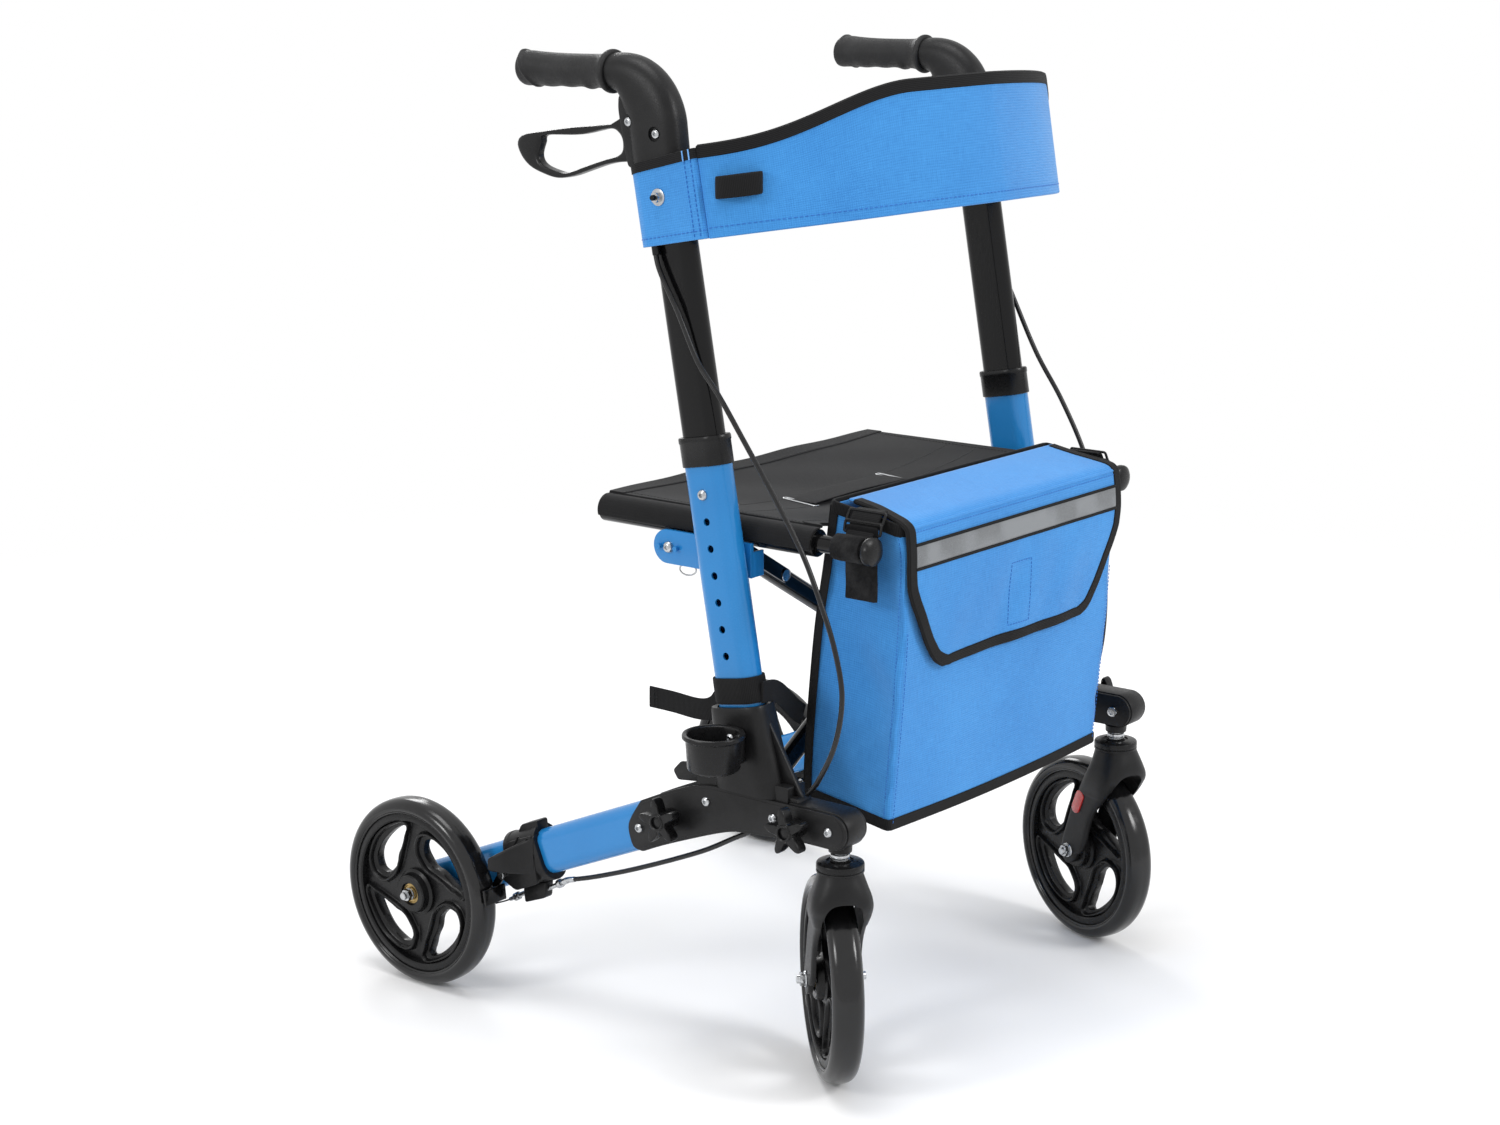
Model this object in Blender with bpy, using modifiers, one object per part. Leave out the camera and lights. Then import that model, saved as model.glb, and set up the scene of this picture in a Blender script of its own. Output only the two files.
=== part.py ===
"""Folding rollator: a four-wheeled walking frame with seat, bag and backrest band.

Metres, +Z up. The user walks behind the frame and looks along -Y, so the user's right hand is at -X.
The drawing datum is on the floor, midway between the posts and a little behind the front bolts;
the finished frame is moved so that its origin is the middle of its footprint.
"""
from math import atan2, cos, hypot, pi, radians, sin, tan

import bmesh
import bpy
from mathutils import Matrix, Vector

# Clearances
GAP = 0.0003
RUNNING_GAP = 0.0008
OVERLAP = 0.002

# Points on each half round of a flat oval
OVAL_STEPS = 6

# Sides: the user's right is -X, the left +X
SIDES = {"right": -1, "left": 1}

# Posts: flat oval tubes that lean back
POST_X = 0.248
POST_LEAN = radians(9.893)
POST_FOOT_Y = -0.0260
LOWER_POST_DEPTH = 0.050
LOWER_POST_WIDTH = 0.028
LOWER_POST_WALL = 0.0019
LOWER_POST_BOTTOM_Z = 0.297
COLLAR_BOTTOM_Z = 0.5895
COLLAR_TOP_Z = 0.617
COLLAR_LIP = 0.004
COLLAR_DEPTH = 0.0535
COLLAR_WIDTH = 0.0320
COLLAR_LIP_REACH = 0.0012
HOLE_RADIUS = 0.0036
HOLE_PITCH = 0.0254
HOLE_COUNT = 7
HEIGHT_SCREW_Z = 0.5637
HANDLE_POST_DEPTH = 0.0454
HANDLE_POST_WIDTH = 0.0234
HANDLE_POST_WALL = 0.0016
HANDLE_POST_BOTTOM_Z = 0.545
HANDLE_POST_TOP_Z = 0.848

# Handle elbow, grip and lever
ELBOW_BOTTOM_Z = 0.797
ELBOW_WIDTH = 0.034
ELBOW_FRONT = 0.0235
ELBOW_REAR = 0.0300
ELBOW_TURN_Z = 0.902
ELBOW_RADIUS = 0.053
ELBOW_TURN_STEPS = 6
ELBOW_SIDES = 16
GRIP_LENGTH = 0.1155
GRIP_RADIUS = 0.0154
GRIP_SPIGOT_RADIUS = 0.0108
GRIP_SPIGOT_LENGTH = 0.100
GRIP_HOLLOW_PITCH = 0.0205
GRIP_HOLLOW_DEPTH = 0.0018
GRIP_FLANGE_RADIUS = 0.0195
GRIP_SIDES = 14
LEVER_THICKNESS = 0.012
LEVER_PIVOT_Y = 0.1595
LEVER_PIVOT_Z = 0.9015
LEVER_PIN_RADIUS = 0.003

# Backrest band
BAND_HALF_WIDTH = 0.262
BAND_BOW = 0.147
BAND_ROUNDNESS = 1.6
BAND_THICKNESS = 0.0036
BAND_BOTTOM_Z = 0.8017
BAND_EDGE_RISE = 0.15
BAND_END_HEIGHT = 0.080
BAND_CENTRE_HEIGHT = 0.116
BAND_COLUMN_COUNT = 36
BAND_ROW_COUNT = 2
WRAP_OUTER = 0.0200
WRAP_THICKNESS = 0.0022
WRAP_FRONT = 0.0520
WRAP_REAR = 0.0345
WRAP_HEIGHT = 0.0880
WRAP_TOP_SLOPE = 0.242

# Base joint between post, rear leg and caster
PLATE_THICKNESS = 0.003
PLATE_SPAN = 0.0266
BLOCK_WIDTH = 0.026
PLATE_TOP_Z = 0.2845
BOLT_RADIUS = 0.0055
BOLT_HEAD = 0.004
NUT_CLEARANCE = 0.025
KNOB_RADIUS = 0.023
KNOB_THICKNESS = 0.012
KNOB_STANDOFF = 0.010
KNOB_WAIST = 0.0125
KNOB_BOSS_RADIUS = 0.0095
KNOB_TURN = 78
NOSE_Y = -0.079
NOSE_Z = 0.268
NOSE_RADIUS = 0.018
HOUSING_RIM_Z = 0.366
HOUSING_RIM_DEPTH = 0.062
HOUSING_FOOT_DEPTH = 0.078
HOUSING_WIDTH = 0.040
HOUSING_BLOCK_FRONT_Y = -0.026
HOUSING_BLOCK_REAR_Y = 0.084
HOUSING_BLOCK_BOTTOM_Z = 0.2495
HOUSING_ROUNDNESS = 2.6
GUSSET_HALF = 0.003
LUG_HALF = 0.006

# Rear leg, bracket and wheels
WHEEL_RADIUS = 0.100
TYRE_WIDTH = 0.0305
TREAD_DEPTH = 0.0152
TYRE_SHOULDER = 0.0085
TYRE_INNER_RADIUS = WHEEL_RADIUS - TREAD_DEPTH
RIM_WIDTH = 0.026
RIM_LIP = 0.009
WEB_THICKNESS = 0.015
WHEEL_STEPS = 28
HUB_RADIUS = 0.0235
HUB_WIDTH = 0.034
AXLE_RADIUS = 0.004
AXLE_HOLE_RADIUS = 0.0045
AXLE_HEAD_RADIUS = 0.0065
AXLE_HEAD = 0.006
SPOKE_COUNT = 4
REAR_WHEEL_X = 0.28584
REAR_TYRE_FRONT_Y = 0.3434
REAR_WHEEL_Y = REAR_TYRE_FRONT_Y + WHEEL_RADIUS
REAR_LEG_DEPTH = 0.047
REAR_LEG_WALL = 0.002
REAR_LEG_FALL = 0.43
REAR_LEG_START_Y = 0.100
REAR_LEG_END_Y = REAR_WHEEL_Y + 0.0122
BRACKET_LENGTH = 0.049
BRACKET_DEPTH = 0.060
BRACKET_WIDTH = 0.036
BRACKET_MID_Y = 0.3140
BRACKET_ARM_X = 0.2662
BRAKE_PIVOT_Y = 0.3420
BRAKE_PIVOT_Z = 0.1345
BRAKE_PIN_RADIUS = 0.003
BRAKE_ARM_THICKNESS = 0.0025
BRAKE_PAD_OUTER_X = 0.2960

# Caster
STEM_X = 0.2427
STEM_Y = -0.0731
STEM_RADIUS = 0.006
BOSS_RADIUS = 0.011
BOSS_BOTTOM_Z = 0.243
NECK_RADIUS = 0.0073
WASHER_RADIUS = 0.009
CAP_RADIUS = 0.0222
CAP_TOP_Z = 0.235
CAP_BOTTOM_Z = 0.224
CASTER_TRAIL = 0.0471
CASTER_SWIVEL = {"right": radians(-42.46), "left": radians(-19.71)}
FORK_SLOT_WIDTH = 0.039
FORK_ARCH_GAP = 0.006
FORK_LEG_X = 0.0245
FORK_AXLE_END = 0.0335
STEM_SEAT_DEPTH = 0.010

# Seat and rails
RAIL_X = 0.215
RAIL_Z = 0.5234
RAIL_RADIUS = 0.0130
RAIL_REAR_Y = 0.236
RAIL_FRONT_Y = -0.027
BAR_RADIUS = 0.00825
BAR_FRONT_Y = -0.0885
CAP_END_RADIUS = 0.01325
CAP_END_DEPTH = 0.0085
SEAT_CLOTH = 0.0016
SEAT_REAR_Y = 0.2345
SEAT_FRONT_Y = -0.0265
SEAT_SAG = 0.0198
SEAT_SAG_RUN = 0.180
SEAT_NOTCH = 0.0165
SEAT_NOTCH_BLEND = 0.022
SEAT_THICKNESS = 0.0022
SEAT_COLUMN_COUNT = 22
SEAT_ROW_COUNT = 6
SEAT_STRAP_X = 0.0755
SEAT_STRAP_Y = 0.101
SEAT_STRAP_WIDTH = 0.036
SEAT_STRAP_THICKNESS = 0.0018

# Cross braces
BRACE_RADIUS = 0.010
BRACE_PIVOT_X = 0.220
BRACE_PIVOT_Z = 0.247
BRACE_CROSS_Z = 0.379
BRACE_FRONT_Y = 0.057
BRACE_REAR_Y = 0.081
BRACE_BOLT_RADIUS = 0.004
BRACE_HOLE_RADIUS = 0.0044
CLEVIS_THICKNESS = 0.004
EYE_RADIUS = 0.0112
EYE_HALF_LENGTH = 0.0104
SADDLE_HALF_LENGTH = 0.014
SADDLE_WALL = 0.0035
STRUT_START = 0.427
STRUT_END = 0.497
STRUT_DEPTH = 0.014
STRUT_THICKNESS = 0.005

# Bag
BAG_HALF_WIDTH = 0.182
BAG_WALL = 0.003
FLAP_THICKNESS = 0.003
FLAP_HINGE_Y = -0.029
FLAP_HINGE_Z = 0.5575
TAB_THICKNESS = 0.0025
TAB_X = 0.1970
TAB_REAR_Y = -0.0470
TAB_BOTTOM_Z = 0.472
TAB_TOP_Z = 0.536

# Cup and hold strap
CUP_X = -0.2985
CUP_Y = 0.0315
CUP_RIM_Z = 0.3506
CUP_RIM_RADIUS = 0.0295
CUP_RADIUS = 0.0262
CUP_WALL = 0.0022
CUP_DEPTH = 0.038
STRAP_WIDTH = 0.025
STRAP_THICKNESS = 0.0022
STRAP_Z = 0.381
STRAP_FRONT_Z = 0.369
STRAP_END_X = -0.1800
STRAP_END_Y = 0.0200

# Brake cables
CABLE_RADIUS = 0.0025
RIGHT_CABLE_ROUTE = [
    (0.2628, 0.1262, 0.7936), (0.2655, 0.1188, 0.7700), (0.2660, 0.0961, 0.7315), (0.2660, 0.0728, 0.6878),
    (0.2660, 0.0476, 0.6583), (0.2660, 0.0200, 0.6215), (0.2660, -0.0038, 0.5892), (0.2660, -0.0222, 0.5636),
    (0.2660, -0.0480, 0.5245), (0.2660, -0.0663, 0.4870), (0.2655, -0.0830, 0.4440), (0.2640, -0.0909, 0.3989),
    (0.2600, -0.0800, 0.3513), (0.2540, -0.0560, 0.3100), (0.2500, -0.0400, 0.2935),
]
LEFT_CABLE_ROUTE = [
    (0.2628, 0.1262, 0.7936), (0.2655, 0.1188, 0.7700), (0.2660, 0.1020, 0.7315), (0.2660, 0.0812, 0.6912),
    (0.2660, 0.0509, 0.6347), (0.2660, 0.0189, 0.5882), (0.2660, -0.0089, 0.5385), (0.2620, -0.0290, 0.4900),
    (0.2590, -0.0400, 0.4400), (0.2570, -0.0470, 0.3900), (0.2540, -0.0470, 0.3400), (0.2500, -0.0400, 0.2935),
]
LOWER_CABLE_ROUTE = [
    (0.2480, 0.0300, 0.2412), (0.2480, 0.0480, 0.2318), (0.2480, 0.0923, 0.2079), (0.2480, 0.1702, 0.1742),
    (0.2480, 0.2300, 0.1515), (0.2480, 0.2680, 0.1395),
]
CABLE_POINT_SPACING = 0.0150

# Colour, roughness and metallic value of each finish
FINISHES = {
    "blue_paint": ((0.030, 0.215, 0.560), 0.32, 0.15),
    "black_paint": ((0.012, 0.012, 0.013), 0.22, 0.10),
    "black_plastic": ((0.030, 0.030, 0.031), 0.50, 0.00),
    "black_rubber": ((0.018, 0.018, 0.018), 0.65, 0.00),
    "gloss_tyre": ((0.010, 0.010, 0.010), 0.25, 0.00),
    "black_cloth": ((0.016, 0.016, 0.017), 0.90, 0.00),
    "blue_cloth": ((0.045, 0.260, 0.760), 0.85, 0.00),
    "steel": ((0.640, 0.640, 0.630), 0.25, 1.00),
}

# A side view's x runs along +Y and its y along +Z; a front view's x along +X and its y along +Z
SIDE_VIEW = Matrix(((0, 0, 1), (1, 0, 0), (0, 1, 0))).to_4x4()
FRONT_VIEW = Matrix(((1, 0, 0), (0, 0, -1), (0, 1, 0))).to_4x4()


# Small geometry

def post_y(z):
    """Y of the post's centre line at a height."""
    return POST_FOOT_Y + z * tan(POST_LEAN)


def post_point(side, z, back=0.0, out=0.0):
    """A point by the post: `back` is square to its lean, `out` away from the middle of the frame."""
    return Vector((side * (POST_X + out), post_y(z) + back * cos(POST_LEAN), z - back * sin(POST_LEAN)))


def post_frame(side, z):
    """Local Z along the post, local Y square to it and rearward."""
    return Matrix.Translation(post_point(side, z)) @ Matrix.Rotation(-POST_LEAN, 4, "X")


def along_post(height):
    """Length along the post of a vertical height."""
    return height / cos(POST_LEAN)


def arc(centre, radius, start, end, count):
    """Points of an arc, by angles in degrees."""
    turns = [radians(start + (end - start) * i / (count - 1)) for i in range(count)]
    return [(centre[0] + radius * cos(t), centre[1] + radius * sin(t)) for t in turns]


def circle(radius, count, centre=(0.0, 0.0)):
    return arc(centre, radius, 0, 360 * (count - 1) / count, count)


def stadium(width, depth, count=7):
    """A flat oval, `width` along x and `depth` along y."""
    radius = width / 2
    reach = depth / 2 - radius
    return arc((0, reach), radius, 0, 180, count) + arc((0, -reach), radius, 180, 360, count)


def superellipse(half_x, half_y, power, count, centre=(0.0, 0.0)):
    points = []
    for i in range(count):
        turn = 2 * pi * i / count
        x = abs(cos(turn)) ** (2 / power) * (1 if cos(turn) >= 0 else -1)
        y = abs(sin(turn)) ** (2 / power) * (1 if sin(turn) >= 0 else -1)
        points.append((centre[0] + half_x * x, centre[1] + half_y * y))
    return points


def smooth_route(points, spacing):
    """Points at an even spacing along a Catmull-Rom curve through the route's own points."""
    points = [Vector(p) for p in points]
    ends = [points[0] * 2 - points[1]] + points + [points[-1] * 2 - points[-2]]
    route = [points[0]]
    for a, b, c, d in zip(ends, ends[1:], ends[2:], ends[3:]):
        steps = max(1, round((c - b).length / spacing))
        for step in range(1, steps + 1):
            t = step / steps
            route.append(0.5 * (2 * b + (c - a) * t + (2 * a - 5 * b + 4 * c - d) * t ** 2
                                + (3 * b - a - 3 * c + d) * t ** 3))
    return route


# Solids

def tidy(mesh):
    """Weld the seams and point every face outwards."""
    shape = bmesh.new()
    shape.from_mesh(mesh)
    bmesh.ops.remove_doubles(shape, verts=shape.verts, dist=0.00001)
    bmesh.ops.recalc_face_normals(shape, faces=shape.faces)
    shape.to_mesh(mesh)
    shape.free()
    return mesh


def solid_object(mesh, name="solid"):
    solid = bpy.data.objects.new(name, mesh)
    bpy.context.scene.collection.objects.link(solid)
    return solid


def from_bmesh(shape):
    mesh = bpy.data.meshes.new("solid")
    shape.to_mesh(mesh)
    shape.free()
    return solid_object(mesh)


def bake(source):
    """Replace an object by a plain mesh of what it evaluates to, in world space."""
    bpy.context.view_layer.update()
    evaluated = source.evaluated_get(bpy.context.evaluated_depsgraph_get())
    mesh = bpy.data.meshes.new_from_object(evaluated)
    mesh.transform(source.matrix_world)
    bpy.data.objects.remove(source)
    return solid_object(tidy(mesh))


def box(x, y, z):
    """A box between two limits on each axis."""
    shape = bmesh.new()
    size = Matrix.Diagonal((x[1] - x[0], y[1] - y[0], z[1] - z[0], 1))
    middle = Matrix.Translation(((x[0] + x[1]) / 2, (y[0] + y[1]) / 2, (z[0] + z[1]) / 2))
    bmesh.ops.create_cube(shape, size=1, matrix=middle @ size)
    return from_bmesh(shape)


def side_box(side, x, y, z):
    """A box whose x limits are distances from the middle of the frame."""
    return box(sorted((side * x[0], side * x[1])), y, z)


def rod(start, end, radius, segments=16, end_radius=None):
    """A cylinder or cone between two points."""
    start = Vector(start)
    run = Vector(end) - start
    place = Matrix.Translation(start + run / 2) @ run.to_track_quat("Z", "Y").to_matrix().to_4x4()
    shape = bmesh.new()
    bmesh.ops.create_cone(shape, cap_ends=True, segments=segments, radius1=radius,
                          radius2=radius if end_radius is None else end_radius,
                          depth=run.length, matrix=place)
    return from_bmesh(shape)


def cross_rod(side, x, y, z, radius, segments=16):
    """A cylinder across the frame, between two distances from its middle."""
    return rod((side * x[0], y, z), (side * x[1], y, z), radius, segments)


def prism(outlines, length, place):
    """Flat outlines, the first the outside and the others holes, extruded about the place's middle."""
    curve = bpy.data.curves.new("outline", "CURVE")
    curve.dimensions = "2D"
    curve.fill_mode = "BOTH"
    curve.extrude = length / 2
    for outline in outlines:
        spline = curve.splines.new("POLY")
        spline.points.add(len(outline) - 1)
        spline.use_cyclic_u = True
        for point, (x, y) in zip(spline.points, outline):
            point.co = (x, y, 0, 1)
    flat = bpy.data.objects.new("outline", curve)
    bpy.context.scene.collection.objects.link(flat)
    flat.matrix_world = place
    return bake(flat)


def side_prism(outline, x, *holes):
    """A side-view outline (y, z) extruded between two x."""
    place = Matrix.Translation(((x[0] + x[1]) / 2, 0, 0)) @ SIDE_VIEW
    return prism([outline, *holes], abs(x[1] - x[0]), place)


def front_prism(outline, y, *holes):
    """A front-view outline (x, z) extruded between two y."""
    place = Matrix.Translation((0, (y[0] + y[1]) / 2, 0)) @ FRONT_VIEW
    return prism([outline, *holes], abs(y[1] - y[0]), place)


def tube(points, radius, resolution=2):
    """A round rod along a route."""
    curve = bpy.data.curves.new("route", "CURVE")
    curve.dimensions = "3D"
    curve.bevel_depth = radius
    curve.bevel_resolution = resolution
    curve.use_fill_caps = True
    spline = curve.splines.new("POLY")
    spline.points.add(len(points) - 1)
    for point, place in zip(spline.points, points):
        point.co = (*place, 1)
    route = bpy.data.objects.new("route", curve)
    bpy.context.scene.collection.objects.link(route)
    return bake(route)


def turned(profile, steps, place, closed=False):
    """A profile (radius, height), outer side running downwards, turned about local Z."""
    mesh = bpy.data.meshes.new("profile")
    edges = [(i, i + 1) for i in range(len(profile) - 1)]
    if closed:
        edges.append((len(profile) - 1, 0))
    mesh.from_pydata([(radius, 0, height) for radius, height in profile], edges, [])
    spun = solid_object(mesh)
    spun.matrix_world = place
    screw = spun.modifiers.new("turn", "SCREW")
    screw.axis = "Z"
    screw.steps = steps
    screw.render_steps = steps
    screw.use_merge_vertices = True
    screw.merge_threshold = 0.00001
    return bake(spun)


def loft(rings):
    """A skin between sections that have the same number of points, closed at both ends."""
    shape = bmesh.new()
    skins = [[shape.verts.new(point) for point in ring] for ring in rings]
    for lower, upper in zip(skins, skins[1:]):
        for i in range(len(lower)):
            j = (i + 1) % len(lower)
            shape.faces.new((lower[i], lower[j], upper[j], upper[i]))
    shape.faces.new(reversed(skins[0]))
    shape.faces.new(skins[-1])
    bmesh.ops.recalc_face_normals(shape, faces=shape.faces)
    return from_bmesh(shape)


def sheet(columns, rows, thickness, place_of, offset=0.0):
    """A thick sheet: a grid whose points place_of puts in space from (0..1, 0..1)."""
    shape = bmesh.new()
    bmesh.ops.create_grid(shape, x_segments=columns, y_segments=rows, size=0.5)
    for vert in shape.verts:
        vert.co = place_of(vert.co.x + 0.5, vert.co.y + 0.5)
    cloth = from_bmesh(shape)
    thicken = cloth.modifiers.new("thickness", "SOLIDIFY")
    thicken.thickness = thickness
    thicken.offset = offset
    thicken.use_even_offset = True
    return bake(cloth)


def combine(operation, base, others):
    for other in others:
        cut = base.modifiers.new("combine", "BOOLEAN")
        cut.operation = operation
        cut.solver = "EXACT"
        cut.object = other
    result = bake(base)
    for other in others:
        bpy.data.objects.remove(other)
    return result


def fuse(base, *others):
    return combine("UNION", base, others)


def carve(base, *cutters):
    return combine("DIFFERENCE", base, cutters)


def keep_inside(base, limit):
    return combine("INTERSECT", base, [limit])


# Names, finishes and joints

def start_scene():
    for item in list(bpy.data.objects):
        bpy.data.objects.remove(item)
    collection = bpy.data.collections.new("folding_rollator")
    bpy.context.scene.collection.children.link(collection)
    return collection


def pivot(collection, name, place, parent=None):
    """An empty on a joint's axis, which carries the pieces that turn or slide with it."""
    empty = bpy.data.objects.new(name, None)
    empty.empty_display_size = 0.03
    collection.objects.link(empty)
    empty.parent = parent
    empty.location = Vector(place) - world_place(parent)
    return empty


def world_place(empty):
    place = Vector((0, 0, 0))
    while empty is not None:
        place += empty.location
        empty = empty.parent
    return place


def finish_material(name, finish):
    colour, roughness, metallic = FINISHES[finish]
    material = bpy.data.materials.new(f"{name}_{finish}")
    material.use_nodes = True
    shader = material.node_tree.nodes["Principled BSDF"]
    shader.inputs["Base Color"].default_value = (*colour, 1)
    shader.inputs["Roughness"].default_value = roughness
    shader.inputs["Metallic"].default_value = metallic
    return material


def add_piece(collection, name, solid, finish, holder):
    """Name a finished solid, give it its finish and hang it on its joint's empty."""
    solid.name = name
    solid.data.name = name
    solid.data.transform(Matrix.Translation(-world_place(holder)))
    solid.data.materials.clear()
    solid.data.materials.append(finish_material(name, finish))
    solid.data.shade_smooth()
    solid.data.set_sharp_from_angle(angle=radians(32))
    bpy.context.scene.collection.objects.unlink(solid)
    collection.objects.link(solid)
    solid.parent = holder
    return solid


# Base joint

def bolt_places():
    """(y, z) of the four screws through the side plates, rear to front."""
    return [(0.1555, 0.2231), (0.0698, 0.2677), (-0.0111, 0.2679), (-0.0759, 0.2677)]


def knob_places():
    return {"rear": (0.1144, 0.2427), "front": (-0.0406, 0.2650)}


def plate_outline():
    nose = arc((NOSE_Y, NOSE_Z), NOSE_RADIUS - 0.0012, 80, 270, 8)
    edge = [(0.0205, 0.2462), (0.0503, 0.2405), (0.1158, 0.2156), (0.1529, 0.1997), (0.1665, 0.2060),
            (0.1704, 0.2208), (0.1535, 0.2516), (0.1246, 0.2651), (0.0705, 0.2835), (-0.0311, PLATE_TOP_Z)]
    return nose + edge


def side_plate_outer(side):
    inner_x = POST_X + PLATE_SPAN / 2
    outer_x = inner_x + PLATE_THICKNESS
    plate = side_prism(plate_outline(), (side * inner_x, side * outer_x))
    heads = [cross_rod(side, (outer_x - OVERLAP / 2, outer_x + BOLT_HEAD), y, z, BOLT_RADIUS, 8)
             for y, z in bolt_places()]
    return fuse(plate, *heads)


def clevis_outline():
    """Front view of the clevis ear that carries a cross brace's foot, at +X."""
    plate_x = POST_X - PLATE_SPAN / 2 - PLATE_THICKNESS
    nose = arc((BRACE_PIVOT_X, BRACE_PIVOT_Z), 0.008, 100, 250, 7)
    return nose + [(plate_x + OVERLAP / 2, BRACE_PIVOT_Z - 0.002), (plate_x + OVERLAP / 2, 0.272)]


def brace_plane(side):
    """The right foot belongs to the front brace and the left foot to the rear one."""
    return BRACE_FRONT_Y if side < 0 else BRACE_REAR_Y


def side_plate_inner(side):
    outer_x = POST_X - PLATE_SPAN / 2
    inner_x = outer_x - PLATE_THICKNESS
    plate = side_prism(plate_outline(), (side * inner_x, side * outer_x))
    nuts = [cross_rod(side, (inner_x - 0.005, inner_x + OVERLAP / 2), y, z, BOLT_RADIUS, 6)
            for y, z in bolt_places() if abs(y - brace_plane(side)) > NUT_CLEARANCE]
    outline = [(side * x, z) for x, z in clevis_outline()]
    ears = []
    for back in (-1, 1):
        near = brace_plane(side) + back * (BRACE_RADIUS + RUNNING_GAP)
        ears.append(front_prism(outline, (near, near + back * CLEVIS_THICKNESS)))
    reach = BRACE_RADIUS + RUNNING_GAP + CLEVIS_THICKNESS
    pin_y = brace_plane(side)
    pin = rod((side * BRACE_PIVOT_X, pin_y - reach - 0.003, BRACE_PIVOT_Z),
              (side * BRACE_PIVOT_X, pin_y + reach + 0.003, BRACE_PIVOT_Z), BRACE_BOLT_RADIUS, 12)
    return fuse(plate, *ears, *nuts, pin)


def housing_rings(side):
    """The level foot on the plates, then sections square to the post up to the rim."""
    foot_z = PLATE_TOP_Z + RUNNING_GAP
    foot = superellipse(HOUSING_WIDTH / 2 + 0.0005, HOUSING_FOOT_DEPTH / 2, HOUSING_ROUNDNESS, 16)
    rings = [[Vector((side * POST_X + x, post_y(foot_z) + y, foot_z)) for x, y in foot]]
    for z, depth in ((0.305, 0.074), (0.340, 0.0640), (HOUSING_RIM_Z, HOUSING_RIM_DEPTH)):
        frame = post_frame(side, z)
        section = superellipse(HOUSING_WIDTH / 2, depth / 2, HOUSING_ROUNDNESS, 16)
        rings.append([frame @ Vector((x, y, 0)) for x, y in section])
    return rings


def base_housing(side):
    """The moulded socket of the post, its block between the plates, the front gusset and the rear lug."""
    shell = loft(housing_rings(side))
    half = BLOCK_WIDTH / 2
    block = side_box(side, (POST_X - half, POST_X + half), (HOUSING_BLOCK_FRONT_Y, HOUSING_BLOCK_REAR_Y),
                     (HOUSING_BLOCK_BOTTOM_Z, 0.2985))
    gusset = side_prism([(0.006, 0.362), (0.030, 0.362), (0.030, 0.2953), (-0.0326, 0.2865), (-0.0355, 0.2895)],
                        (side * (POST_X - GUSSET_HALF), side * (POST_X + GUSSET_HALF)))
    lug = side_prism([(0.055, 0.2875), (0.112, 0.2875), (0.118, 0.2965), (0.108, 0.3035), (0.055, 0.3035)],
                     (side * (POST_X - LUG_HALF), side * (POST_X + LUG_HALF)))
    pocket_length = 0.120
    pocket = prism([stadium(LOWER_POST_WIDTH + 2 * GAP, LOWER_POST_DEPTH + 2 * GAP, OVAL_STEPS)], pocket_length,
                   post_frame(side, LOWER_POST_BOTTOM_Z - GAP + pocket_length / 2 * cos(POST_LEAN)))
    return carve(fuse(shell, block, gusset, lug), pocket)


def star_knob(side, y, z):
    """Five blunt arms on a boss; the face is dished."""
    outline = []
    for arm in range(5):
        middle = radians(KNOB_TURN + 72 * arm)
        for turn, radius in ((-36, KNOB_WAIST), (-11, KNOB_RADIUS), (11, KNOB_RADIUS)):
            angle = middle + radians(turn)
            outline.append((y + radius * cos(angle), z + radius * sin(angle)))
    back_x = POST_X + PLATE_SPAN / 2 + PLATE_THICKNESS + KNOB_STANDOFF
    face_x = back_x + KNOB_THICKNESS
    star = side_prism(outline, (side * back_x, side * face_x))
    boss = cross_rod(side, (back_x - KNOB_STANDOFF + GAP, back_x + OVERLAP), y, z, KNOB_BOSS_RADIUS, 10)
    dish = cross_rod(side, (face_x - 0.0025, face_x + OVERLAP), y, z, 0.0070, 10)
    return carve(fuse(star, boss), dish)


# Posts

def hole_heights():
    first = HEIGHT_SCREW_Z - HOLE_PITCH * cos(POST_LEAN)
    return [first - i * HOLE_PITCH * cos(POST_LEAN) for i in range(HOLE_COUNT)]


def lower_post(side):
    top_z = COLLAR_TOP_Z - COLLAR_LIP - GAP
    middle_z = (top_z + LOWER_POST_BOTTOM_Z) / 2
    length = along_post(top_z - LOWER_POST_BOTTOM_Z)
    outer = stadium(LOWER_POST_WIDTH, LOWER_POST_DEPTH, OVAL_STEPS)
    inner = stadium(LOWER_POST_WIDTH - 2 * LOWER_POST_WALL, LOWER_POST_DEPTH - 2 * LOWER_POST_WALL, OVAL_STEPS)
    post = prism([outer, inner], length, post_frame(side, middle_z))
    face = POST_X + LOWER_POST_WIDTH / 2
    holes = []
    for z in hole_heights():
        reach = (face - 3 * LOWER_POST_WALL, face + 2 * OVERLAP)
        holes.append(cross_rod(side, reach, post_y(z), z, HOLE_RADIUS, 8))
    post = carve(post, *holes)
    screw_y = post_y(HEIGHT_SCREW_Z)
    screw = cross_rod(side, (face - LOWER_POST_WALL / 2, face + 0.0035), screw_y, HEIGHT_SCREW_Z, 0.0052, 10)
    return fuse(post, screw, *cradle_bracket(side))


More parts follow.
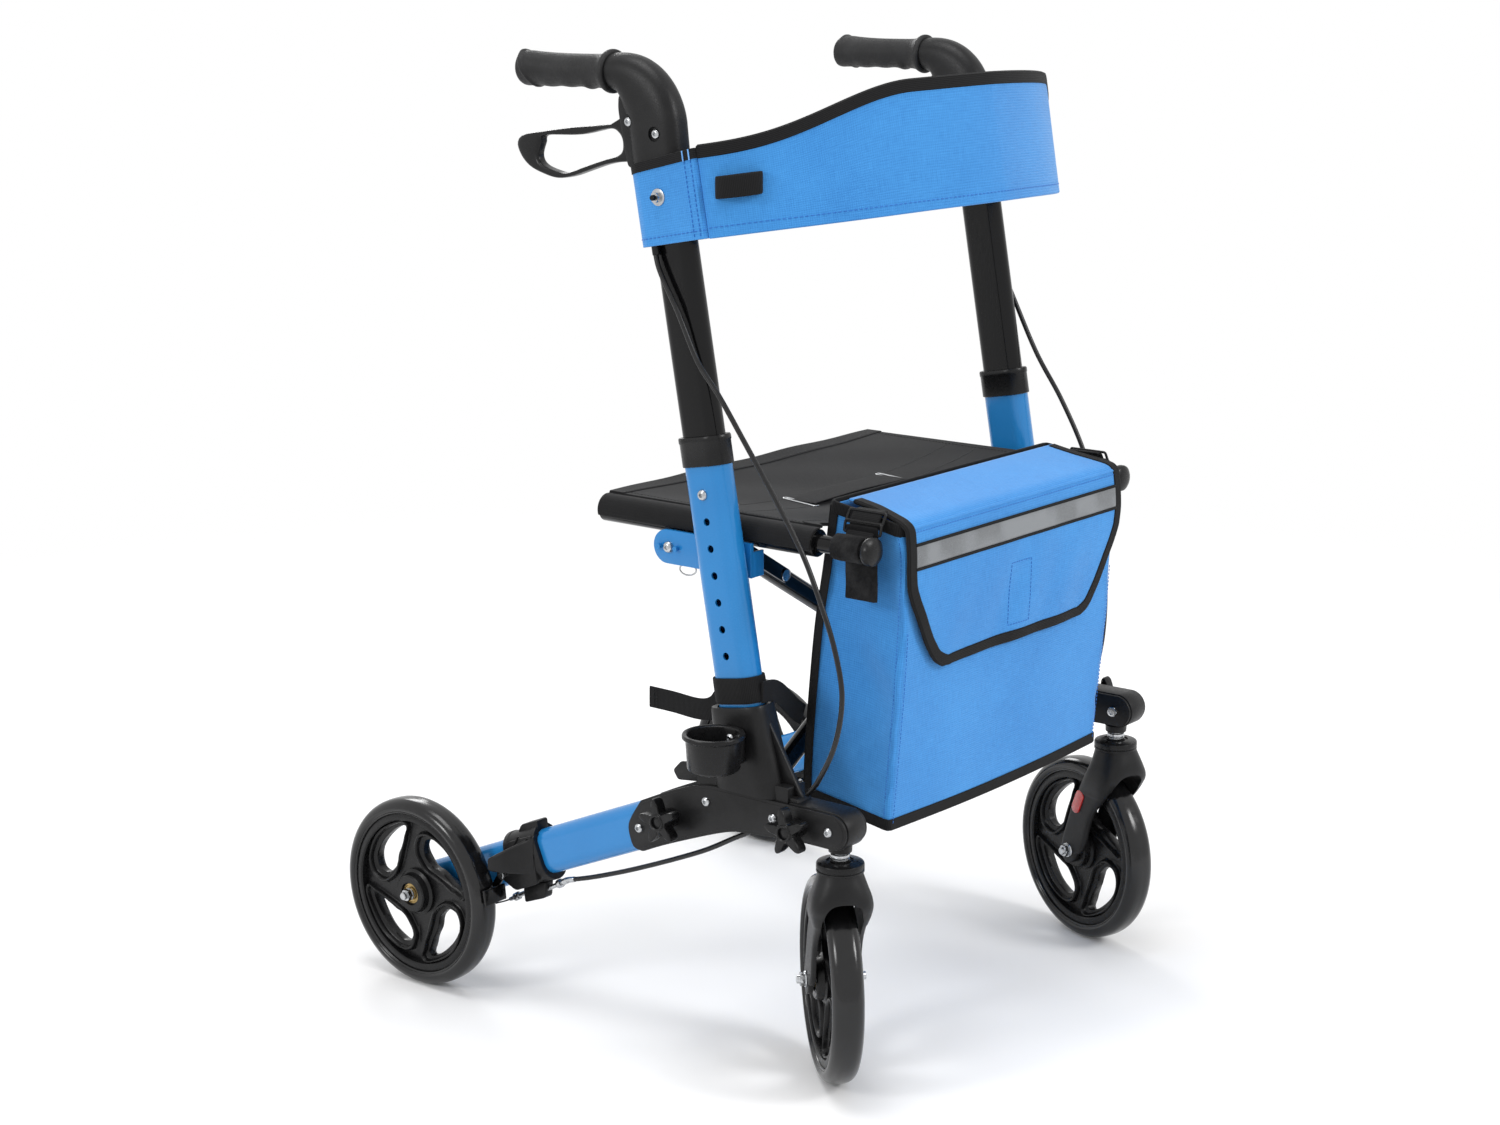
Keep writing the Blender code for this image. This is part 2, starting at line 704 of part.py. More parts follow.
def cradle_bracket(side):
    """The small plate behind the post, on which the seat rail rests when the frame is open."""
    inner_x = 0.2300
    post_face = POST_X - LOWER_POST_WIDTH / 2
    outline = [(0.038, 0.484), (0.140, 0.484)] + arc((0.1415, 0.5005), 0.0165, -80, 80, 7) + [(0.038, 0.517)]
    holes = [circle(0.0022, 8, (0.1385 + step, 0.5005)) for step in (-0.0105, 0.0105)]
    plate = side_prism(outline, (side * inner_x, side * (post_face + LOWER_POST_WALL / 2)), *holes)
    flange = side_box(side, (0.2150, inner_x + OVERLAP), (0.038, 0.041), (0.484, 0.5085))
    bolt = cross_rod(side, (post_face, post_face + 0.004), 0.1385, 0.5005, 0.0055, 8)
    return plate, flange, bolt


def post_collar(side):
    height = COLLAR_TOP_Z - COLLAR_BOTTOM_Z
    sleeve = prism([stadium(COLLAR_WIDTH, COLLAR_DEPTH, OVAL_STEPS)], along_post(height),
                   post_frame(side, (COLLAR_TOP_Z + COLLAR_BOTTOM_Z) / 2))
    lip = prism([stadium(COLLAR_WIDTH + COLLAR_LIP_REACH, COLLAR_DEPTH + COLLAR_LIP_REACH, OVAL_STEPS)],
                along_post(COLLAR_LIP), post_frame(side, COLLAR_TOP_Z - COLLAR_LIP / 2 - GAP / 2))
    seat_top = COLLAR_TOP_Z - COLLAR_LIP
    lower_fit = stadium(LOWER_POST_WIDTH + 2 * GAP, LOWER_POST_DEPTH + 2 * GAP, OVAL_STEPS)
    seat = prism([lower_fit], along_post(height), post_frame(side, seat_top - height / 2))
    handle_fit = stadium(HANDLE_POST_WIDTH + 2 * GAP, HANDLE_POST_DEPTH + 2 * GAP, OVAL_STEPS)
    through = prism([handle_fit], along_post(2 * height), post_frame(side, COLLAR_TOP_Z))
    return carve(fuse(sleeve, lip), seat, through)


def handle_post(side):
    length = along_post(HANDLE_POST_TOP_Z - HANDLE_POST_BOTTOM_Z)
    walls = 2 * HANDLE_POST_WALL
    outer = stadium(HANDLE_POST_WIDTH, HANDLE_POST_DEPTH, OVAL_STEPS)
    inner = stadium(HANDLE_POST_WIDTH - walls, HANDLE_POST_DEPTH - walls, OVAL_STEPS)
    return prism([outer, inner], length, post_frame(side, (HANDLE_POST_TOP_Z + HANDLE_POST_BOTTOM_Z) / 2))


# Handle elbow, grip and lever

def elbow_centre():
    """Centre of the elbow's turn in the side view."""
    start = (post_y(ELBOW_TURN_Z), ELBOW_TURN_Z)
    return start[0] + ELBOW_RADIUS * cos(POST_LEAN), start[1] - ELBOW_RADIUS * sin(POST_LEAN)


def grip_start():
    centre_y, centre_z = elbow_centre()
    return Vector((0, centre_y, centre_z + ELBOW_RADIUS))


def elbow_rings(side):
    """Sections from the socket's foot, up the post and round the turn to the grip."""
    half = ELBOW_WIDTH / 2
    rings = []
    for z, front, rear in ((ELBOW_BOTTOM_Z, ELBOW_FRONT, ELBOW_REAR), (0.850, 0.0240, 0.0305),
                           (0.882, 0.0262, 0.0325)):
        frame = post_frame(side, z)
        section = superellipse(half, (front + rear) / 2, 2.7, ELBOW_SIDES, (0, (rear - front) / 2))
        rings.append([frame @ Vector((x, y, 0)) for x, y in section])
    centre_y, centre_z = elbow_centre()
    spans = [(0.0220, 0.0802), (0.0215, 0.0795), (0.0222, 0.0785), (0.0245, 0.0768), (0.0290, 0.0746),
             (0.0345, 0.0720), (0.0365, 0.0700)]
    for step, (near, far) in enumerate(spans):
        turn = radians(180) - POST_LEAN - step / ELBOW_TURN_STEPS * (radians(90) - POST_LEAN)
        roundness = 2.7 - 0.7 * step / ELBOW_TURN_STEPS
        section = superellipse(half, (far - near) / 2, roundness, ELBOW_SIDES)
        middle = (far + near) / 2
        rings.append([Vector((side * POST_X + x, centre_y + (middle - y) * cos(turn),
                              centre_z + (middle - y) * sin(turn))) for x, y in section])
    return rings


def handle_elbow(side):
    body = loft(elbow_rings(side))
    start = grip_start()
    x = side * POST_X
    spigot_end = (x, start.y + GRIP_SPIGOT_LENGTH, start.z)
    spigot = rod((x, start.y - 0.010, start.z), spigot_end, GRIP_SPIGOT_RADIUS, 14)
    reach = POST_X + ELBOW_WIDTH / 2
    screws = [cross_rod(side, (reach - 0.004, reach + 0.0012), y, z, 0.0055, 10)
              for y, z in ((LEVER_PIVOT_Y, LEVER_PIVOT_Z), (0.1234, 0.8917))]
    socket = prism([stadium(HANDLE_POST_WIDTH + 2 * GAP, HANDLE_POST_DEPTH + 2 * GAP, OVAL_STEPS)],
                   along_post(HANDLE_POST_TOP_Z + GAP - ELBOW_BOTTOM_Z + 0.020),
                   post_frame(side, (HANDLE_POST_TOP_Z + GAP + ELBOW_BOTTOM_Z - 0.020) / 2))
    half = LEVER_THICKNESS / 2 + RUNNING_GAP
    slot_outline = [(0.1440, 0.8580), (0.1800, 0.8580), (0.1800, 0.9150), (0.1545, 0.9150), (0.1475, 0.9080)]
    slot = side_prism(slot_outline, (side * (POST_X - half), side * (POST_X + half)))
    pin = cross_rod(side, (POST_X - half - OVERLAP, POST_X + half + OVERLAP), LEVER_PIVOT_Y, LEVER_PIVOT_Z,
                    LEVER_PIN_RADIUS, 10)
    return fuse(carve(fuse(body, spigot, *screws), socket, slot), pin)


def hand_grip(side):
    """A grip with a flange, four shallow finger hollows below and a rounded rear end."""
    start = grip_start()
    stations = [(0.0006, GRIP_FLANGE_RADIUS, 0), (0.0050, GRIP_FLANGE_RADIUS, 0), (0.0110, 0.0168, 0)]
    for hollow in range(4):
        base = 0.0195 + GRIP_HOLLOW_PITCH * hollow
        stations.append((base, GRIP_RADIUS, GRIP_HOLLOW_DEPTH))
        stations.append((base + GRIP_HOLLOW_PITCH / 2, GRIP_RADIUS, 0))
    stations += [(GRIP_LENGTH - 0.014, 0.0160, 0), (GRIP_LENGTH - 0.005, 0.0166, 0), (GRIP_LENGTH, 0.0138, 0)]
    rings = []
    for y, radius, bump in stations:
        ring = []
        for x, z in circle(radius, GRIP_SIDES):
            lower = max(0.0, -z / radius)
            ring.append(Vector((side * POST_X + x, start.y + y, start.z + z - bump * lower)))
        rings.append(ring)
    bore = rod((side * POST_X, start.y - 0.004, start.z),
               (side * POST_X, start.y + GRIP_SPIGOT_LENGTH + GAP, start.z), GRIP_SPIGOT_RADIUS + GAP, 14)
    return carve(loft(rings), bore)


def lever_outline():
    return [(0.1640, 0.9090), (0.1810, 0.8995), (0.2057, 0.8962), (0.2398, 0.8930), (0.2745, 0.8884),
            (0.3004, 0.8842), (0.3085, 0.8763), (0.3035, 0.8646), (0.2921, 0.8550), (0.2759, 0.8490),
            (0.2574, 0.8453), (0.2389, 0.8473), (0.2182, 0.8533), (0.1955, 0.8601), (0.1753, 0.8638),
            (0.1598, 0.8649), (0.1520, 0.8720), (0.1515, 0.8960)]


def lever_opening():
    return [(0.1901, 0.8936), (0.2263, 0.8869), (0.2712, 0.8847), (0.2761, 0.8775), (0.2804, 0.8656),
            (0.2756, 0.8574), (0.2595, 0.8522), (0.2434, 0.8508), (0.2181, 0.8583), (0.1953, 0.8650),
            (0.1763, 0.8708), (0.1731, 0.8815), (0.1780, 0.8903)]


def brake_lever(side):
    half = LEVER_THICKNESS / 2
    loop = side_prism(lever_outline(), (side * (POST_X - half), side * (POST_X + half)), lever_opening())
    hub = cross_rod(side, (POST_X - half, POST_X + half), LEVER_PIVOT_Y, LEVER_PIVOT_Z, 0.0085, 14)
    hole = cross_rod(side, (POST_X - half - OVERLAP, POST_X + half + OVERLAP), LEVER_PIVOT_Y, LEVER_PIVOT_Z,
                     LEVER_PIN_RADIUS + GAP, 10)
    return carve(fuse(loop, hub), hole)


# Brake cables

def cable(side, route):
    points = [(side * x, y, z) for x, y, z in route]
    return tube(smooth_route(points, CABLE_POINT_SPACING), CABLE_RADIUS)


# Rear leg and bracket

def leg_z(y):
    """Height of the rear leg's centre line."""
    return 0.2159 - REAR_LEG_FALL * (y - 0.175)


def leg_frame(side, y):
    """Local Z down the leg to the rear, local Y square to it and upward."""
    fall = atan2(REAR_LEG_FALL, 1)
    place = Matrix.Translation((side * POST_X, y, leg_z(y)))
    return place @ Matrix.Rotation(-fall, 4, "X") @ Matrix.Rotation(radians(-90), 4, "X")


def along_leg(run):
    return run * hypot(1, REAR_LEG_FALL)


def rear_leg(side):
    outer = stadium(BLOCK_WIDTH, REAR_LEG_DEPTH, OVAL_STEPS)
    inner = stadium(BLOCK_WIDTH - 2 * REAR_LEG_WALL, REAR_LEG_DEPTH - 2 * REAR_LEG_WALL, OVAL_STEPS)
    length = along_leg(REAR_LEG_END_Y - REAR_LEG_START_Y)
    return prism([outer, inner], length, leg_frame(side, (REAR_LEG_END_Y + REAR_LEG_START_Y) / 2))


def brake_arm_limits():
    """The brake arm's inner and outer x: it lies against the bracket's arm."""
    inner = BRACKET_ARM_X + GAP
    return inner, inner + BRAKE_ARM_THICKNESS


def rear_bracket(side):
    """A moulded sleeve on the leg with the brake arm's pin and the cable's two adjusters."""
    mid = BRACKET_MID_Y
    sleeve = prism([stadium(BRACKET_WIDTH, BRACKET_DEPTH, OVAL_STEPS)], BRACKET_LENGTH, leg_frame(side, mid))
    lug = side_prism([(0.2940, 0.1330), (0.3260, 0.1200), (0.3240, 0.1040), (0.2960, 0.1150)],
                     (side * (POST_X - LUG_HALF), side * (POST_X + LUG_HALF)))
    arm_outline = [(0.3020, 0.1840), (0.3350, 0.1700), (0.3507, 0.1469), (0.3485, 0.1300), (0.3250, 0.1200),
                   (0.2940, 0.1340)]
    arm_inner_x = POST_X + BLOCK_WIDTH / 2 + OVERLAP / 2
    arm = side_prism(arm_outline, (side * arm_inner_x, side * BRACKET_ARM_X))
    outer = brake_arm_limits()[1]
    pin = cross_rod(side, (BRACKET_ARM_X - OVERLAP / 2, outer + OVERLAP / 2), BRAKE_PIVOT_Y, BRAKE_PIVOT_Z,
                    BRAKE_PIN_RADIUS, 10)
    head_radius = 1.6 * BRAKE_PIN_RADIUS
    head = cross_rod(side, (outer + GAP, outer + OVERLAP), BRAKE_PIVOT_Y, BRAKE_PIVOT_Z, head_radius, 10)
    cable_end = Vector(LOWER_CABLE_ROUTE[-1])
    run = (cable_end - Vector(LOWER_CABLE_ROUTE[-2])).normalized()
    front_start = cable_end + run * RUNNING_GAP
    front_start.x *= side
    front = rod(front_start, (side * POST_X, 0.2985, 0.1225), 0.0036, 10)
    rear = rod((side * POST_X, 0.3200, 0.1170), (side * POST_X, 0.3506, 0.0998), 0.0030, 10)
    bore = prism([stadium(BLOCK_WIDTH + 2 * GAP, REAR_LEG_DEPTH + 2 * GAP, OVAL_STEPS)], 2 * BRACKET_LENGTH,
                 leg_frame(side, mid))
    return fuse(carve(fuse(sleeve, lug, arm), bore), pin, head, front, rear)


def rear_axle(side):
    """The stepped axle that runs through the leg and carries the rear wheel."""
    y = REAR_WHEEL_Y
    z = WHEEL_RADIUS
    face = POST_X + BLOCK_WIDTH / 2
    hub_inner = REAR_WHEEL_X - HUB_WIDTH / 2
    hub_outer = REAR_WHEEL_X + HUB_WIDTH / 2
    return [
        cross_rod(side, (POST_X - BLOCK_WIDTH / 2 - 0.006, hub_outer + 0.0105), y, z, AXLE_RADIUS, 12),
        cross_rod(side, (face + GAP, hub_inner - GAP), y, z, 0.0075, 12),
        cross_rod(side, (hub_outer + GAP, hub_outer + AXLE_HEAD), y, z, AXLE_HEAD_RADIUS, 6),
    ]


def rear_leg_with_axle(side):
    """The axle is pressed into the leg, so both are one solid."""
    plug = prism([stadium(BLOCK_WIDTH - REAR_LEG_WALL, REAR_LEG_DEPTH - REAR_LEG_WALL, OVAL_STEPS)], 0.026,
                 leg_frame(side, REAR_WHEEL_Y - 0.0015))
    head = cross_rod(side, (POST_X - BLOCK_WIDTH / 2 - 0.0045, POST_X - BLOCK_WIDTH / 2 + OVERLAP / 2),
                     REAR_WHEEL_Y, WHEEL_RADIUS, AXLE_HEAD_RADIUS, 8)
    stub, spacer, nut = rear_axle(side)
    return fuse(rear_leg(side), plug, head, stub, spacer, nut)


def brake_arm(side):
    """A steel lever on the bracket's pin; its pad faces the tread and its tail takes the cable."""
    inner, outer = brake_arm_limits()
    tail = arc((0.3700, 0.0927), 0.0050, 50, -130, 5)
    arm = side_prism([(0.3345, 0.1345)] + tail[::-1] + [(0.3495, 0.1345)], (side * inner, side * outer))
    boss = cross_rod(side, (inner, outer), BRAKE_PIVOT_Y, BRAKE_PIVOT_Z, 2.5 * BRAKE_PIN_RADIUS, 14)
    pad = side_prism([(0.3350, 0.1260), (0.3433, 0.1250), (0.3403, 0.1050), (0.3350, 0.1040)],
                     (side * inner, side * BRAKE_PAD_OUTER_X))
    hole = cross_rod(side, (inner - OVERLAP, outer + OVERLAP), BRAKE_PIVOT_Y, BRAKE_PIVOT_Z,
                     BRAKE_PIN_RADIUS + GAP, 10)
    return carve(fuse(arm, boss, pad), hole)


# Wheels

def axle_frame(centre, direction):
    """Local Z along the axle, local X horizontal along the wheel and local Y upward."""
    axis = Vector(direction).normalized()
    along = Vector((0, 0, 1)).cross(axis).normalized()
    turn = Matrix((along, Vector((0, 0, 1)), along.cross(Vector((0, 0, 1))))).transposed()
    return Matrix.Translation(centre) @ turn.to_4x4()


def tyre(place):
    """The rubber tyre; one of its facets lies flat on the floor."""
    half = TYRE_WIDTH / 2
    tread = WHEEL_RADIUS / cos(pi / WHEEL_STEPS)
    shoulder = WHEEL_RADIUS - TYRE_SHOULDER
    profile = [(TYRE_INNER_RADIUS, half - 0.0030), (shoulder, half - 0.0006), (tread, half - 0.0100),
               (tread, 0.0100 - half), (shoulder, 0.0006 - half), (TYRE_INNER_RADIUS, 0.0030 - half)]
    return turned(profile, WHEEL_STEPS, place @ Matrix.Rotation(pi / WHEEL_STEPS, 4, "Z"), closed=True)


def spoke_opening(turn):
    """A teardrop opening between two curved spokes, as polar points in shares of the rim's radius."""
    points = [(0.448, 34), (0.507, 17), (0.625, 12), (0.743, 18), (0.790, 36), (0.8255, 75),
              (0.719, 76), (0.5425, 56)]
    rim = TYRE_INNER_RADIUS
    return [(share * rim * cos(turn + radians(angle)), share * rim * sin(turn + radians(angle)))
            for share, angle in points]


def wheel_rim(place):
    """Hub, web with four teardrop openings, and the ring that holds the tyre."""
    outer = TYRE_INNER_RADIUS - GAP
    half = RIM_WIDTH / 2
    profile = [(outer - RIM_LIP, half), (outer, half), (outer, -half), (outer - RIM_LIP, -half)]
    facet = Matrix.Rotation(pi / WHEEL_STEPS, 4, "Z")
    ring = turned(profile, WHEEL_STEPS, place @ facet, closed=True)
    openings = [spoke_opening(2 * pi * i / SPOKE_COUNT) for i in range(SPOKE_COUNT)]
    rim_line = arc((0, 0), outer - RIM_LIP / 2, 180 / WHEEL_STEPS, 360 - 180 / WHEEL_STEPS, WHEEL_STEPS)
    web = prism([rim_line, *openings], WEB_THICKNESS, place)
    hub = prism([circle(HUB_RADIUS, 14)], HUB_WIDTH, place)
    bore = prism([circle(AXLE_HOLE_RADIUS, 8)], 2 * HUB_WIDTH, place)
    return carve(fuse(web, ring, hub), bore)


# Caster

def caster_block(side):
    """The rounded block between the side plates, with the boss, washers and stem of the caster."""
    half = BLOCK_WIDTH / 2
    nose = arc((NOSE_Y, NOSE_Z), NOSE_RADIUS, 90, 270, 11)
    outline = nose + [(-0.0275, NOSE_Z - NOSE_RADIUS), (-0.0275, NOSE_Z + NOSE_RADIUS - 0.0005)]
    block = side_prism(outline, (side * (POST_X - half), side * (POST_X + half)))
    x = side * STEM_X
    under = NOSE_Z - NOSE_RADIUS
    boss = rod((x, STEM_Y, BOSS_BOTTOM_Z), (x, STEM_Y, under - GAP), BOSS_RADIUS, 16)
    neck = rod((x, STEM_Y, BOSS_BOTTOM_Z + OVERLAP), (x, STEM_Y, under + 0.010), NECK_RADIUS, 12)
    washers = rod((x, STEM_Y, CAP_TOP_Z + GAP), (x, STEM_Y, BOSS_BOTTOM_Z + OVERLAP / 2), WASHER_RADIUS, 14)
    stem = rod((x, STEM_Y, CAP_BOTTOM_Z - STEM_SEAT_DEPTH), (x, STEM_Y, BOSS_BOTTOM_Z), STEM_RADIUS, 12)
    return fuse(block, neck, boss, washers, stem)


def caster_frame(name):
    """Local X along the axle, local Y along the trail and local Z up, at the stem on the floor."""
    side = SIDES[name]
    place = Matrix.Translation((side * STEM_X, STEM_Y, 0))
    return place @ Matrix.Rotation(CASTER_SWIVEL[name], 4, "Z")


def caster_axle_centre(name):
    return caster_frame(name) @ Vector((0, CASTER_TRAIL, WHEEL_RADIUS))


def caster_fork(name):
    """Crown, shoulders and two legs round the wheel, cut by the wheel's arch, with the axle bolt."""
    frame = caster_frame(name)
    side_outline = [(-0.0215, CAP_BOTTOM_Z + 0.001), (-0.0255, 0.2130), (-0.0270, 0.2030), (-0.0225, 0.1900),
                    (-0.0097, 0.1710), (0.0067, 0.1516), (0.0186, 0.1166), (0.0300, 0.0950)]
    side_outline += arc((CASTER_TRAIL, WHEEL_RADIUS), 0.0145, 205, 360, 6)
    side_outline += [(0.0525, 0.1300), (0.0417, 0.1590), (0.0260, 0.1860), (0.0210, 0.2050),
                     (0.0205, CAP_BOTTOM_Z + 0.001)]
    front_half = [(0.0200, CAP_BOTTOM_Z + 0.002), (0.0210, 0.2190), (0.0252, 0.2090), (0.0278, 0.2010),
                  (0.0295, 0.1930), (0.0283, 0.1840), (0.0255, 0.1720), (FORK_LEG_X, 0.1580),
                  (FORK_LEG_X, 0.0830)]
    front_outline = [(x, z) for x, z in front_half] + [(-x, z) for x, z in reversed(front_half)]
    body = prism([side_outline], 0.080, frame @ SIDE_VIEW)
    limit = prism([front_outline], 0.200, frame @ Matrix.Translation((0, 0.020, 0)) @ FRONT_VIEW)
    body = keep_inside(body, limit)
    arch_radius = WHEEL_RADIUS + FORK_ARCH_GAP
    hub = frame @ Matrix.Translation((0, CASTER_TRAIL, WHEEL_RADIUS)) @ SIDE_VIEW
    arch = prism([circle(arch_radius, 32)], FORK_SLOT_WIDTH, hub)
    cap = rod((0, 0, CAP_BOTTOM_Z - 0.0005), (0, 0, CAP_TOP_Z), CAP_RADIUS, 24)
    cap.matrix_world = frame
    axle = rod((-FORK_AXLE_END, CASTER_TRAIL, WHEEL_RADIUS), (FORK_AXLE_END, CASTER_TRAIL, WHEEL_RADIUS),
               AXLE_RADIUS, 12)
    axle.matrix_world = frame
    heads = []
    for end in (-1, 1):
        head = rod((end * (FORK_LEG_X - OVERLAP / 2), CASTER_TRAIL, WHEEL_RADIUS),
                   (end * (FORK_LEG_X + AXLE_HEAD), CASTER_TRAIL, WHEEL_RADIUS), AXLE_HEAD_RADIUS, 6)
        head.matrix_world = frame
        heads.append(head)
    hole_bottom = CAP_BOTTOM_Z - STEM_SEAT_DEPTH - GAP
    stem_hole = rod((0, 0, hole_bottom), (0, 0, CAP_TOP_Z + OVERLAP), STEM_RADIUS + GAP, 12)
    stem_hole.matrix_world = frame
    return carve(fuse(carve(fuse(body, cap), arch), axle, *heads), stem_hole)


# Seat

def seat_rail(side):
    x = side * RAIL_X
    rail = rod((x, RAIL_FRONT_Y, RAIL_Z), (x, RAIL_REAR_Y, RAIL_Z), RAIL_RADIUS, 20)
    bar = rod((x, BAR_FRONT_Y + 0.004, RAIL_Z), (x, RAIL_FRONT_Y + OVERLAP, RAIL_Z), BAR_RADIUS, 14)
    forward = Matrix.Translation((x, BAR_FRONT_Y, RAIL_Z)) @ Matrix.Rotation(radians(90), 4, "X")
    dome_profile = [(0, 0.0045), (0.0070, 0.0040), (0.0112, 0.0022), (CAP_END_RADIUS, -0.0010),
                    (CAP_END_RADIUS, -0.0050), (BAR_RADIUS + 0.0015, -CAP_END_DEPTH), (0, -CAP_END_DEPTH)]
    dome = turned(dome_profile, 18, forward)
    return fuse(rail, bar, dome)


def seat_sleeve(side):
    """The seat cloth's hem, from the rail's outer side over its top."""
    inner = RAIL_RADIUS + GAP
    outer = inner + SEAT_CLOTH
    centre = (side * RAIL_X, RAIL_Z)
    first = 90 + 12
    last = -8
    section = arc(centre, outer, first, last, 9) + arc(centre, inner, last, first, 9)
    if side < 0:
        section = [(2 * centre[0] - x, z) for x, z in section]
    return front_prism(section, (SEAT_FRONT_Y, SEAT_REAR_Y))


def seat_height(x, y):
    """Height of the cloth's lower face: taut along the rear hem, sagging towards the front."""
    top = RAIL_Z + RAIL_RADIUS + 2 * GAP
    slack = 1 - min(1.0, (SEAT_REAR_Y - y) / SEAT_SAG_RUN)
    return top - SEAT_SAG * (1 - slack * slack) * (1 - (abs(x) / seat_edge()) ** 2.3)


def seat_edge():
    return RAIL_X - 0.0035


def seat_sling():
    """The sagging cloth between the rails, set back behind the bag, with the pull strap raised on its top."""
    edge = seat_edge()

    def place_of(u, v):
        x = -edge + 2 * edge * u
        inward = min(1.0, (edge - abs(x)) / SEAT_NOTCH_BLEND)
        front = SEAT_FRONT_Y + SEAT_NOTCH * inward * inward * (3 - 2 * inward)
        y = front + (SEAT_REAR_Y - front) * v
        return Vector((x, y, seat_height(x, y)))

    def strap_place(u, v):
        x = -SEAT_STRAP_X + 2 * SEAT_STRAP_X * u
        y = SEAT_STRAP_Y + SEAT_STRAP_WIDTH * (v - 0.5)
        return Vector((x, y, seat_height(x, y) + SEAT_THICKNESS - 0.0006))

    cloth = sheet(SEAT_COLUMN_COUNT, SEAT_ROW_COUNT, SEAT_THICKNESS, place_of, offset=1)
    strap = sheet(10, 2, SEAT_STRAP_THICKNESS, strap_place, offset=1)
    return fuse(cloth, strap)


# Cross braces

def brace_angle():
    return atan2(BRACE_CROSS_Z - BRACE_PIVOT_Z, BRACE_PIVOT_X)


def cross_brace(side, plane_y):
    """A tube from the foot on one side to the rail on the other, with its gusset strut. side is the foot's."""
    slope = brace_angle()
    foot = Vector((side * BRACE_PIVOT_X, plane_y, BRACE_PIVOT_Z))
    run = Vector((-side * cos(slope), 0, sin(slope)))
    reach = hypot(RAIL_X + BRACE_PIVOT_X, RAIL_Z - BRACE_PIVOT_Z)
    across = Vector((0, 1, 0))
    arm = rod(foot, foot + run * reach, BRACE_RADIUS, 14)
    eye = rod(foot - across * EYE_HALF_LENGTH, foot + across * EYE_HALF_LENGTH, EYE_RADIUS, 14)
    rail = Vector((-side * RAIL_X, plane_y, RAIL_Z))
    saddle = rod(rail - across * SADDLE_HALF_LENGTH, rail + across * SADDLE_HALF_LENGTH,
                 RAIL_RADIUS + SADDLE_WALL, 18)
    low = foot + run * STRUT_START
    high = foot + run * STRUT_END
    beside = across * (BRACE_RADIUS + STRUT_THICKNESS / 2 - OVERLAP)
    lift = Vector((side * sin(slope), 0, cos(slope))) * STRUT_DEPTH / 2
    flat = [low - lift, low - run * 0.006, low + lift, high + lift, high - lift]
    strut = front_prism([(point.x, point.z) for point in flat],
                        (plane_y - beside.y - STRUT_THICKNESS / 2, plane_y - beside.y + STRUT_THICKNESS / 2))
    bolt = rod(low - across * (BRACE_RADIUS + STRUT_THICKNESS + 0.001), low + across * (BRACE_RADIUS + 0.003),
               BRACE_BOLT_RADIUS, 8)
    foot_hole = rod(foot - across * 0.020, foot + across * 0.020, BRACE_HOLE_RADIUS, 12)
    cross = Vector((0, plane_y, BRACE_CROSS_Z))
    cross_hole = rod(cross - across * 0.020, cross + across * 0.020, BRACE_HOLE_RADIUS, 12)
    bed = rod(rail - across * 0.100, rail + across * 0.100, RAIL_RADIUS + GAP, 20)
    cloth_room = box(sorted((rail.x - 0.030, rail.x + 0.030)), (plane_y - 0.030, plane_y + 0.030),
                     (rail.z - 0.0035, rail.z + 0.030))
    brace = fuse(arm, eye, saddle, strut, bolt)
    return carve(brace, foot_hole, cross_hole, bed, cloth_room)


def centre_bolt():
    """The bolt through both braces where they cross, with a head, a spacer and a nut."""
    front = BRACE_FRONT_Y - BRACE_RADIUS
    rear = BRACE_REAR_Y + BRACE_RADIUS
    middle_front = BRACE_FRONT_Y + BRACE_RADIUS + GAP
    middle_rear = BRACE_REAR_Y - BRACE_RADIUS - GAP
    z = BRACE_CROSS_Z
    shank = rod((0, front - 0.006, z), (0, rear + 0.006, z), BRACE_BOLT_RADIUS, 12)
    spacer = rod((0, middle_front, z), (0, middle_rear, z), 0.008, 14)
    head = rod((0, front - 0.005, z), (0, front - GAP, z), 0.0075, 14)
    nut = rod((0, rear + GAP, z), (0, rear + 0.006, z), 0.0075, 6)
    return fuse(shank, spacer, head, nut)


# Backrest band

def band_side_y():
    """Y of the seam's foot, just in front of the wraps."""
    return post_y(BAND_BOTTOM_Z - WRAP_FRONT * sin(POST_LEAN)) - WRAP_FRONT * cos(POST_LEAN) - 2 * GAP


def band_path(u):
    """Plan point of the band at its lower edge, from the right seam (0) to the left seam (1)."""
    turn = pi * u
    x = -BAND_HALF_WIDTH * abs(cos(turn)) ** (2 / BAND_ROUNDNESS) * (1 if cos(turn) >= 0 else -1)
    y = band_side_y() - BAND_BOW * abs(sin(turn)) ** (2 / BAND_ROUNDNESS)
    return x, y


def band_height(x):
    """The band is low beside the posts and rises to its middle."""
    rise = min(1.0, max(0.0, (1 - abs(x) / BAND_HALF_WIDTH) / 0.62))
    blend = rise * rise * (3 - 2 * rise)
    return BAND_END_HEIGHT + (BAND_CENTRE_HEIGHT - BAND_END_HEIGHT) * blend


def backrest_panel():
    def place_of(u, v):
        eased = u - 0.035 * sin(4 * pi * u)
        x, y = band_path(eased)
        bottom = BAND_BOTTOM_Z + BAND_EDGE_RISE * (band_side_y() - y)
        height = band_height(x)
        lean = tan(POST_LEAN)
        return Vector((x, y + lean * (bottom + height * v - BAND_BOTTOM_Z), bottom + height * v))

    return sheet(BAND_COLUMN_COUNT, BAND_ROW_COUNT, BAND_THICKNESS, place_of)


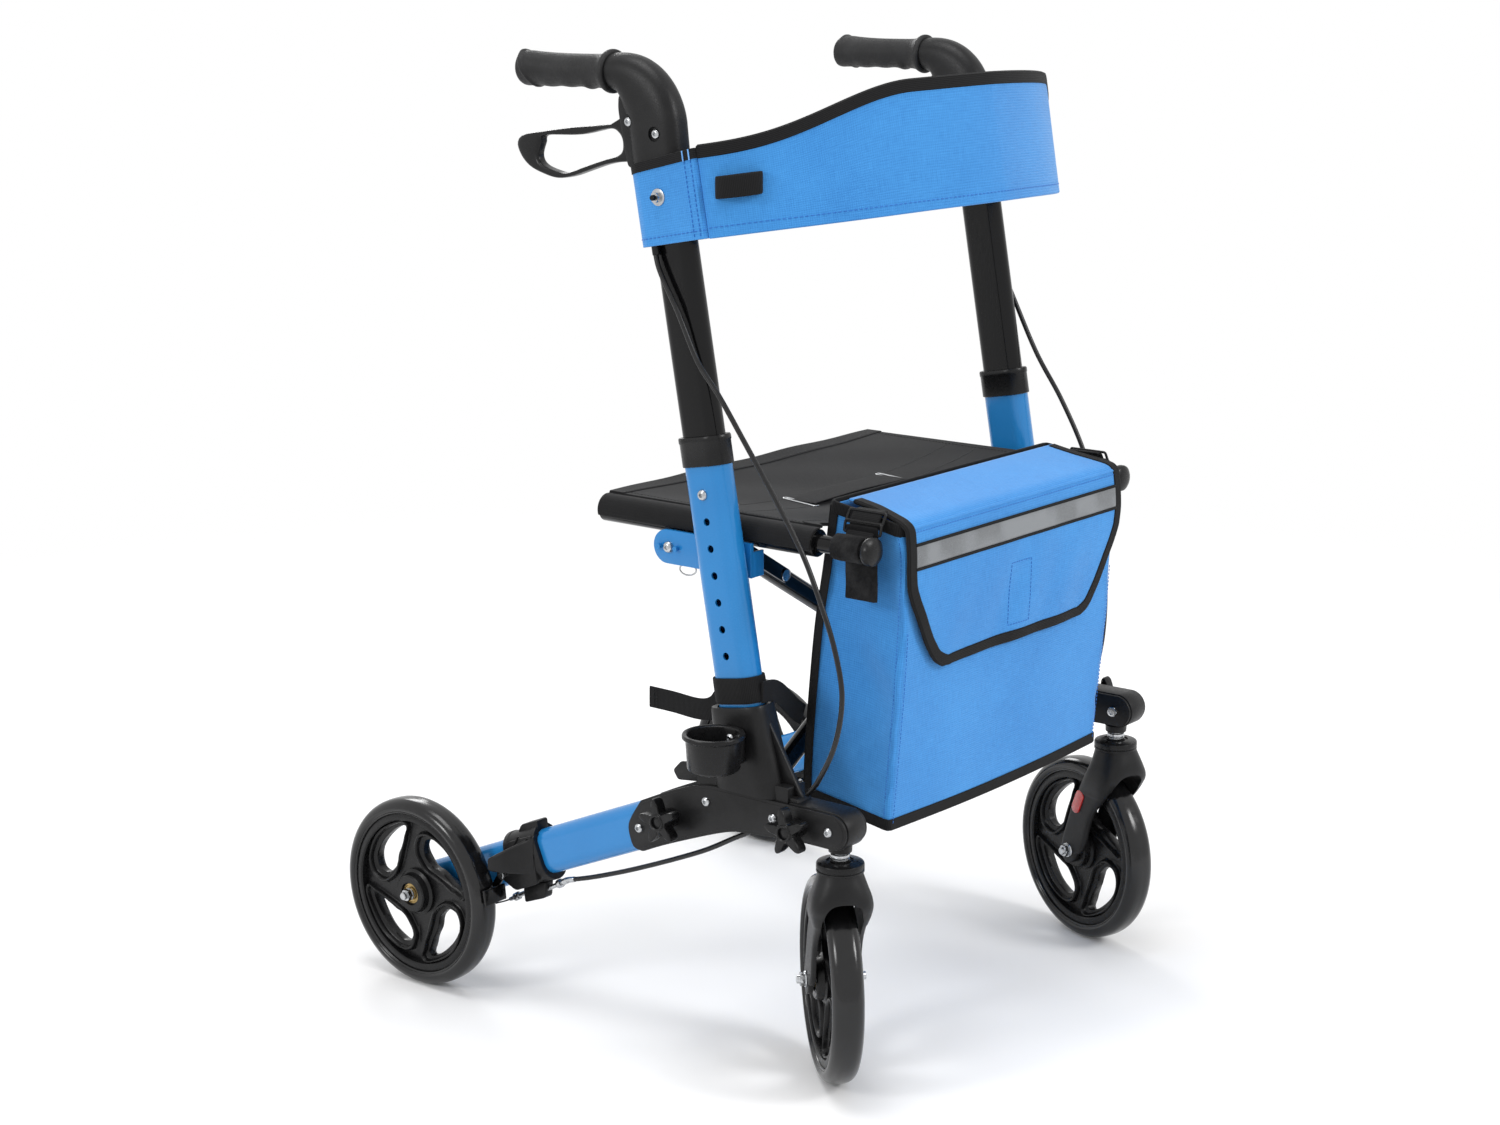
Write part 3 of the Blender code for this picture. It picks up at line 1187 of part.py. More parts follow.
def backrest_wrap(side):
    """A flat loop of the band round the handle elbow's socket, closed at the front seam."""
    front = -WRAP_FRONT
    rear = WRAP_REAR
    inner = WRAP_OUTER - WRAP_THICKNESS
    outer_loop = arc((0, rear - 0.0185), 0.0185, 0, 180, 9)
    outer_loop = [(x * WRAP_OUTER / 0.0185, y) for x, y in outer_loop]
    outer_loop += [(-WRAP_OUTER, -0.024), (-0.0030, front + 0.002), (0.0120, front), (WRAP_OUTER, front)]
    inner_rear = rear - WRAP_THICKNESS
    inner_loop = arc((0, inner_rear - 0.0165), 0.0165, 0, 180, 9)
    inner_loop = [(x * inner / 0.0165, y) for x, y in inner_loop]
    inner_loop += [(-inner, -0.0250), (-0.0030, front + 0.0060), (inner, front + 0.0045)]
    bottom_z = BAND_BOTTOM_Z - WRAP_FRONT * sin(POST_LEAN)
    if side < 0:
        outer_loop = [(-x, y) for x, y in outer_loop]
        inner_loop = [(-x, y) for x, y in inner_loop]
    middle = post_frame(side, bottom_z + WRAP_HEIGHT / 2)
    loop = prism([outer_loop, inner_loop], along_post(WRAP_HEIGHT), middle)
    rear_y = LEVER_PIVOT_Y + 0.020
    front_y = band_side_y() - 0.010
    top = BAND_BOTTOM_Z + BAND_END_HEIGHT
    above = side_prism([(front_y, top + 0.005), (rear_y, top + 0.005 - WRAP_TOP_SLOPE * (rear_y - front_y)),
                        (rear_y, top + 0.060), (front_y, top + 0.060)],
                       (side * (POST_X - 0.040), side * (POST_X + 0.040)))
    return carve(loop, above)


# Bag

def bag_profile():
    return [(-0.0290, 0.5535), (-0.0170, 0.5545), (0.0020, 0.4347), (0.0100, 0.3617), (0.0165, 0.2688),
            (0.0140, 0.2590), (-0.0028, 0.2546), (-0.0506, 0.2447), (-0.0820, 0.2413), (-0.0946, 0.3800),
            (-0.1010, 0.4970), (-0.0950, 0.5395)]


def bag_body():
    """An open-topped cloth box with a webbing loop round each rail's front bar."""
    outer = side_prism(bag_profile(), (-BAG_HALF_WIDTH, BAG_HALF_WIDTH))
    hollow_profile = [(-0.0330, 0.5700), (-0.0200, 0.5700), (-0.0010, 0.4340), (0.0070, 0.3610),
                      (0.0130, 0.2700), (-0.0030, 0.2580), (-0.0500, 0.2480), (-0.0792, 0.2530),
                      (-0.0914, 0.3800), (-0.0978, 0.4970), (-0.0930, 0.5500)]
    inside = BAG_HALF_WIDTH - BAG_WALL
    hollow = side_prism(hollow_profile, (-inside, inside))
    bag = carve(outer, hollow)
    front = BAR_FRONT_Y + CAP_END_DEPTH + GAP
    loops = []
    for side in SIDES.values():
        centre = (side * RAIL_X, RAIL_Z)
        inner = BAR_RADIUS + GAP
        loops.append(front_prism(circle(inner + TAB_THICKNESS, 14, centre), (front, TAB_REAR_Y),
                                 circle(inner, 14, centre)))
        tab_x = (TAB_X, TAB_X + TAB_THICKNESS)
        loops.append(side_box(side, tab_x, (front, TAB_REAR_Y), (TAB_BOTTOM_Z, TAB_TOP_Z)))
        loops.append(side_box(side, (TAB_X + 0.0005, RAIL_X - inner), (front, TAB_REAR_Y),
                              (RAIL_Z - 0.0020, RAIL_Z + 0.0015)))
        bridge_x = (BAG_HALF_WIDTH - OVERLAP / 2, TAB_X + OVERLAP / 2)
        bridge_z = (TAB_TOP_Z - 0.0060, TAB_TOP_Z - 0.0030)
        loops.append(side_box(side, bridge_x, (front, TAB_REAR_Y - 0.002), bridge_z))
    return fuse(bag, *loops)


def bag_flap():
    """The stiffened lid: a top panel and a front panel with rounded lower corners."""
    top = FLAP_THICKNESS
    profile = [(-0.0290, 0.5545), (-0.0945, 0.5405), (-0.0985, 0.5370), (-0.1020, 0.4970), (-0.0975, 0.3995),
               (-0.0975 - top, 0.3995), (-0.1020 - top, 0.4970), (-0.1020, 0.5400), (-0.0970, 0.5445),
               (-0.0290, 0.5545 + top)]
    lid = side_prism(profile, (-0.190, 0.190))
    half = [(0.169, 0.5600), (0.1815, 0.5440), (0.1820, 0.5000), (0.1800, 0.4830), (0.1650, 0.4520),
            (0.1500, 0.4260), (0.1380, 0.4110), (0.1200, 0.4010)]
    outline = half + [(-x, z) for x, z in reversed(half)]
    limit = front_prism(outline, (-0.200, 0.050))
    return keep_inside(lid, limit)


# Cup and hold strap

def cane_cup():
    """An open cup on a pad that is screwed to the base housing."""
    top = CUP_RIM_Z
    bottom = top - CUP_DEPTH
    inner = CUP_RADIUS - CUP_WALL
    profile = [(0, top), (CUP_RIM_RADIUS, top), (CUP_RIM_RADIUS, top - 0.003), (CUP_RADIUS, top - 0.006),
               (CUP_RADIUS - 0.001, bottom), (0, bottom)]
    cup = turned(profile, 24, Matrix.Translation((CUP_X, CUP_Y, 0)))
    back = POST_X + HOUSING_WIDTH / 2 + GAP
    pad = box((-(back + 0.006), -back), (CUP_Y - 0.013, CUP_Y + 0.013), (bottom + 0.004, top - 0.001))
    hollow = rod((CUP_X, CUP_Y, bottom + CUP_WALL), (CUP_X, CUP_Y, top + 0.020), inner, 24)
    screw = rod((-(back + 0.0045), CUP_Y, top - 0.011), (-(back + 0.0085), CUP_Y, top - 0.011), 0.0045, 10)
    return fuse(carve(fuse(cup, pad), hollow), screw)


def hold_strap():
    """Webbing round the right lower post, with a tail to the rear and one to the front and inward."""
    inner = stadium(LOWER_POST_WIDTH + 2 * GAP, LOWER_POST_DEPTH + 2 * GAP, OVAL_STEPS)
    thick = 2 * (GAP + STRAP_THICKNESS)
    outer = stadium(LOWER_POST_WIDTH + thick, LOWER_POST_DEPTH + thick, OVAL_STEPS)
    loop = prism([outer, inner], STRAP_WIDTH, post_frame(-1, STRAP_Z))
    inner_x = POST_X - LOWER_POST_WIDTH / 2 - GAP
    rear_tail = [(0.0500, 0.3925), (0.0500, 0.3720), (0.0690, 0.3690), (0.0745, 0.3520), (0.0850, 0.3340),
                 (0.1685, 0.3358), (0.1685, 0.3568), (0.0900, 0.3560), (0.0760, 0.3860), (0.0640, 0.3925)]
    rear = side_prism(rear_tail, (STRAP_THICKNESS - inner_x, -inner_x))
    start = Vector((-POST_X, post_point(-1, STRAP_FRONT_Z, -LOWER_POST_DEPTH / 2).y - STRAP_THICKNESS, 0))
    end = Vector((STRAP_END_X, STRAP_END_Y, 0))
    run = end - start
    upright = Matrix.Translation(start) @ Matrix.Rotation(atan2(run.y, run.x), 4, "Z") @ FRONT_VIEW
    front_tail = [(-0.003, 0.3925), (0.022, 0.3860), (0.045, 0.3730), (run.length, 0.3530),
                  (run.length, 0.3320), (0.045, 0.3530), (0.022, 0.3700), (-0.003, 0.3720)]
    front = prism([front_tail], STRAP_THICKNESS, upright)
    return fuse(loop, rear, front)


# Assembly

def add_side_frame(collection, name, holder):
    side = SIDES[name]
    knobs = knob_places()
    pieces = [
        ("side_plate_outer", side_plate_outer(side), "black_plastic"),
        ("side_plate_inner", side_plate_inner(side), "black_plastic"),
        ("base_housing", base_housing(side), "black_plastic"),
        ("lower_post", lower_post(side), "blue_paint"),
        ("post_collar", post_collar(side), "black_plastic"),
        ("rear_leg", rear_leg_with_axle(side), "blue_paint"),
        ("rear_bracket", rear_bracket(side), "black_plastic"),
        ("caster_block", caster_block(side), "black_plastic"),
        ("brake_cable_lower", cable(side, LOWER_CABLE_ROUTE), "black_rubber"),
    ]
    for label, solid, finish in pieces:
        add_piece(collection, f"{name}_{label}", solid, finish, holder)
    for place, (y, z) in knobs.items():
        axis = pivot(collection, f"{name}_{place}_knob_axis", (side * POST_X, y, z), holder)
        add_piece(collection, f"{name}_star_knob_{place}", star_knob(side, y, z), "black_plastic", axis)
    brake_place = (side * BRACKET_ARM_X, BRAKE_PIVOT_Y, BRAKE_PIVOT_Z)
    brake = pivot(collection, f"{name}_brake_arm_axis", brake_place, holder)
    add_piece(collection, f"{name}_brake_arm", brake_arm(side), "steel", brake)


def add_wheels(collection, name, holder):
    side = SIDES[name]
    rear_centre = (side * REAR_WHEEL_X, REAR_WHEEL_Y, WHEEL_RADIUS)
    rear_axis = pivot(collection, f"{name}_rear_wheel_axis", rear_centre, holder)
    place = axle_frame(rear_centre, (1, 0, 0))
    add_piece(collection, f"{name}_rear_wheel_rim", wheel_rim(place), "black_plastic", rear_axis)
    add_piece(collection, f"{name}_rear_tyre", tyre(place), "gloss_tyre", rear_axis)
    swivel = pivot(collection, f"{name}_caster_swivel_axis", (side * STEM_X, STEM_Y, CAP_TOP_Z), holder)
    add_piece(collection, f"{name}_caster_fork", caster_fork(name), "black_plastic", swivel)
    centre = caster_axle_centre(name)
    heading = CASTER_SWIVEL[name]
    axis = pivot(collection, f"{name}_caster_wheel_axis", centre, swivel)
    place = axle_frame(centre, (cos(heading), sin(heading), 0))
    add_piece(collection, f"{name}_caster_wheel_rim", wheel_rim(place), "black_plastic", axis)
    add_piece(collection, f"{name}_caster_tyre", tyre(place), "gloss_tyre", axis)


def add_handle(collection, name, holder):
    side = SIDES[name]
    slide = pivot(collection, f"{name}_handle_slide", post_point(side, COLLAR_TOP_Z), holder)
    add_piece(collection, f"{name}_handle_post", handle_post(side), "black_paint", slide)
    add_piece(collection, f"{name}_handle_elbow", handle_elbow(side), "black_plastic", slide)
    add_piece(collection, f"{name}_hand_grip", hand_grip(side), "black_rubber", slide)
    add_piece(collection, f"{name}_backrest_wrap", backrest_wrap(side), "blue_cloth", slide)
    route = RIGHT_CABLE_ROUTE if name == "right" else LEFT_CABLE_ROUTE
    add_piece(collection, f"{name}_brake_cable_upper", cable(side, route), "black_rubber", slide)
    axis = pivot(collection, f"{name}_lever_axis", (side * POST_X, LEVER_PIVOT_Y, LEVER_PIVOT_Z), slide)
    add_piece(collection, f"{name}_brake_lever", brake_lever(side), "black_plastic", axis)
    return slide


def build():
    collection = start_scene()
    root = pivot(collection, "rollator_origin", (0, 0, 0))
    right_frame = pivot(collection, "right_frame", (0, 0, 0), root)
    fold = pivot(collection, "fold_axis", (-BRACE_PIVOT_X, BRACE_FRONT_Y, BRACE_PIVOT_Z), right_frame)
    cross = pivot(collection, "brace_cross_axis", (0, BRACE_REAR_Y, BRACE_CROSS_Z), fold)
    left_frame = pivot(collection, "left_frame_axis", (BRACE_PIVOT_X, BRACE_REAR_Y, BRACE_PIVOT_Z), cross)
    seat = pivot(collection, "seat_axis", (RAIL_X, BRACE_FRONT_Y, RAIL_Z), fold)
    flap = pivot(collection, "flap_axis", (0, FLAP_HINGE_Y, FLAP_HINGE_Z), seat)

    holders = {"right": right_frame, "left": left_frame}
    slides = {}
    for name, holder in holders.items():
        add_side_frame(collection, name, holder)
        add_wheels(collection, name, holder)
        slides[name] = add_handle(collection, name, holder)

    add_piece(collection, "cross_brace_front", cross_brace(-1, BRACE_FRONT_Y), "black_paint", fold)
    add_piece(collection, "cross_brace_rear", cross_brace(1, BRACE_REAR_Y), "black_paint", cross)
    add_piece(collection, "brace_centre_bolt", centre_bolt(), "steel", fold)
    add_piece(collection, "left_seat_rail", seat_rail(1), "black_paint", fold)
    add_piece(collection, "right_seat_rail", seat_rail(-1), "black_paint", cross)
    add_piece(collection, "right_seat_sleeve", seat_sleeve(-1), "black_cloth", cross)
    add_piece(collection, "left_seat_sleeve", seat_sleeve(1), "black_cloth", fold)
    add_piece(collection, "seat_sling", seat_sling(), "black_cloth", seat)
    add_piece(collection, "bag_body", bag_body(), "blue_cloth", seat)
    add_piece(collection, "bag_flap", bag_flap(), "blue_cloth", flap)
    add_piece(collection, "backrest_panel", backrest_panel(), "blue_cloth", slides["right"])
    add_piece(collection, "cane_cup", cane_cup(), "black_plastic", right_frame)
    add_piece(collection, "hold_strap", hold_strap(), "black_cloth", right_frame)
    stand_on_origin(collection, root)


def stand_on_origin(collection, root):
    """Move the frame so that the origin is under the middle of its box, on the floor."""
    bpy.context.view_layer.update()
    corners = [piece.matrix_world @ vert.co for piece in collection.objects if piece.type == "MESH"
               for vert in piece.data.vertices]
    low = Vector(min(corner[axis] for corner in corners) for axis in range(3))
    high = Vector(max(corner[axis] for corner in corners) for axis in range(3))
    root.location = (-(low.x + high.x) / 2, -(low.y + high.y) / 2, -low.z)


build()
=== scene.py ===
"""Folding rollator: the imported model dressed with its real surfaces, cloth, fasteners and finishes.

Metres, +Z up. The user walks behind the frame and looks along -Y, so the user's right hand is at -X.
Shapes are worked out about the drawing datum on the floor between the posts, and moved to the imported
model's origin when their mesh is made.
"""
import logging
from dataclasses import dataclass
from enum import Enum
from math import atan2, cos, hypot, pi, radians, sin, sqrt, tan

import bmesh
import bpy
import numpy as np
from mathutils import Matrix, Vector


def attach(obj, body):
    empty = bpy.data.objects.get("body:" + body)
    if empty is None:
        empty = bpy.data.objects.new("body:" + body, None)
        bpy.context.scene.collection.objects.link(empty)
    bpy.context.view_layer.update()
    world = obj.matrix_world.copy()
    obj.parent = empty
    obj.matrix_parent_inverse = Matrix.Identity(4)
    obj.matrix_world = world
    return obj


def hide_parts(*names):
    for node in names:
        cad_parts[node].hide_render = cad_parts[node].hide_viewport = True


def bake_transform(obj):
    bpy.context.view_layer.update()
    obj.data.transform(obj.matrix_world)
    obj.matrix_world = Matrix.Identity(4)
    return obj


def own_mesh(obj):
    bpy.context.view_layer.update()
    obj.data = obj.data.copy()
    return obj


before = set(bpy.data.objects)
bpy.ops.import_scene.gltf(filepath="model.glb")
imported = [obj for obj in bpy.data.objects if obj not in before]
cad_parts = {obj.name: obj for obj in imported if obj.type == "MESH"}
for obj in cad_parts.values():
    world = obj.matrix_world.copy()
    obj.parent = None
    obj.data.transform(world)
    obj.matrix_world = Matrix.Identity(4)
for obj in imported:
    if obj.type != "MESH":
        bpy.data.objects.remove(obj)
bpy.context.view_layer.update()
LOG = logging.getLogger("rollator")
Array = np.ndarray
Point = tuple[float, float, float]

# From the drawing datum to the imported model's origin
DATUM = np.array((0.00733, -0.20936, 0.0))
# X in the imported model and a share of the cloth's width, both given to crumple()
SEAT_FOLD = (0.22233, 0.189)
BAND_FOLD = (-0.25467, 0.364)
# Distances from the middle and heights or places along the frame of what several pieces meet at
BRACE_FOOT = (0.22, 0.247)
BRACE_CROSSING = 0.379
RAIL = (0.215, 0.5234)
CASTER_STEM = (0.2427, -0.0731)


class Side(Enum):
    """The two sides of the frame, with the sign of their X."""

    RIGHT = -1
    LEFT = 1

    @property
    def label(self) -> str:
        """The side's word in the node names."""
        return self.name.lower()


# Skins: vertex grids before they become meshes

@dataclass
class Skin:
    """Points with faces of one or more corner counts, and a UV in metres at every corner."""

    points: Array
    faces: list[Array]
    uvs: list[Array]


def merge(*skins: Skin) -> Skin:
    """Put several skins into one.

    Args:
        *skins: The skins, each closed by itself or open.

    Returns:
        One skin with all their faces.
    """
    starts = np.cumsum([0] + [len(skin.points) for skin in skins])
    faces = [face + start for skin, start in zip(skins, starts) for face in skin.faces]
    return Skin(np.concatenate([skin.points for skin in skins]), faces,
        [uv for skin in skins for uv in skin.uvs])


def mm(*figures: float, per: int = 2) -> Array:
    """Millimetre figures, `per` of them to a point, as points in metres."""
    return np.reshape(figures, (-1, per)) / 1000


def spread(*parts: Array | float) -> Array:
    """Coordinates of any shapes that fit each other, as one array of points."""
    return np.stack(np.broadcast_arrays(*parts), axis=-1)


def polar(reach: Array | float, turn: Array, *level: Array | float) -> Array:
    """Points (r cos t, r sin t), at a level if one is given."""
    return spread(reach * np.cos(turn), reach * np.sin(turn), *level)


def along_run(run: Array, wanted: Array, values: Array) -> Array:
    """Each column of the values, read off at the wanted runs."""
    return np.stack([np.interp(wanted, run, column) for column in values.T], axis=-1)


def travelled(points: Array) -> Array:
    """Distance run along a row of points: the running sum of the steps between them."""
    steps = np.linalg.norm(np.diff(points, axis=0), axis=-1)
    return np.concatenate(([0.0], np.cumsum(steps)))


def quads(rows: int, columns: int) -> Array:
    """Corner numbers of a grid's quads, as (quads, 4)."""
    index = np.arange(rows * columns).reshape(rows, columns)
    return np.stack([index[:-1, :-1], index[:-1, 1:], index[1:, 1:], index[1:, :-1]], axis=-1).reshape(-1, 4)


def grid(points: Array) -> Skin:
    """Join a (rows, columns, 3) grid of points by quads.

    The UV is (distance along the columns, distance along the rows), both averaged over the grid.

    Args:
        points: The grid; a closed direction repeats its first line at its end.

    Returns:
        The skin of the grid.
    """
    steps = [np.linalg.norm(np.diff(points, axis=way), axis=-1).mean(axis=1 - way) for way in (1, 0)]
    uv = spread(*np.meshgrid(*(np.concatenate(([0.0], np.cumsum(step))) for step in steps))).reshape(-1, 2)
    faces = quads(*points.shape[:2])
    return Skin(points.reshape(-1, 3), [faces], [uv[faces]])


def lid(ring: Array) -> Skin:
    """Close a ring (its first point repeated at its end) with one flat face."""
    loop = ring[:-1]
    wide = np.argsort(np.ptp(loop, axis=0))[1:]
    corners = np.arange(len(loop))[None, :]
    return Skin(loop, [corners], [loop[:, np.sort(wide)][corners]])


def loft(rings: Array | list, lids: bool = True) -> Skin:
    """Join rings into a tube, closed by a flat lid at each end unless told otherwise.

    Args:
        rings: (rings, points, 3), each ring's first point repeated at its end.
        lids: Whether the two ends are closed.

    Returns:
        The skin.
    """
    body = grid(np.asarray(rings))
    return merge(body, lid(rings[0]), lid(rings[-1])) if lids else body


# Frames of axes

@dataclass(frozen=True)
class Axes:
    """A place with three directions; local (x, y, z) is origin + x X + y Y + z Z."""

    origin: Array
    x: Array
    y: Array
    z: Array

    def at(self, local: Array) -> Array:
        """World points of (..., 3) local ones."""
        local = np.asarray(local, float)
        return self.origin + local[..., 0:1] * self.x + local[..., 1:2] * self.y + local[..., 2:3] * self.z


def axes(origin: Point | Array, x: Point, y: Point, z: Point) -> Axes:
    """Axes from plain tuples."""
    return Axes(*(np.array(part, float) for part in (origin, x, y, z)))


def upright(x: float, y: float) -> Axes:
    """World axes moved to a spot on the floor."""
    return axes((x, y, 0), (1, 0, 0), (0, 1, 0), (0, 0, 1))


def facing(x: float, y: float, z: float, sign: float) -> Axes:
    """Axes whose Z points along +X or -X, for what is turned about a line across the frame."""
    return axes((x, y, z), (0, 1, 0), (0, 0, 1), (sign, 0, 0))


def axes_along(origin: Point | Array, direction: Point | Array, up: Point = (0, 0, 1)) -> Axes:
    """Axes whose Z is the direction and whose X is square to `up`."""
    z = unit(np.array(direction, float))
    x = unit(np.cross(np.array(up, float), z))
    return Axes(np.array(origin, float), x, np.cross(z, x), z)


def unit(vector: Array) -> Array:
    """The vector, or each vector of an array, with length 1."""
    return vector / np.maximum(np.linalg.norm(vector, axis=-1, keepdims=True), 1e-12)


def tangents(path: Array) -> Array:
    """Unit direction at each point of a line. Both ends of a ring, which are one point, get the same."""
    steps = np.gradient(path, axis=0)
    if np.allclose(path[0], path[-1]):
        steps[0] = steps[-1] = path[1] - path[-2]
    return unit(steps)


def outward(ring: Array) -> Array:
    """Level directions square to a ring, away from its middle."""
    normal = unit(np.cross(tangents(ring), (0, 0, 1.0)))
    away = ring - ring[:-1].mean(axis=0)
    return normal * np.sign((normal * away).sum(axis=-1, keepdims=True))


SIDE_VIEW = axes((0, 0, 0), (0, 1, 0), (0, 0, 1), (1, 0, 0))
FRONT_VIEW = axes((0, 0, 0), (1, 0, 0), (0, 0, 1), (0, -1, 0))


# Outlines and sections

def closed(points: Array | list) -> Array:
    """The points with the first repeated at the end."""
    points = np.asarray(points, float)
    return np.concatenate((points, points[:1]))


def mirrored(points: Array | list) -> Array:
    """The points, then back again with the second figure's sign changed."""
    points = np.asarray(points, float)
    return np.concatenate((points, points[::-1] * (1, -1)))


def circle(radius: float, steps: int) -> Array:
    """Circle: (r cos t, r sin t)."""
    return polar(radius, np.linspace(0, 2 * pi, steps + 1))


def superellipse(half_x: float, half_y: float, power: float, steps: int) -> Array:
    """Rounded box: (a |cos t|^(2/p) sign, b |sin t|^(2/p) sign)."""
    turn = np.linspace(0, 2 * pi, steps + 1)
    c, s = np.cos(turn), np.sin(turn)
    return spread(half_x * np.sign(c) * np.abs(c) ** (2 / power),
        half_y * np.sign(s) * np.abs(s) ** (2 / power))


def stadium(width: float, depth: float, steps: int = 14) -> Array:
    """Flat oval: two half rounds of the width, joined by straight sides to the depth."""
    radius = width / 2
    turn = np.linspace(0, pi, steps)
    top = polar(radius, turn) + (0, depth / 2 - radius)
    return closed(np.concatenate((top, -top)))


def arc(centre: tuple[float, float], radius: float, start: float, end: float, count: int) -> Array:
    """Arc between two angles in degrees."""
    turn = np.radians(np.linspace(start, end, count))
    return polar(radius, turn) + centre


def spline(points: Array | list, count: int, loop: bool = False) -> Array:
    """Smooth line through points, spaced evenly along its length: Catmull-Rom,
    0.5 (2p1 + (p2-p0)f + (2p0-5p1+4p2-p3)f^2 + (3p1-3p2+p3-p0)f^3).

    Args:
        points: The points that it passes through, of any dimension.
        count: How many points come out, less one for a loop, whose first is repeated at the end.
        loop: Whether the line closes on itself.

    Returns:
        The line.
    """
    points = np.asarray(points, float)
    total = len(points)
    spans = total if loop else total - 1
    t = np.linspace(0, spans, spans * 24 + 1)
    i = np.minimum(np.floor(t).astype(int), spans - 1)
    f = (t - i)[:, None]
    pick = (lambda k: points[(i + k) % total]) if loop else (lambda k: points[np.clip(i + k, 0, total - 1)])
    p0, p1, p2, p3 = pick(-1), pick(0), pick(1), pick(2)
    line = 0.5 * (2 * p1 + (p2 - p0) * f + (2 * p0 - 5 * p1 + 4 * p2 - p3) * f ** 2
        + (3 * p1 - 3 * p2 + p3 - p0) * f ** 3)
    return even(line, count + 1 if loop else count)


def even(line: Array, count: int) -> Array:
    """The same line with `count` points at even distances."""
    run = travelled(line)
    wanted = np.linspace(0, run[-1], count)
    return along_run(run, wanted, line)


def filleted(corners: list[tuple[float, float]], radius: float, steps: int = 5) -> Array:
    """A closed outline whose corners are rounded: each corner becomes a quadratic curve
    (1-t)^2 a + 2t(1-t) c + t^2 b between points `radius` before and after it."""
    points = np.asarray(corners, float)
    gaps = [np.roll(points, step, axis=0) - points for step in (1, -1)]
    start, end = (points + unit(gap) * np.minimum(radius, 0.45 * np.linalg.norm(gap, axis=1))[:, None]
        for gap in gaps)
    t = np.linspace(0, 1, steps)[None, :, None]
    curve = (1 - t) ** 2 * start[:, None] + 2 * t * (1 - t) * points[:, None] + t ** 2 * end[:, None]
    return closed(curve.reshape(-1, 2))


def inset(outline: Array, distance: float) -> Array:
    """A closed outline moved inward by a distance, each point along its own normal."""
    loop = outline[:-1]
    tangent = unit(np.roll(loop, -1, axis=0) - np.roll(loop, 1, axis=0))
    x, y = loop[:, 0], loop[:, 1]
    area = np.sum(x * np.roll(y, -1) - np.roll(x, -1) * y)
    normal = spread(-tangent[:, 1], tangent[:, 0]) * np.sign(area)
    return closed(loop + normal * distance)


def flat(outline: Array, level: float = 0.0) -> Array:
    """An outline's points with their level as the third coordinate."""
    return np.column_stack((outline, np.full(len(outline), level)))


# Solids of one section

def plate(outline: Array, low: float, high: float, edge: float, place: Axes) -> Skin:
    """A slab between two levels of local Z with broken edges: rings at the level, inset by the edge,
    then a 45 degree chamfer in two steps to the full outline.

    Args:
        outline: Closed (points, 2) outline in local X and Y.
        low: Level of one face.
        high: Level of the other.
        edge: Size of the broken edge.
        place: Axes of the outline.

    Returns:
        A closed skin.
    """
    rows = [(edge, 0.0), (0.3 * edge, 0.3 * edge), (0.0, edge)]
    levels = [(shift, low + rise) for shift, rise in rows]
    levels += [(shift, high - rise) for shift, rise in rows[::-1]]
    return loft(np.array([place.at(flat(inset(outline, shift), level)) for shift, level in levels]))


def across(side: Side, outline: Array, inner: float, outer: float, edge: float = 0.0006) -> Skin:
    """A side-view outline (y, z) extruded between two distances from the middle of the frame."""
    low, high = sorted((side.value * inner, side.value * outer))
    return plate(outline, low, high, edge, SIDE_VIEW)


def lathe(profile: Array | list, steps: int, place: Axes) -> Skin:
    """Turned solid: (r cos t, r sin t, h) for each (r, h) of the profile.

    Args:
        profile: (radius, level) points, closed, or both ends on the axis.
        steps: Faces round the axis.
        place: Axes whose Z is the axis.

    Returns:
        The skin.
    """
    profile = np.asarray(profile, float)
    turn = np.linspace(0, 2 * pi, steps + 1)
    radius, height = profile[:, 0][:, None], profile[:, 1][:, None]
    return grid(place.at(polar(radius, turn, height)))


def rod(start: Point | Array, end: Point | Array, radius: float, steps: int = 24,
        edge: float = 0.0004) -> Skin:
    """A round bar between two points.

    Args:
        start: Middle of one end.
        end: Middle of the other.
        radius: Of the bar.
        steps: Faces round it.
        edge: Size of the broken edges.

    Returns:
        The skin.
    """
    start, end = np.array(start, float), np.array(end, float)
    length = float(np.linalg.norm(end - start))
    up = (0, 0, 1) if abs(unit(end - start)[2]) < 0.9 else (0, 1, 0)
    profile = [(0, 0), (radius - edge, 0), (radius, edge), (radius, length - edge), (radius - edge, length),
        (0, length)]
    return lathe(profile, steps, axes_along(start, end - start, up))


def sweep(path: Array, section: Array, up: Point | Array) -> Skin:
    """Carry a section along a path: path(t) + a side(t) + b over(t), where side is up x tangent.

    Args:
        path: (points, 3) line; a ring repeats its first point at its end.
        section: Closed (points, 2) outline: a along the side, b square to it and the path.
        up: One direction, or one per path point, that the section's second axis leans to.

    Returns:
        The skin.
    """
    tangent = tangents(path)
    side = unit(np.cross(up, tangent))
    over = np.cross(tangent, side)
    rings = (path[:, None] + section[None, :, 0:1] * side[:, None] + section[None, :, 1:2] * over[:, None])
    return loft(rings, not np.allclose(path[0], path[-1]))


def tape(path: Array, width: float, thick: float, up: Point | Array) -> Skin:
    """Webbing or binding along a path: a flat section, thin along `up`, with rounded edges."""
    return sweep(path, superellipse(width / 2, thick / 2, 5, 20), up)


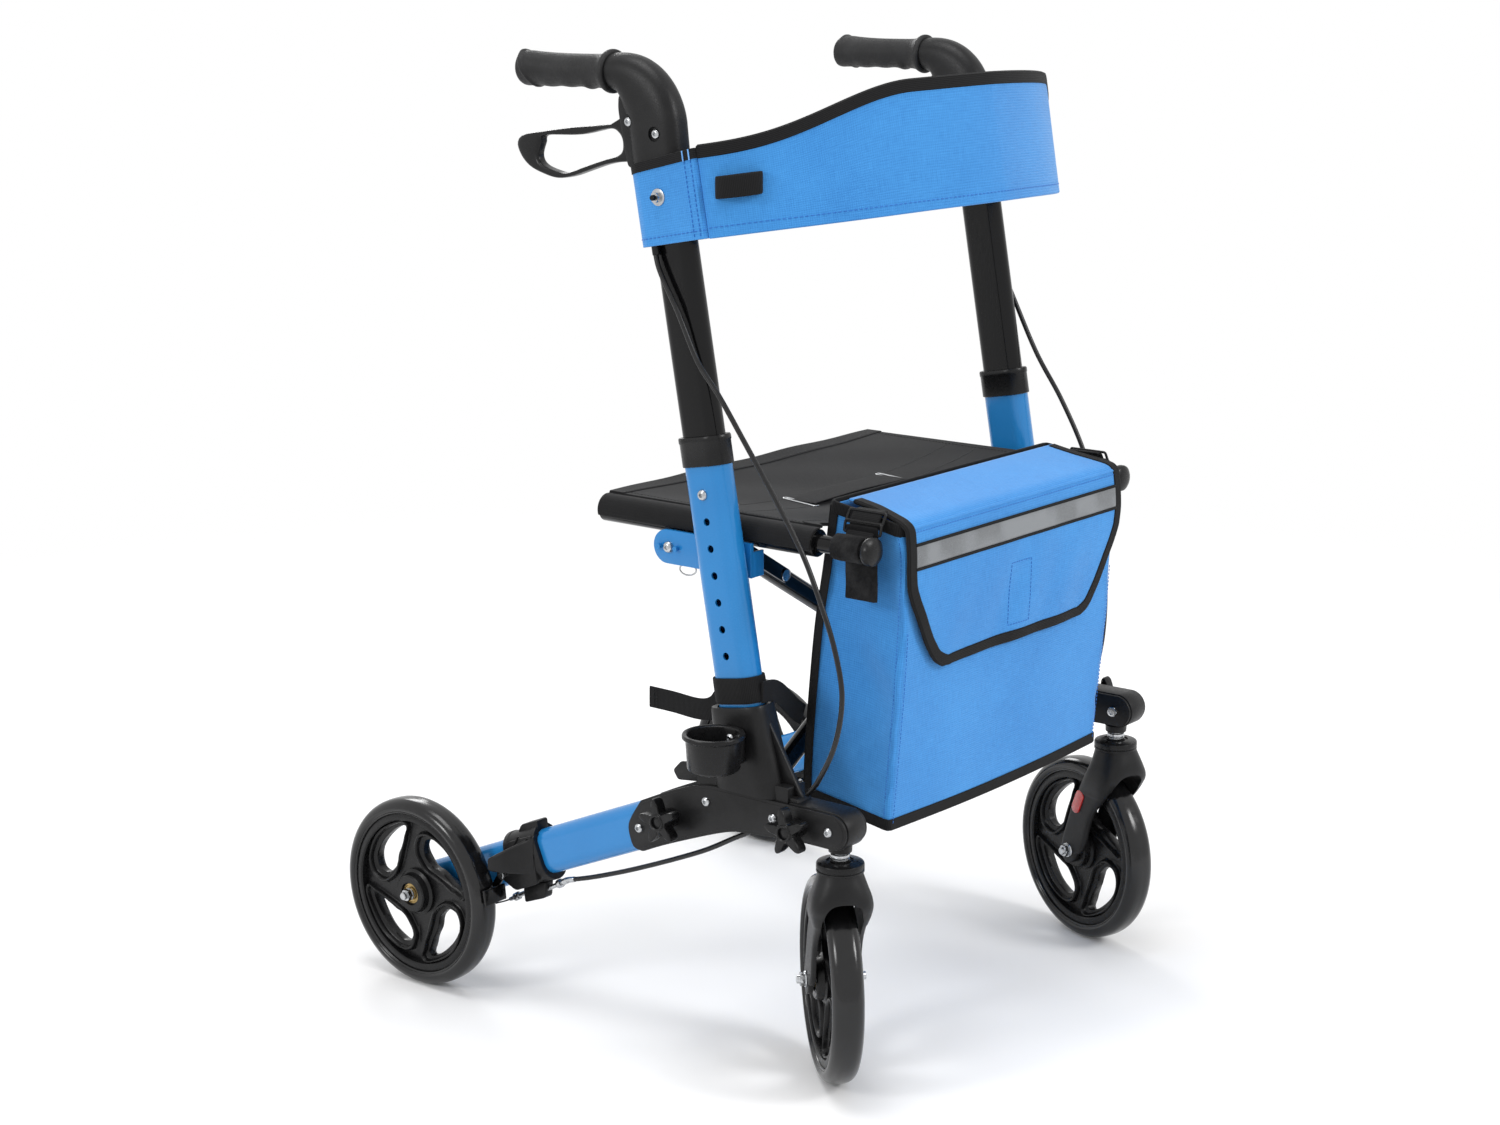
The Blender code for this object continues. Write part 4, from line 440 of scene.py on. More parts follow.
def stitches(path: Array, up: Point | Array, pitch: float = 0.0042, length: float = 0.003,
        radius: float = 0.00042) -> Skin:
    """Thread lying along a path in short grains: each is centre + length u tangent + r(u)(cos t side +
    sin t over), with r(u) = radius sqrt(1 - u^4), u from -1 to 1.

    Args:
        path: The seam's line, already on the cloth's surface.
        up: The cloth's outward direction, one or one per point.
        pitch: From one stitch to the next.
        length: Of the thread that shows.
        radius: Of the thread.

    Returns:
        All the stitches in one skin.
    """
    run = travelled(path)
    count = max(2, int(run[-1] / pitch))
    wanted = (np.arange(count) + 0.5) * run[-1] / count
    centre = along_run(run, wanted, path)
    tangent = unit(along_run(run, wanted + 0.0005, path) - along_run(run, wanted - 0.0005, path))
    lift = np.broadcast_to(np.asarray(up, float), path.shape)
    side = unit(np.cross(along_run(run, wanted, lift), tangent))
    over = np.cross(tangent, side)
    u = np.array((-1.0, -0.75, 0.0, 0.75, 1.0))[:, None]
    turn = np.linspace(0, 2 * pi, 6)[None, :]
    girth = radius * np.sqrt(np.maximum(0, 1 - u ** 4))
    along, a, b = u * length / 2 + 0 * turn, girth * np.cos(turn), girth * np.sin(turn)
    points = (centre[:, None, None] + along[None, ..., None] * tangent[:, None, None] + a[None, ...,
        None] * side[:, None, None] + b[None, ..., None] * over[:, None, None])
    faces = (quads(*along.shape)[None] + (np.arange(count) * along.size)[:, None, None]).reshape(-1, 4)
    points = points.reshape(-1, 3)
    return Skin(points, [faces], [points[:, :2][faces]])


def thickened(points: Array, thick: float) -> Skin:
    """Give a cloth grid two faces and a rounded edge: p + n t/2 and p - n t/2, where n is the grid's normal,
    joined round the border through a middle line that stands out by a third of the thickness.

    Args:
        points: (rows, columns, 3) middle surface.
        thick: The cloth's thickness.

    Returns:
        A closed skin.
    """
    du, dv = np.gradient(points, axis=1), np.gradient(points, axis=0)
    normal = unit(np.cross(du, dv))
    top, under = points + normal * thick / 2, points - normal * thick / 2
    border = lambda g: np.concatenate((g[0, :-1], g[:-1, -1], g[-1, :0:-1], g[::-1, 0]))
    middle = border(points)
    edge_out = np.concatenate((-dv[0, :-1], du[:-1, -1], dv[-1, :0:-1], -du[::-1, 0]))
    rim = grid(np.array((border(top), middle + unit(edge_out) * thick / 3, border(under))))
    return merge(grid(top), grid(under[:, ::-1]), rim)


# Finishes

def srgb(code: str) -> tuple[float, float, float, float]:
    """A hex colour as linear RGBA: c/12.92 below 0.04045, else ((c + 0.055)/1.055)^2.4."""
    parts = [int(code[i:i + 2], 16) / 255 for i in (1, 3, 5)]
    linear = [part / 12.92 if part <= 0.04045 else ((part + 0.055) / 1.055) ** 2.4 for part in parts]
    return (*linear, 1.0)


def feed(tree: bpy.types.NodeTree, node: bpy.types.Node, inputs: dict) -> None:
    """Set a node's inputs: a socket, or a node's first output, is linked, and anything else is the value."""
    for name, value in inputs.items():
        value = value.outputs[0] if isinstance(value, bpy.types.Node) else value
        if isinstance(value, bpy.types.NodeSocket):
            tree.links.new(value, node.inputs[name])
        else:
            node.inputs[name].default_value = value


def add(tree: bpy.types.NodeTree, kind: str, inputs: dict | None = None,
        **settings: object) -> bpy.types.Node:
    """Add a node.

    Args:
        tree: The node tree.
        kind: The node's type, without the words that all shader nodes start with.
        inputs: What feed() gives its inputs, by their names or numbers.
        **settings: The node's own properties.

    Returns:
        The node.
    """
    node = tree.nodes.new("ShaderNode" + kind)
    for name, value in settings.items():
        setattr(node, name, value)
    feed(tree, node, inputs or {})
    return node


@dataclass(frozen=True)
class Finish:
    """What every finish holds: its name, the record's slot that it belongs to, its colour and gloss."""

    name: str
    slot: str
    colour: str
    roughness: float

    def material(self) -> bpy.types.Material:
        """The finish's material, made once."""
        return bpy.data.materials.get(self.name) or self.make()

    def make(self) -> bpy.types.Material:
        """A new material: the shader with its constants, then the subclass's pattern."""
        material = bpy.data.materials.new(self.name)
        material.use_nodes = True
        tree = material.node_tree
        shader = tree.nodes["Principled BSDF"]
        feed(tree, shader, {"Base Color": srgb(self.colour), "Roughness": self.roughness, **self.constants()})
        self.pattern(tree, shader)
        return material

    def constants(self) -> dict[str, float]:
        """The shader's own values that hold all over the surface."""
        raise NotImplementedError

    def pattern(self, tree: bpy.types.NodeTree, shader: bpy.types.Node) -> None:
        """Add the finish's nodes."""
        raise NotImplementedError

    def dress(self, tree: bpy.types.NodeTree, shader: bpy.types.Node, tint: tuple, bump: tuple,
            gloss: tuple = ()) -> None:
        """What every pattern ends in: colour, relief and gloss.

        Args:
            tree: The node tree.
            shader: The shader that they feed.
            tint: The share of a second colour, and that colour.
            bump: Height, strength and distance.
            gloss: A value, its low and high, and the steps from the finish's roughness that they give.
        """
        mixed = add(tree, "Mix", {0: tint[0], 6: srgb(self.colour), 7: tint[1]}, data_type="RGBA")
        relief = add(tree, "Bump", {"Height": bump[0], "Strength": bump[1], "Distance": bump[2]})
        feed(tree, shader, {"Base Color": mixed.outputs[2], "Normal": relief})
        if gloss:
            value, low, high, down, up = gloss
            feed(tree, shader, {"Roughness": add(tree, "MapRange",
                {0: value, 1: low, 2: high, 3: self.roughness + down, 4: self.roughness + up})})


@dataclass(frozen=True)
class PowderCoat(Finish):
    """Polyester powder coat, sprayed and baked: the melt leaves a faint orange peel about 2 mm across under a
    clear gloss, so that a highlight is sharp but slightly wavy."""

    shade: str = "#000000"
    coat: float = 0.6
    metallic: float = 0.0
    specular: float = 0.5

    def constants(self) -> dict[str, float]:
        """A clear coat over the pigment."""
        return {"Metallic": self.metallic, "Specular IOR Level": self.specular, "Coat Weight": self.coat,
            "Coat Roughness": 0.06}

    def pattern(self, tree: bpy.types.NodeTree, shader: bpy.types.Node) -> None:
        """Base colour drifts between two close shades; peel and dust go to the bump and the roughness."""
        place = add(tree, "TexCoord").outputs["Object"]
        drift, peel, specks = (add(tree, "TexNoise", {"Vector": place, "Scale": scale, "Detail": detail})
            for scale, detail in ((14.0, 3.0), (480.0, 2.0), (2200.0, 1.0)))
        self.dress(tree, shader, (drift, srgb(self.shade)), (peel, 0.1, 0.0006),
            (specks, 0.35, 0.75, -0.05, 0.09))


@dataclass(frozen=True)
class MouldedPlastic(Finish):
    """Glass-filled nylon, injection moulded in a spark-eroded tool: a fine matt grain about 1 mm across that
    breaks up the highlight, with paler rubbed spots where hands and boxes touch it."""

    rubbed: str = "#4a4a4b"
    grain: float = 0.001
    depth: float = 0.22
    specular: float = 0.5

    def constants(self) -> dict[str, float]:
        """A dull skin."""
        return {"Specular IOR Level": self.specular}

    def pattern(self, tree: bpy.types.NodeTree, shader: bpy.types.Node) -> None:
        """A cell grain to the bump; wide noise mixes the rubbed shade in and changes the roughness."""
        place = add(tree, "TexCoord").outputs["Object"]
        rub = add(tree, "TexNoise", {"Vector": place, "Scale": 38.0, "Detail": 6.0, "Roughness": 0.65})
        amount = add(tree, "MapRange", {0: rub, 1: 0.42, 2: 0.8, 3: 0.0, 4: 0.55})
        cells = add(tree, "TexVoronoi", {"Vector": place, "Scale": 1 / self.grain})
        fine = add(tree, "TexNoise", {"Vector": place, "Scale": 0.6 / self.grain, "Detail": 3.0})
        height = add(tree, "Math", {0: cells, 1: fine}, operation="ADD")
        self.dress(tree, shader, (amount, srgb(self.rubbed)), (height, self.depth, 0.0003),
            (fine, 0.3, 0.7, -0.06, 0.08))


@dataclass(frozen=True)
class PolishedSteel(Finish):
    """Zinc-plated steel, tumbled and passivated: bright, with soft cloudy patches of plating and fine
    turning lines."""

    shade: str = "#8d8f92"

    def constants(self) -> dict[str, float]:
        """Bare metal."""
        return {"Metallic": 1.0}

    def pattern(self, tree: bpy.types.NodeTree, shader: bpy.types.Node) -> None:
        """Noise clouds the colour and the roughness; a stretched noise gives the turning lines."""
        place = add(tree, "TexCoord").outputs["Object"]
        cloud = add(tree, "TexNoise", {"Vector": place, "Scale": 260.0, "Detail": 4.0})
        stretch = add(tree, "Mapping", {"Vector": place, "Scale": (60.0, 1600.0, 1600.0)})
        lines = add(tree, "TexNoise", {"Vector": stretch, "Scale": 1.0, "Detail": 2.0})
        self.dress(tree, shader, (cloud, srgb(self.shade)), (lines, 0.12, 0.0002),
            (cloud, 0.3, 0.7, -0.05, 0.1))


@dataclass(frozen=True)
class WovenCloth(Finish):
    """Plain-woven filament polyester with a coated back: crossing threads, each a little lighter or darker than
    the next, and a soft sheen at grazing angles. The real threads are 0.4 mm apart; they are drawn at 1.1 mm or
    more, as coarse as they need to be to show."""

    dark: str = "#101010"
    thread: float = 0.0011
    relief: float = 0.35
    sheen: float = 0.25
    cloudy: float = 0.5

    def constants(self) -> dict[str, float]:
        """Soft sheen, hardly any gloss."""
        return {"Sheen Weight": self.sheen, "Sheen Roughness": 0.45, "Specular IOR Level": 0.18}

    def pattern(self, tree: bpy.types.NodeTree, shader: bpy.types.Node) -> None:
        """Two sine bands cross on the cloth's UV map, swapped by a checker, for the over and under of the weave;
        long thin noise varies the threads, wide noise the dye. The weave's low places between the threads get
        painted shade: more of the dark colour."""
        cloth = add(tree, "UVMap", uv_map="cloth")
        pitch = 1 / (2 * self.thread)
        scaled = add(tree, "Mapping", {"Vector": cloth, "Scale": (pitch, pitch, pitch)})
        # a wave node's period at scale 1 is 0.31 of a unit
        warp, weft = (add(tree, "TexWave", {"Vector": scaled, "Scale": 0.314},
            bands_direction=way).outputs["Fac"] for way in "XY")
        over = add(tree, "TexChecker", {"Vector": scaled, "Scale": 2.0})
        weave = add(tree, "Mix", {0: over.outputs["Fac"], 2: warp, 3: weft})
        along, up = (add(tree, "TexNoise", {"Vector": add(tree, "Mapping",
            {"Vector": cloth, "Scale": stretch}), "Scale": 1.0, "Detail": 2.0})
            for stretch in ((60.0, 1200.0, 1.0), (1200.0, 60.0, 1.0)))
        threads = add(tree, "Math", {0: along, 1: up}, operation="ADD")
        place = add(tree, "TexCoord").outputs["Object"]
        dye = add(tree, "TexNoise", {"Vector": place, "Scale": 9.0, "Detail": 4.0})
        total = add(tree, "Math", {0: threads, 1: dye}, operation="ADD")
        amount = add(tree, "MapRange", {0: total, 1: 1.0, 2: 2.0, 3: 0.0, 4: self.cloudy})
        # painted shade: the dark colour mixed into the weave's low places, between the threads
        gaps = add(tree, "MapRange", {0: weave, 1: 0.0, 2: 0.5, 3: 0.3, 4: 0.0})
        # random thread and dye tone, plus the painted shade in the gaps between the threads
        shade = add(tree, "Math", {0: amount, 1: gaps}, operation="ADD", use_clamp=True)
        self.dress(tree, shader, (shade, srgb(self.dark)), (weave, self.relief, 0.0004))


@dataclass(frozen=True)
class RibbedWebbing(Finish):
    """Polypropylene webbing and grosgrain tape: raised cords across the tape every 1.6 mm and a dull, slightly
    fuzzy surface."""

    # colour of the painted highlight on the raised cords and fuzz
    light: str = "#3a3a3b"
    rib: float = 0.0016

    def constants(self) -> dict[str, float]:
        """Dull, with a little fuzz."""
        return {"Sheen Weight": 0.03, "Specular IOR Level": 0.15}

    def pattern(self, tree: bpy.types.NodeTree, shader: bpy.types.Node) -> None:
        """A sine across the tape's UV map for the cords; noise for the fuzz. The light colour follows their
        height:
        a painted highlight on the raised cords and fuzz, and painted shade in the valleys between the cords.
        """
        cloth = add(tree, "UVMap", uv_map="cloth")
        pitch = 1 / self.rib
        scaled = add(tree, "Mapping", {"Vector": cloth, "Scale": (pitch, pitch, pitch)})
        ribs = add(tree, "TexWave", {"Vector": scaled, "Scale": 0.314, "Distortion": 0.4},
            bands_direction="Y")
        fuzz = add(tree, "TexNoise", {"Vector": scaled, "Scale": 2.4, "Detail": 4.0})
        height = add(tree, "Math", {0: ribs.outputs["Fac"], 1: fuzz}, operation="ADD")
        # painted highlight: the higher the cords and fuzz stand, the more of the light colour
        amount = add(tree, "MapRange", {0: height, 1: 0.3, 2: 1.6, 3: 0.0, 4: 0.7})
        self.dress(tree, shader, (amount, srgb(self.light)), (height, 0.5, 0.0004))


@dataclass(frozen=True)
class BeadedReflector(Finish):
    """Reflective sheet: glass beads 0.1 mm across on a grey ground, drawn at 0.8 mm, or moulded prisms under a
    clear red face, which shows a fine lattice that sparkles. The sparkle is painted as lighter colour."""

    facet: float = 0.0008
    coat: float = 0.3

    def constants(self) -> dict[str, float]:
        """A clear face."""
        return {"Coat Weight": self.coat, "Coat Roughness": 0.08}

    def pattern(self, tree: bpy.types.NodeTree, shader: bpy.types.Node) -> None:
        """Painted light: a cell pattern lightens the raised facet edges as painted glints, and a wide noise adds
        broad patches of painted reflected light; the cells also tilt the surface.
        """
        place = add(tree, "TexCoord").outputs["Object"]
        cells = add(tree, "TexVoronoi", {"Vector": place, "Scale": 1 / self.facet})
        # a lighter copy of the colour, for the painted glints and the painted reflected light
        light = tuple(min(1.0, part * 1.8) for part in srgb(self.colour)[:3]) + (1.0,)
        # broad patches of painted reflected light
        wave = add(tree, "TexNoise", {"Vector": place, "Scale": 26.0, "Detail": 1.0})
        amount = add(tree, "MapRange", {0: wave, 1: 0.36, 2: 0.66, 3: -0.25, 4: 0.75})
        mixed = add(tree, "Math", {0: cells, 1: amount}, operation="ADD", use_clamp=True)
        self.dress(tree, shader, (mixed, light), (cells, 0.4, 0.0003))


BLUE_COAT = PowderCoat("blue powder coat on aluminium", "blue_paint", "#2683c6", 0.22, shade="#1d77b9",
    coat=0.35, metallic=0.1, specular=0.3)
BLACK_COAT = PowderCoat("gloss black powder coat on aluminium", "black_paint", "#0b0b0c", 0.14,
    shade="#080809", coat=0.12, specular=0.18)
BLACK_NYLON = MouldedPlastic("black glass-filled nylon, spark-eroded", "black_plastic", "#111112", 0.4,
    rubbed="#222223", specular=0.24)
SMOOTH_NYLON = MouldedPlastic("black polypropylene, satin moulded", "black_plastic", "#121213", 0.3,
    rubbed="#1d1d1e", grain=0.0016, depth=0.08, specular=0.24)
GRIP_RUBBER = MouldedPlastic("black thermoplastic rubber, moulded", "black_rubber", "#171718", 0.55,
    rubbed="#2e2e2f", grain=0.0014, depth=0.35, specular=0.3)
TYRE_RUBBER = MouldedPlastic("black polyurethane tyre, cast", "gloss_tyre", "#111112", 0.17, rubbed="#19191a",
    grain=0.0045, depth=0.012, specular=0.42)
CABLE_SHEATH = MouldedPlastic("black vinyl cable sheath, extruded", "black_rubber", "#111112", 0.28,
    rubbed="#161617", grain=0.004, depth=0.008, specular=0.35)
BRIGHT_ZINC = PolishedSteel("bright zinc-plated steel", "steel", "#d6d8da", 0.2)
BRASS_SEAL = PolishedSteel("gold chromated bearing seal", "steel", "#b39a6a", 0.34, shade="#8c7748")
BLUE_CLOTH = WovenCloth("blue woven polyester", "blue_cloth", "#499be1", 0.8, dark="#1f63ac", cloudy=0.5)
BLACK_CLOTH = WovenCloth("black woven polyester", "black_cloth", "#1c1c1d", 0.84, dark="#0a0a0b",
    thread=0.0013, relief=0.45, sheen=0.06, cloudy=0.6)
BLACK_TAPE = RibbedWebbing("black polypropylene tape", "black_cloth", "#0d0d0e", 0.8, light="#242425")
LOOP_PILE = MouldedPlastic("black hook-and-loop pile, knitted nylon", "black_cloth", "#161617", 0.92,
    rubbed="#464647", grain=0.0015, depth=1.0, specular=0.15)
BLUE_THREAD = WovenCloth("blue polyester thread", "blue_cloth", "#2f74c8", 0.6, dark="#215aa3")
PALE_THREAD = WovenCloth("pale blue polyester thread", "blue_cloth", "#7db8f6", 0.6, dark="#5b9be4")
BLACK_THREAD = WovenCloth("black polyester thread", "black_cloth", "#1b1b1c", 0.6, dark="#0c0c0c")
GREY_STRIPE = BeadedReflector("grey glass-bead reflective tape", "black_cloth", "#5f6265", 0.45)
RED_REFLECTOR = BeadedReflector("red prismatic reflector, acrylic", "black_plastic", "#9c1513", 0.16,
    facet=0.0022, coat=1.0)


# Pieces

def clean(mesh: bpy.types.Mesh, double: float, sliver: float = 0.0) -> None:
    """Merge points closer than one distance, drop edges shorter than another, and turn the faces outward."""
    work = bmesh.new()
    work.from_mesh(mesh)
    bmesh.ops.remove_doubles(work, verts=work.verts, dist=double)
    if sliver:
        bmesh.ops.dissolve_degenerate(work, edges=work.edges, dist=sliver)
    bmesh.ops.recalc_face_normals(work, faces=work.faces)
    work.to_mesh(mesh)
    work.free()


def crumple(made: list[bpy.types.Object], anchor: float, keep: float) -> None:
    """Give each piece its own copy of its mesh."""
    for part in made:
        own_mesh(part)


def piece(name: str, skin: Skin, finish: Finish, body: str, replaces: tuple[str, ...] = (),
        crease: float = 34.0) -> bpy.types.Object:
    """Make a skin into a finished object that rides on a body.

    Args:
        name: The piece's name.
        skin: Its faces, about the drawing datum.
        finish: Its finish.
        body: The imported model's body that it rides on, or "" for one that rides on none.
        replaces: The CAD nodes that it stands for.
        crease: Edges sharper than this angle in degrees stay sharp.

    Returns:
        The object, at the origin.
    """
    mesh = bpy.data.meshes.new(name)
    corners = np.concatenate([face.ravel() for face in skin.faces]).astype(np.int32)
    totals = np.concatenate([np.full(len(face), face.shape[1]) for face in skin.faces]).astype(np.int32)
    starts = np.concatenate(([0], np.cumsum(totals)[:-1])).astype(np.int32)
    mesh.vertices.add(len(skin.points))
    mesh.vertices.foreach_set("co", (skin.points + DATUM).ravel())
    mesh.loops.add(len(corners))
    mesh.loops.foreach_set("vertex_index", corners)
    mesh.polygons.add(len(totals))
    mesh.polygons.foreach_set("loop_start", starts)
    mesh.polygons.foreach_set("loop_total", totals)
    mesh.update(calc_edges=True)
    layer = mesh.uv_layers.new(name="cloth")
    layer.data.foreach_set("uv", np.concatenate([uv.reshape(-1, 2) for uv in skin.uvs]).ravel())
    clean(mesh, 1e-6, 1e-7)
    mesh.shade_smooth()
    mesh.set_sharp_from_angle(angle=radians(crease))
    made = bpy.data.objects.new(name, mesh)
    bpy.context.scene.collection.objects.link(made)
    mesh.materials.append(finish.material())
    if body:
        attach(made, body)
    if replaces:
        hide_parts(*replaces)
    LOG.info("%s: %d faces, %s", name, len(mesh.polygons), finish.name)
    return made


def stack(place: Axes, rows: list[tuple], turn: Array) -> Skin:
    """Rings (r cos t, r sin t, level) about the axes' Z, one for each (r, level) row, closed by lids."""
    return loft(place.at(np.array([polar(reach + 0 * turn, turn, level) for reach, level in rows])))


def hexagon(turn: Array) -> Array:
    """Radius of a hexagon with its flats 1 from its middle: 1 / cos of the angle off the nearest flat."""
    return 1 / np.cos((turn % (pi / 3)) - pi / 6)


def dome_screw(side: Side, inner: float, y: float, z: float, radius: float = 0.0055,
        rise: float = 0.004) -> Skin:
    """A domed socket screw that faces outward: circles that rise to the dome, then a hexagon sunk into it.

    Args:
        side: The side of the frame that it faces.
        inner: Distance of the face under the head from the middle of the frame.
        y: Place along the frame.
        z: Height.
        radius: Of the head.
        rise: Height of the head.

    Returns:
        The head's skin.
    """
    turn = np.linspace(0, 2 * pi, 37)
    socket = cos(pi / 6) * hexagon(turn)
    rows = [(1.0, 0.0), (1.0, 0.25), (0.93, 0.55), (0.76, 0.84), (0.56, 0.97), (0.48, 1.0),
        (0.44 * socket, 0.97), (0.42 * socket, 0.45)]
    place = facing(side.value * inner, y, z, side.value)
    return stack(place, [(share * radius, height * rise) for share, height in rows], turn)


def hex_nut(side: Side, outer: float, y: float, z: float, flats: float = 0.01, rise: float = 0.005) -> Skin:
    """A lock nut that faces the middle of the frame: a chamfered hexagon with its round nylon collar.

    Args:
        side: The side of the frame that it is on.
        outer: Distance of the face that it sits on from the middle of the frame.
        y: Place along the frame.
        z: Height.
        flats: Width across flats.
        rise: Height of the nut.

    Returns:
        The nut's skin.
    """
    turn = np.linspace(0, 2 * pi, 37)
    edge = flats / 2 * hexagon(turn)
    rows = [(edge, 0.0), (edge, 0.62), (np.minimum(edge, 0.52 * flats), 0.7), (0.46 * flats, 0.72),
        (0.44 * flats, 1.0), (0.28 * flats, 1.0), (0.27 * flats, 0.8)]
    place = facing(side.value * outer, y, z, -side.value)
    return stack(place, [(reach, height * rise) for reach, height in rows], turn)


def hexagon_on(line: Axes, low: float, high: float, flats: float) -> Skin:
    """A chamfered hexagon between two levels of the axes' Z."""
    turn = np.linspace(0, 2 * pi, 37)
    edge = flats / 2 * hexagon(turn)
    cropped = np.minimum(edge, 0.53 * flats)
    return stack(line, [(cropped, low), (edge, low + 0.0006), (edge, high - 0.0006), (cropped, high)], turn)


@dataclass(frozen=True)
class SidePart:
    """What belongs to one side of the frame: its sign, and names that start with the side's word."""

    side: Side
    home: str = "frame"

    @property
    def sign(self) -> int:
        """Sign of the side's X."""
        return self.side.value

    @property
    def brace_plane(self) -> float:
        """Place along the frame of the cross brace whose foot is at this side."""
        return 0.057 if self.side is Side.RIGHT else 0.081

    def named(self, name: str) -> str:
        """The name with the side's word before it."""
        return f"{self.side.label}_{name}"

    def make(self, name: str, skin: Skin, finish: Finish, node: str = "", crease: float = 34.0,
            on: str = "") -> bpy.types.Object:
        """A piece of this side.

        Args:
            name: Its name without the side.
            skin: Its faces.
            finish: Its finish.
            node: The CAD node that it stands for, without the side.
            crease: Edges sharper than this stay sharp.
            on: The body that it rides on, without the side, else this part's own.

        Returns:
            The object.
        """
        return piece(self.named(name), skin, finish, self.named(on or self.home), (self.named(node),) if node
            else (), crease)

    def slab(self, corners: Array | list, radius: float, inner: float, outer: float,
            edge: float = 0.0006) -> Skin:
        """A side view with rounded corners, extruded between two distances from the middle of the frame."""
        return across(self.side, filleted(corners, radius), inner, outer, edge)

    def pin(self, inner: float, outer: float, y: float, z: float, radius: float, steps: int = 24,
            edge: float = 0.0004) -> Skin:
        """A round bar across the frame, between two distances from its middle."""
        return rod((self.sign * inner, y, z), (self.sign * outer, y, z), radius, steps, edge)


@dataclass(frozen=True)
class PostLine:
    """The leaning line of the telescopic posts."""

    x: float = 0.248
    lean: float = radians(9.893)
    foot_y: float = -0.026

    def y(self, z: float | Array) -> float | Array:
        """Y of the line at a height: foot + z tan(lean)."""
        return self.foot_y + z * tan(self.lean)

    def axes(self, side: Side, z: float) -> Axes:
        """Axes at a height: Z up the post, Y square to it and to the rear, X across."""
        s, c = sin(self.lean), cos(self.lean)
        return axes((side.value * self.x, self.y(z), z), (1, 0, 0), (0, c, -s), (0, s, c))

    def sleeve(self, side: Side, rows: Array | list) -> Skin:
        """A wall round the post: one flat-oval ring for each (width, depth, height) row, up outside and down
        inside, and the last joins the first."""
        rings = [self.axes(side, z).at(flat(stadium(width, depth))) for width, depth, z in rows]
        return loft([*rings, rings[0]], False)


POST = PostLine()


# Wheels

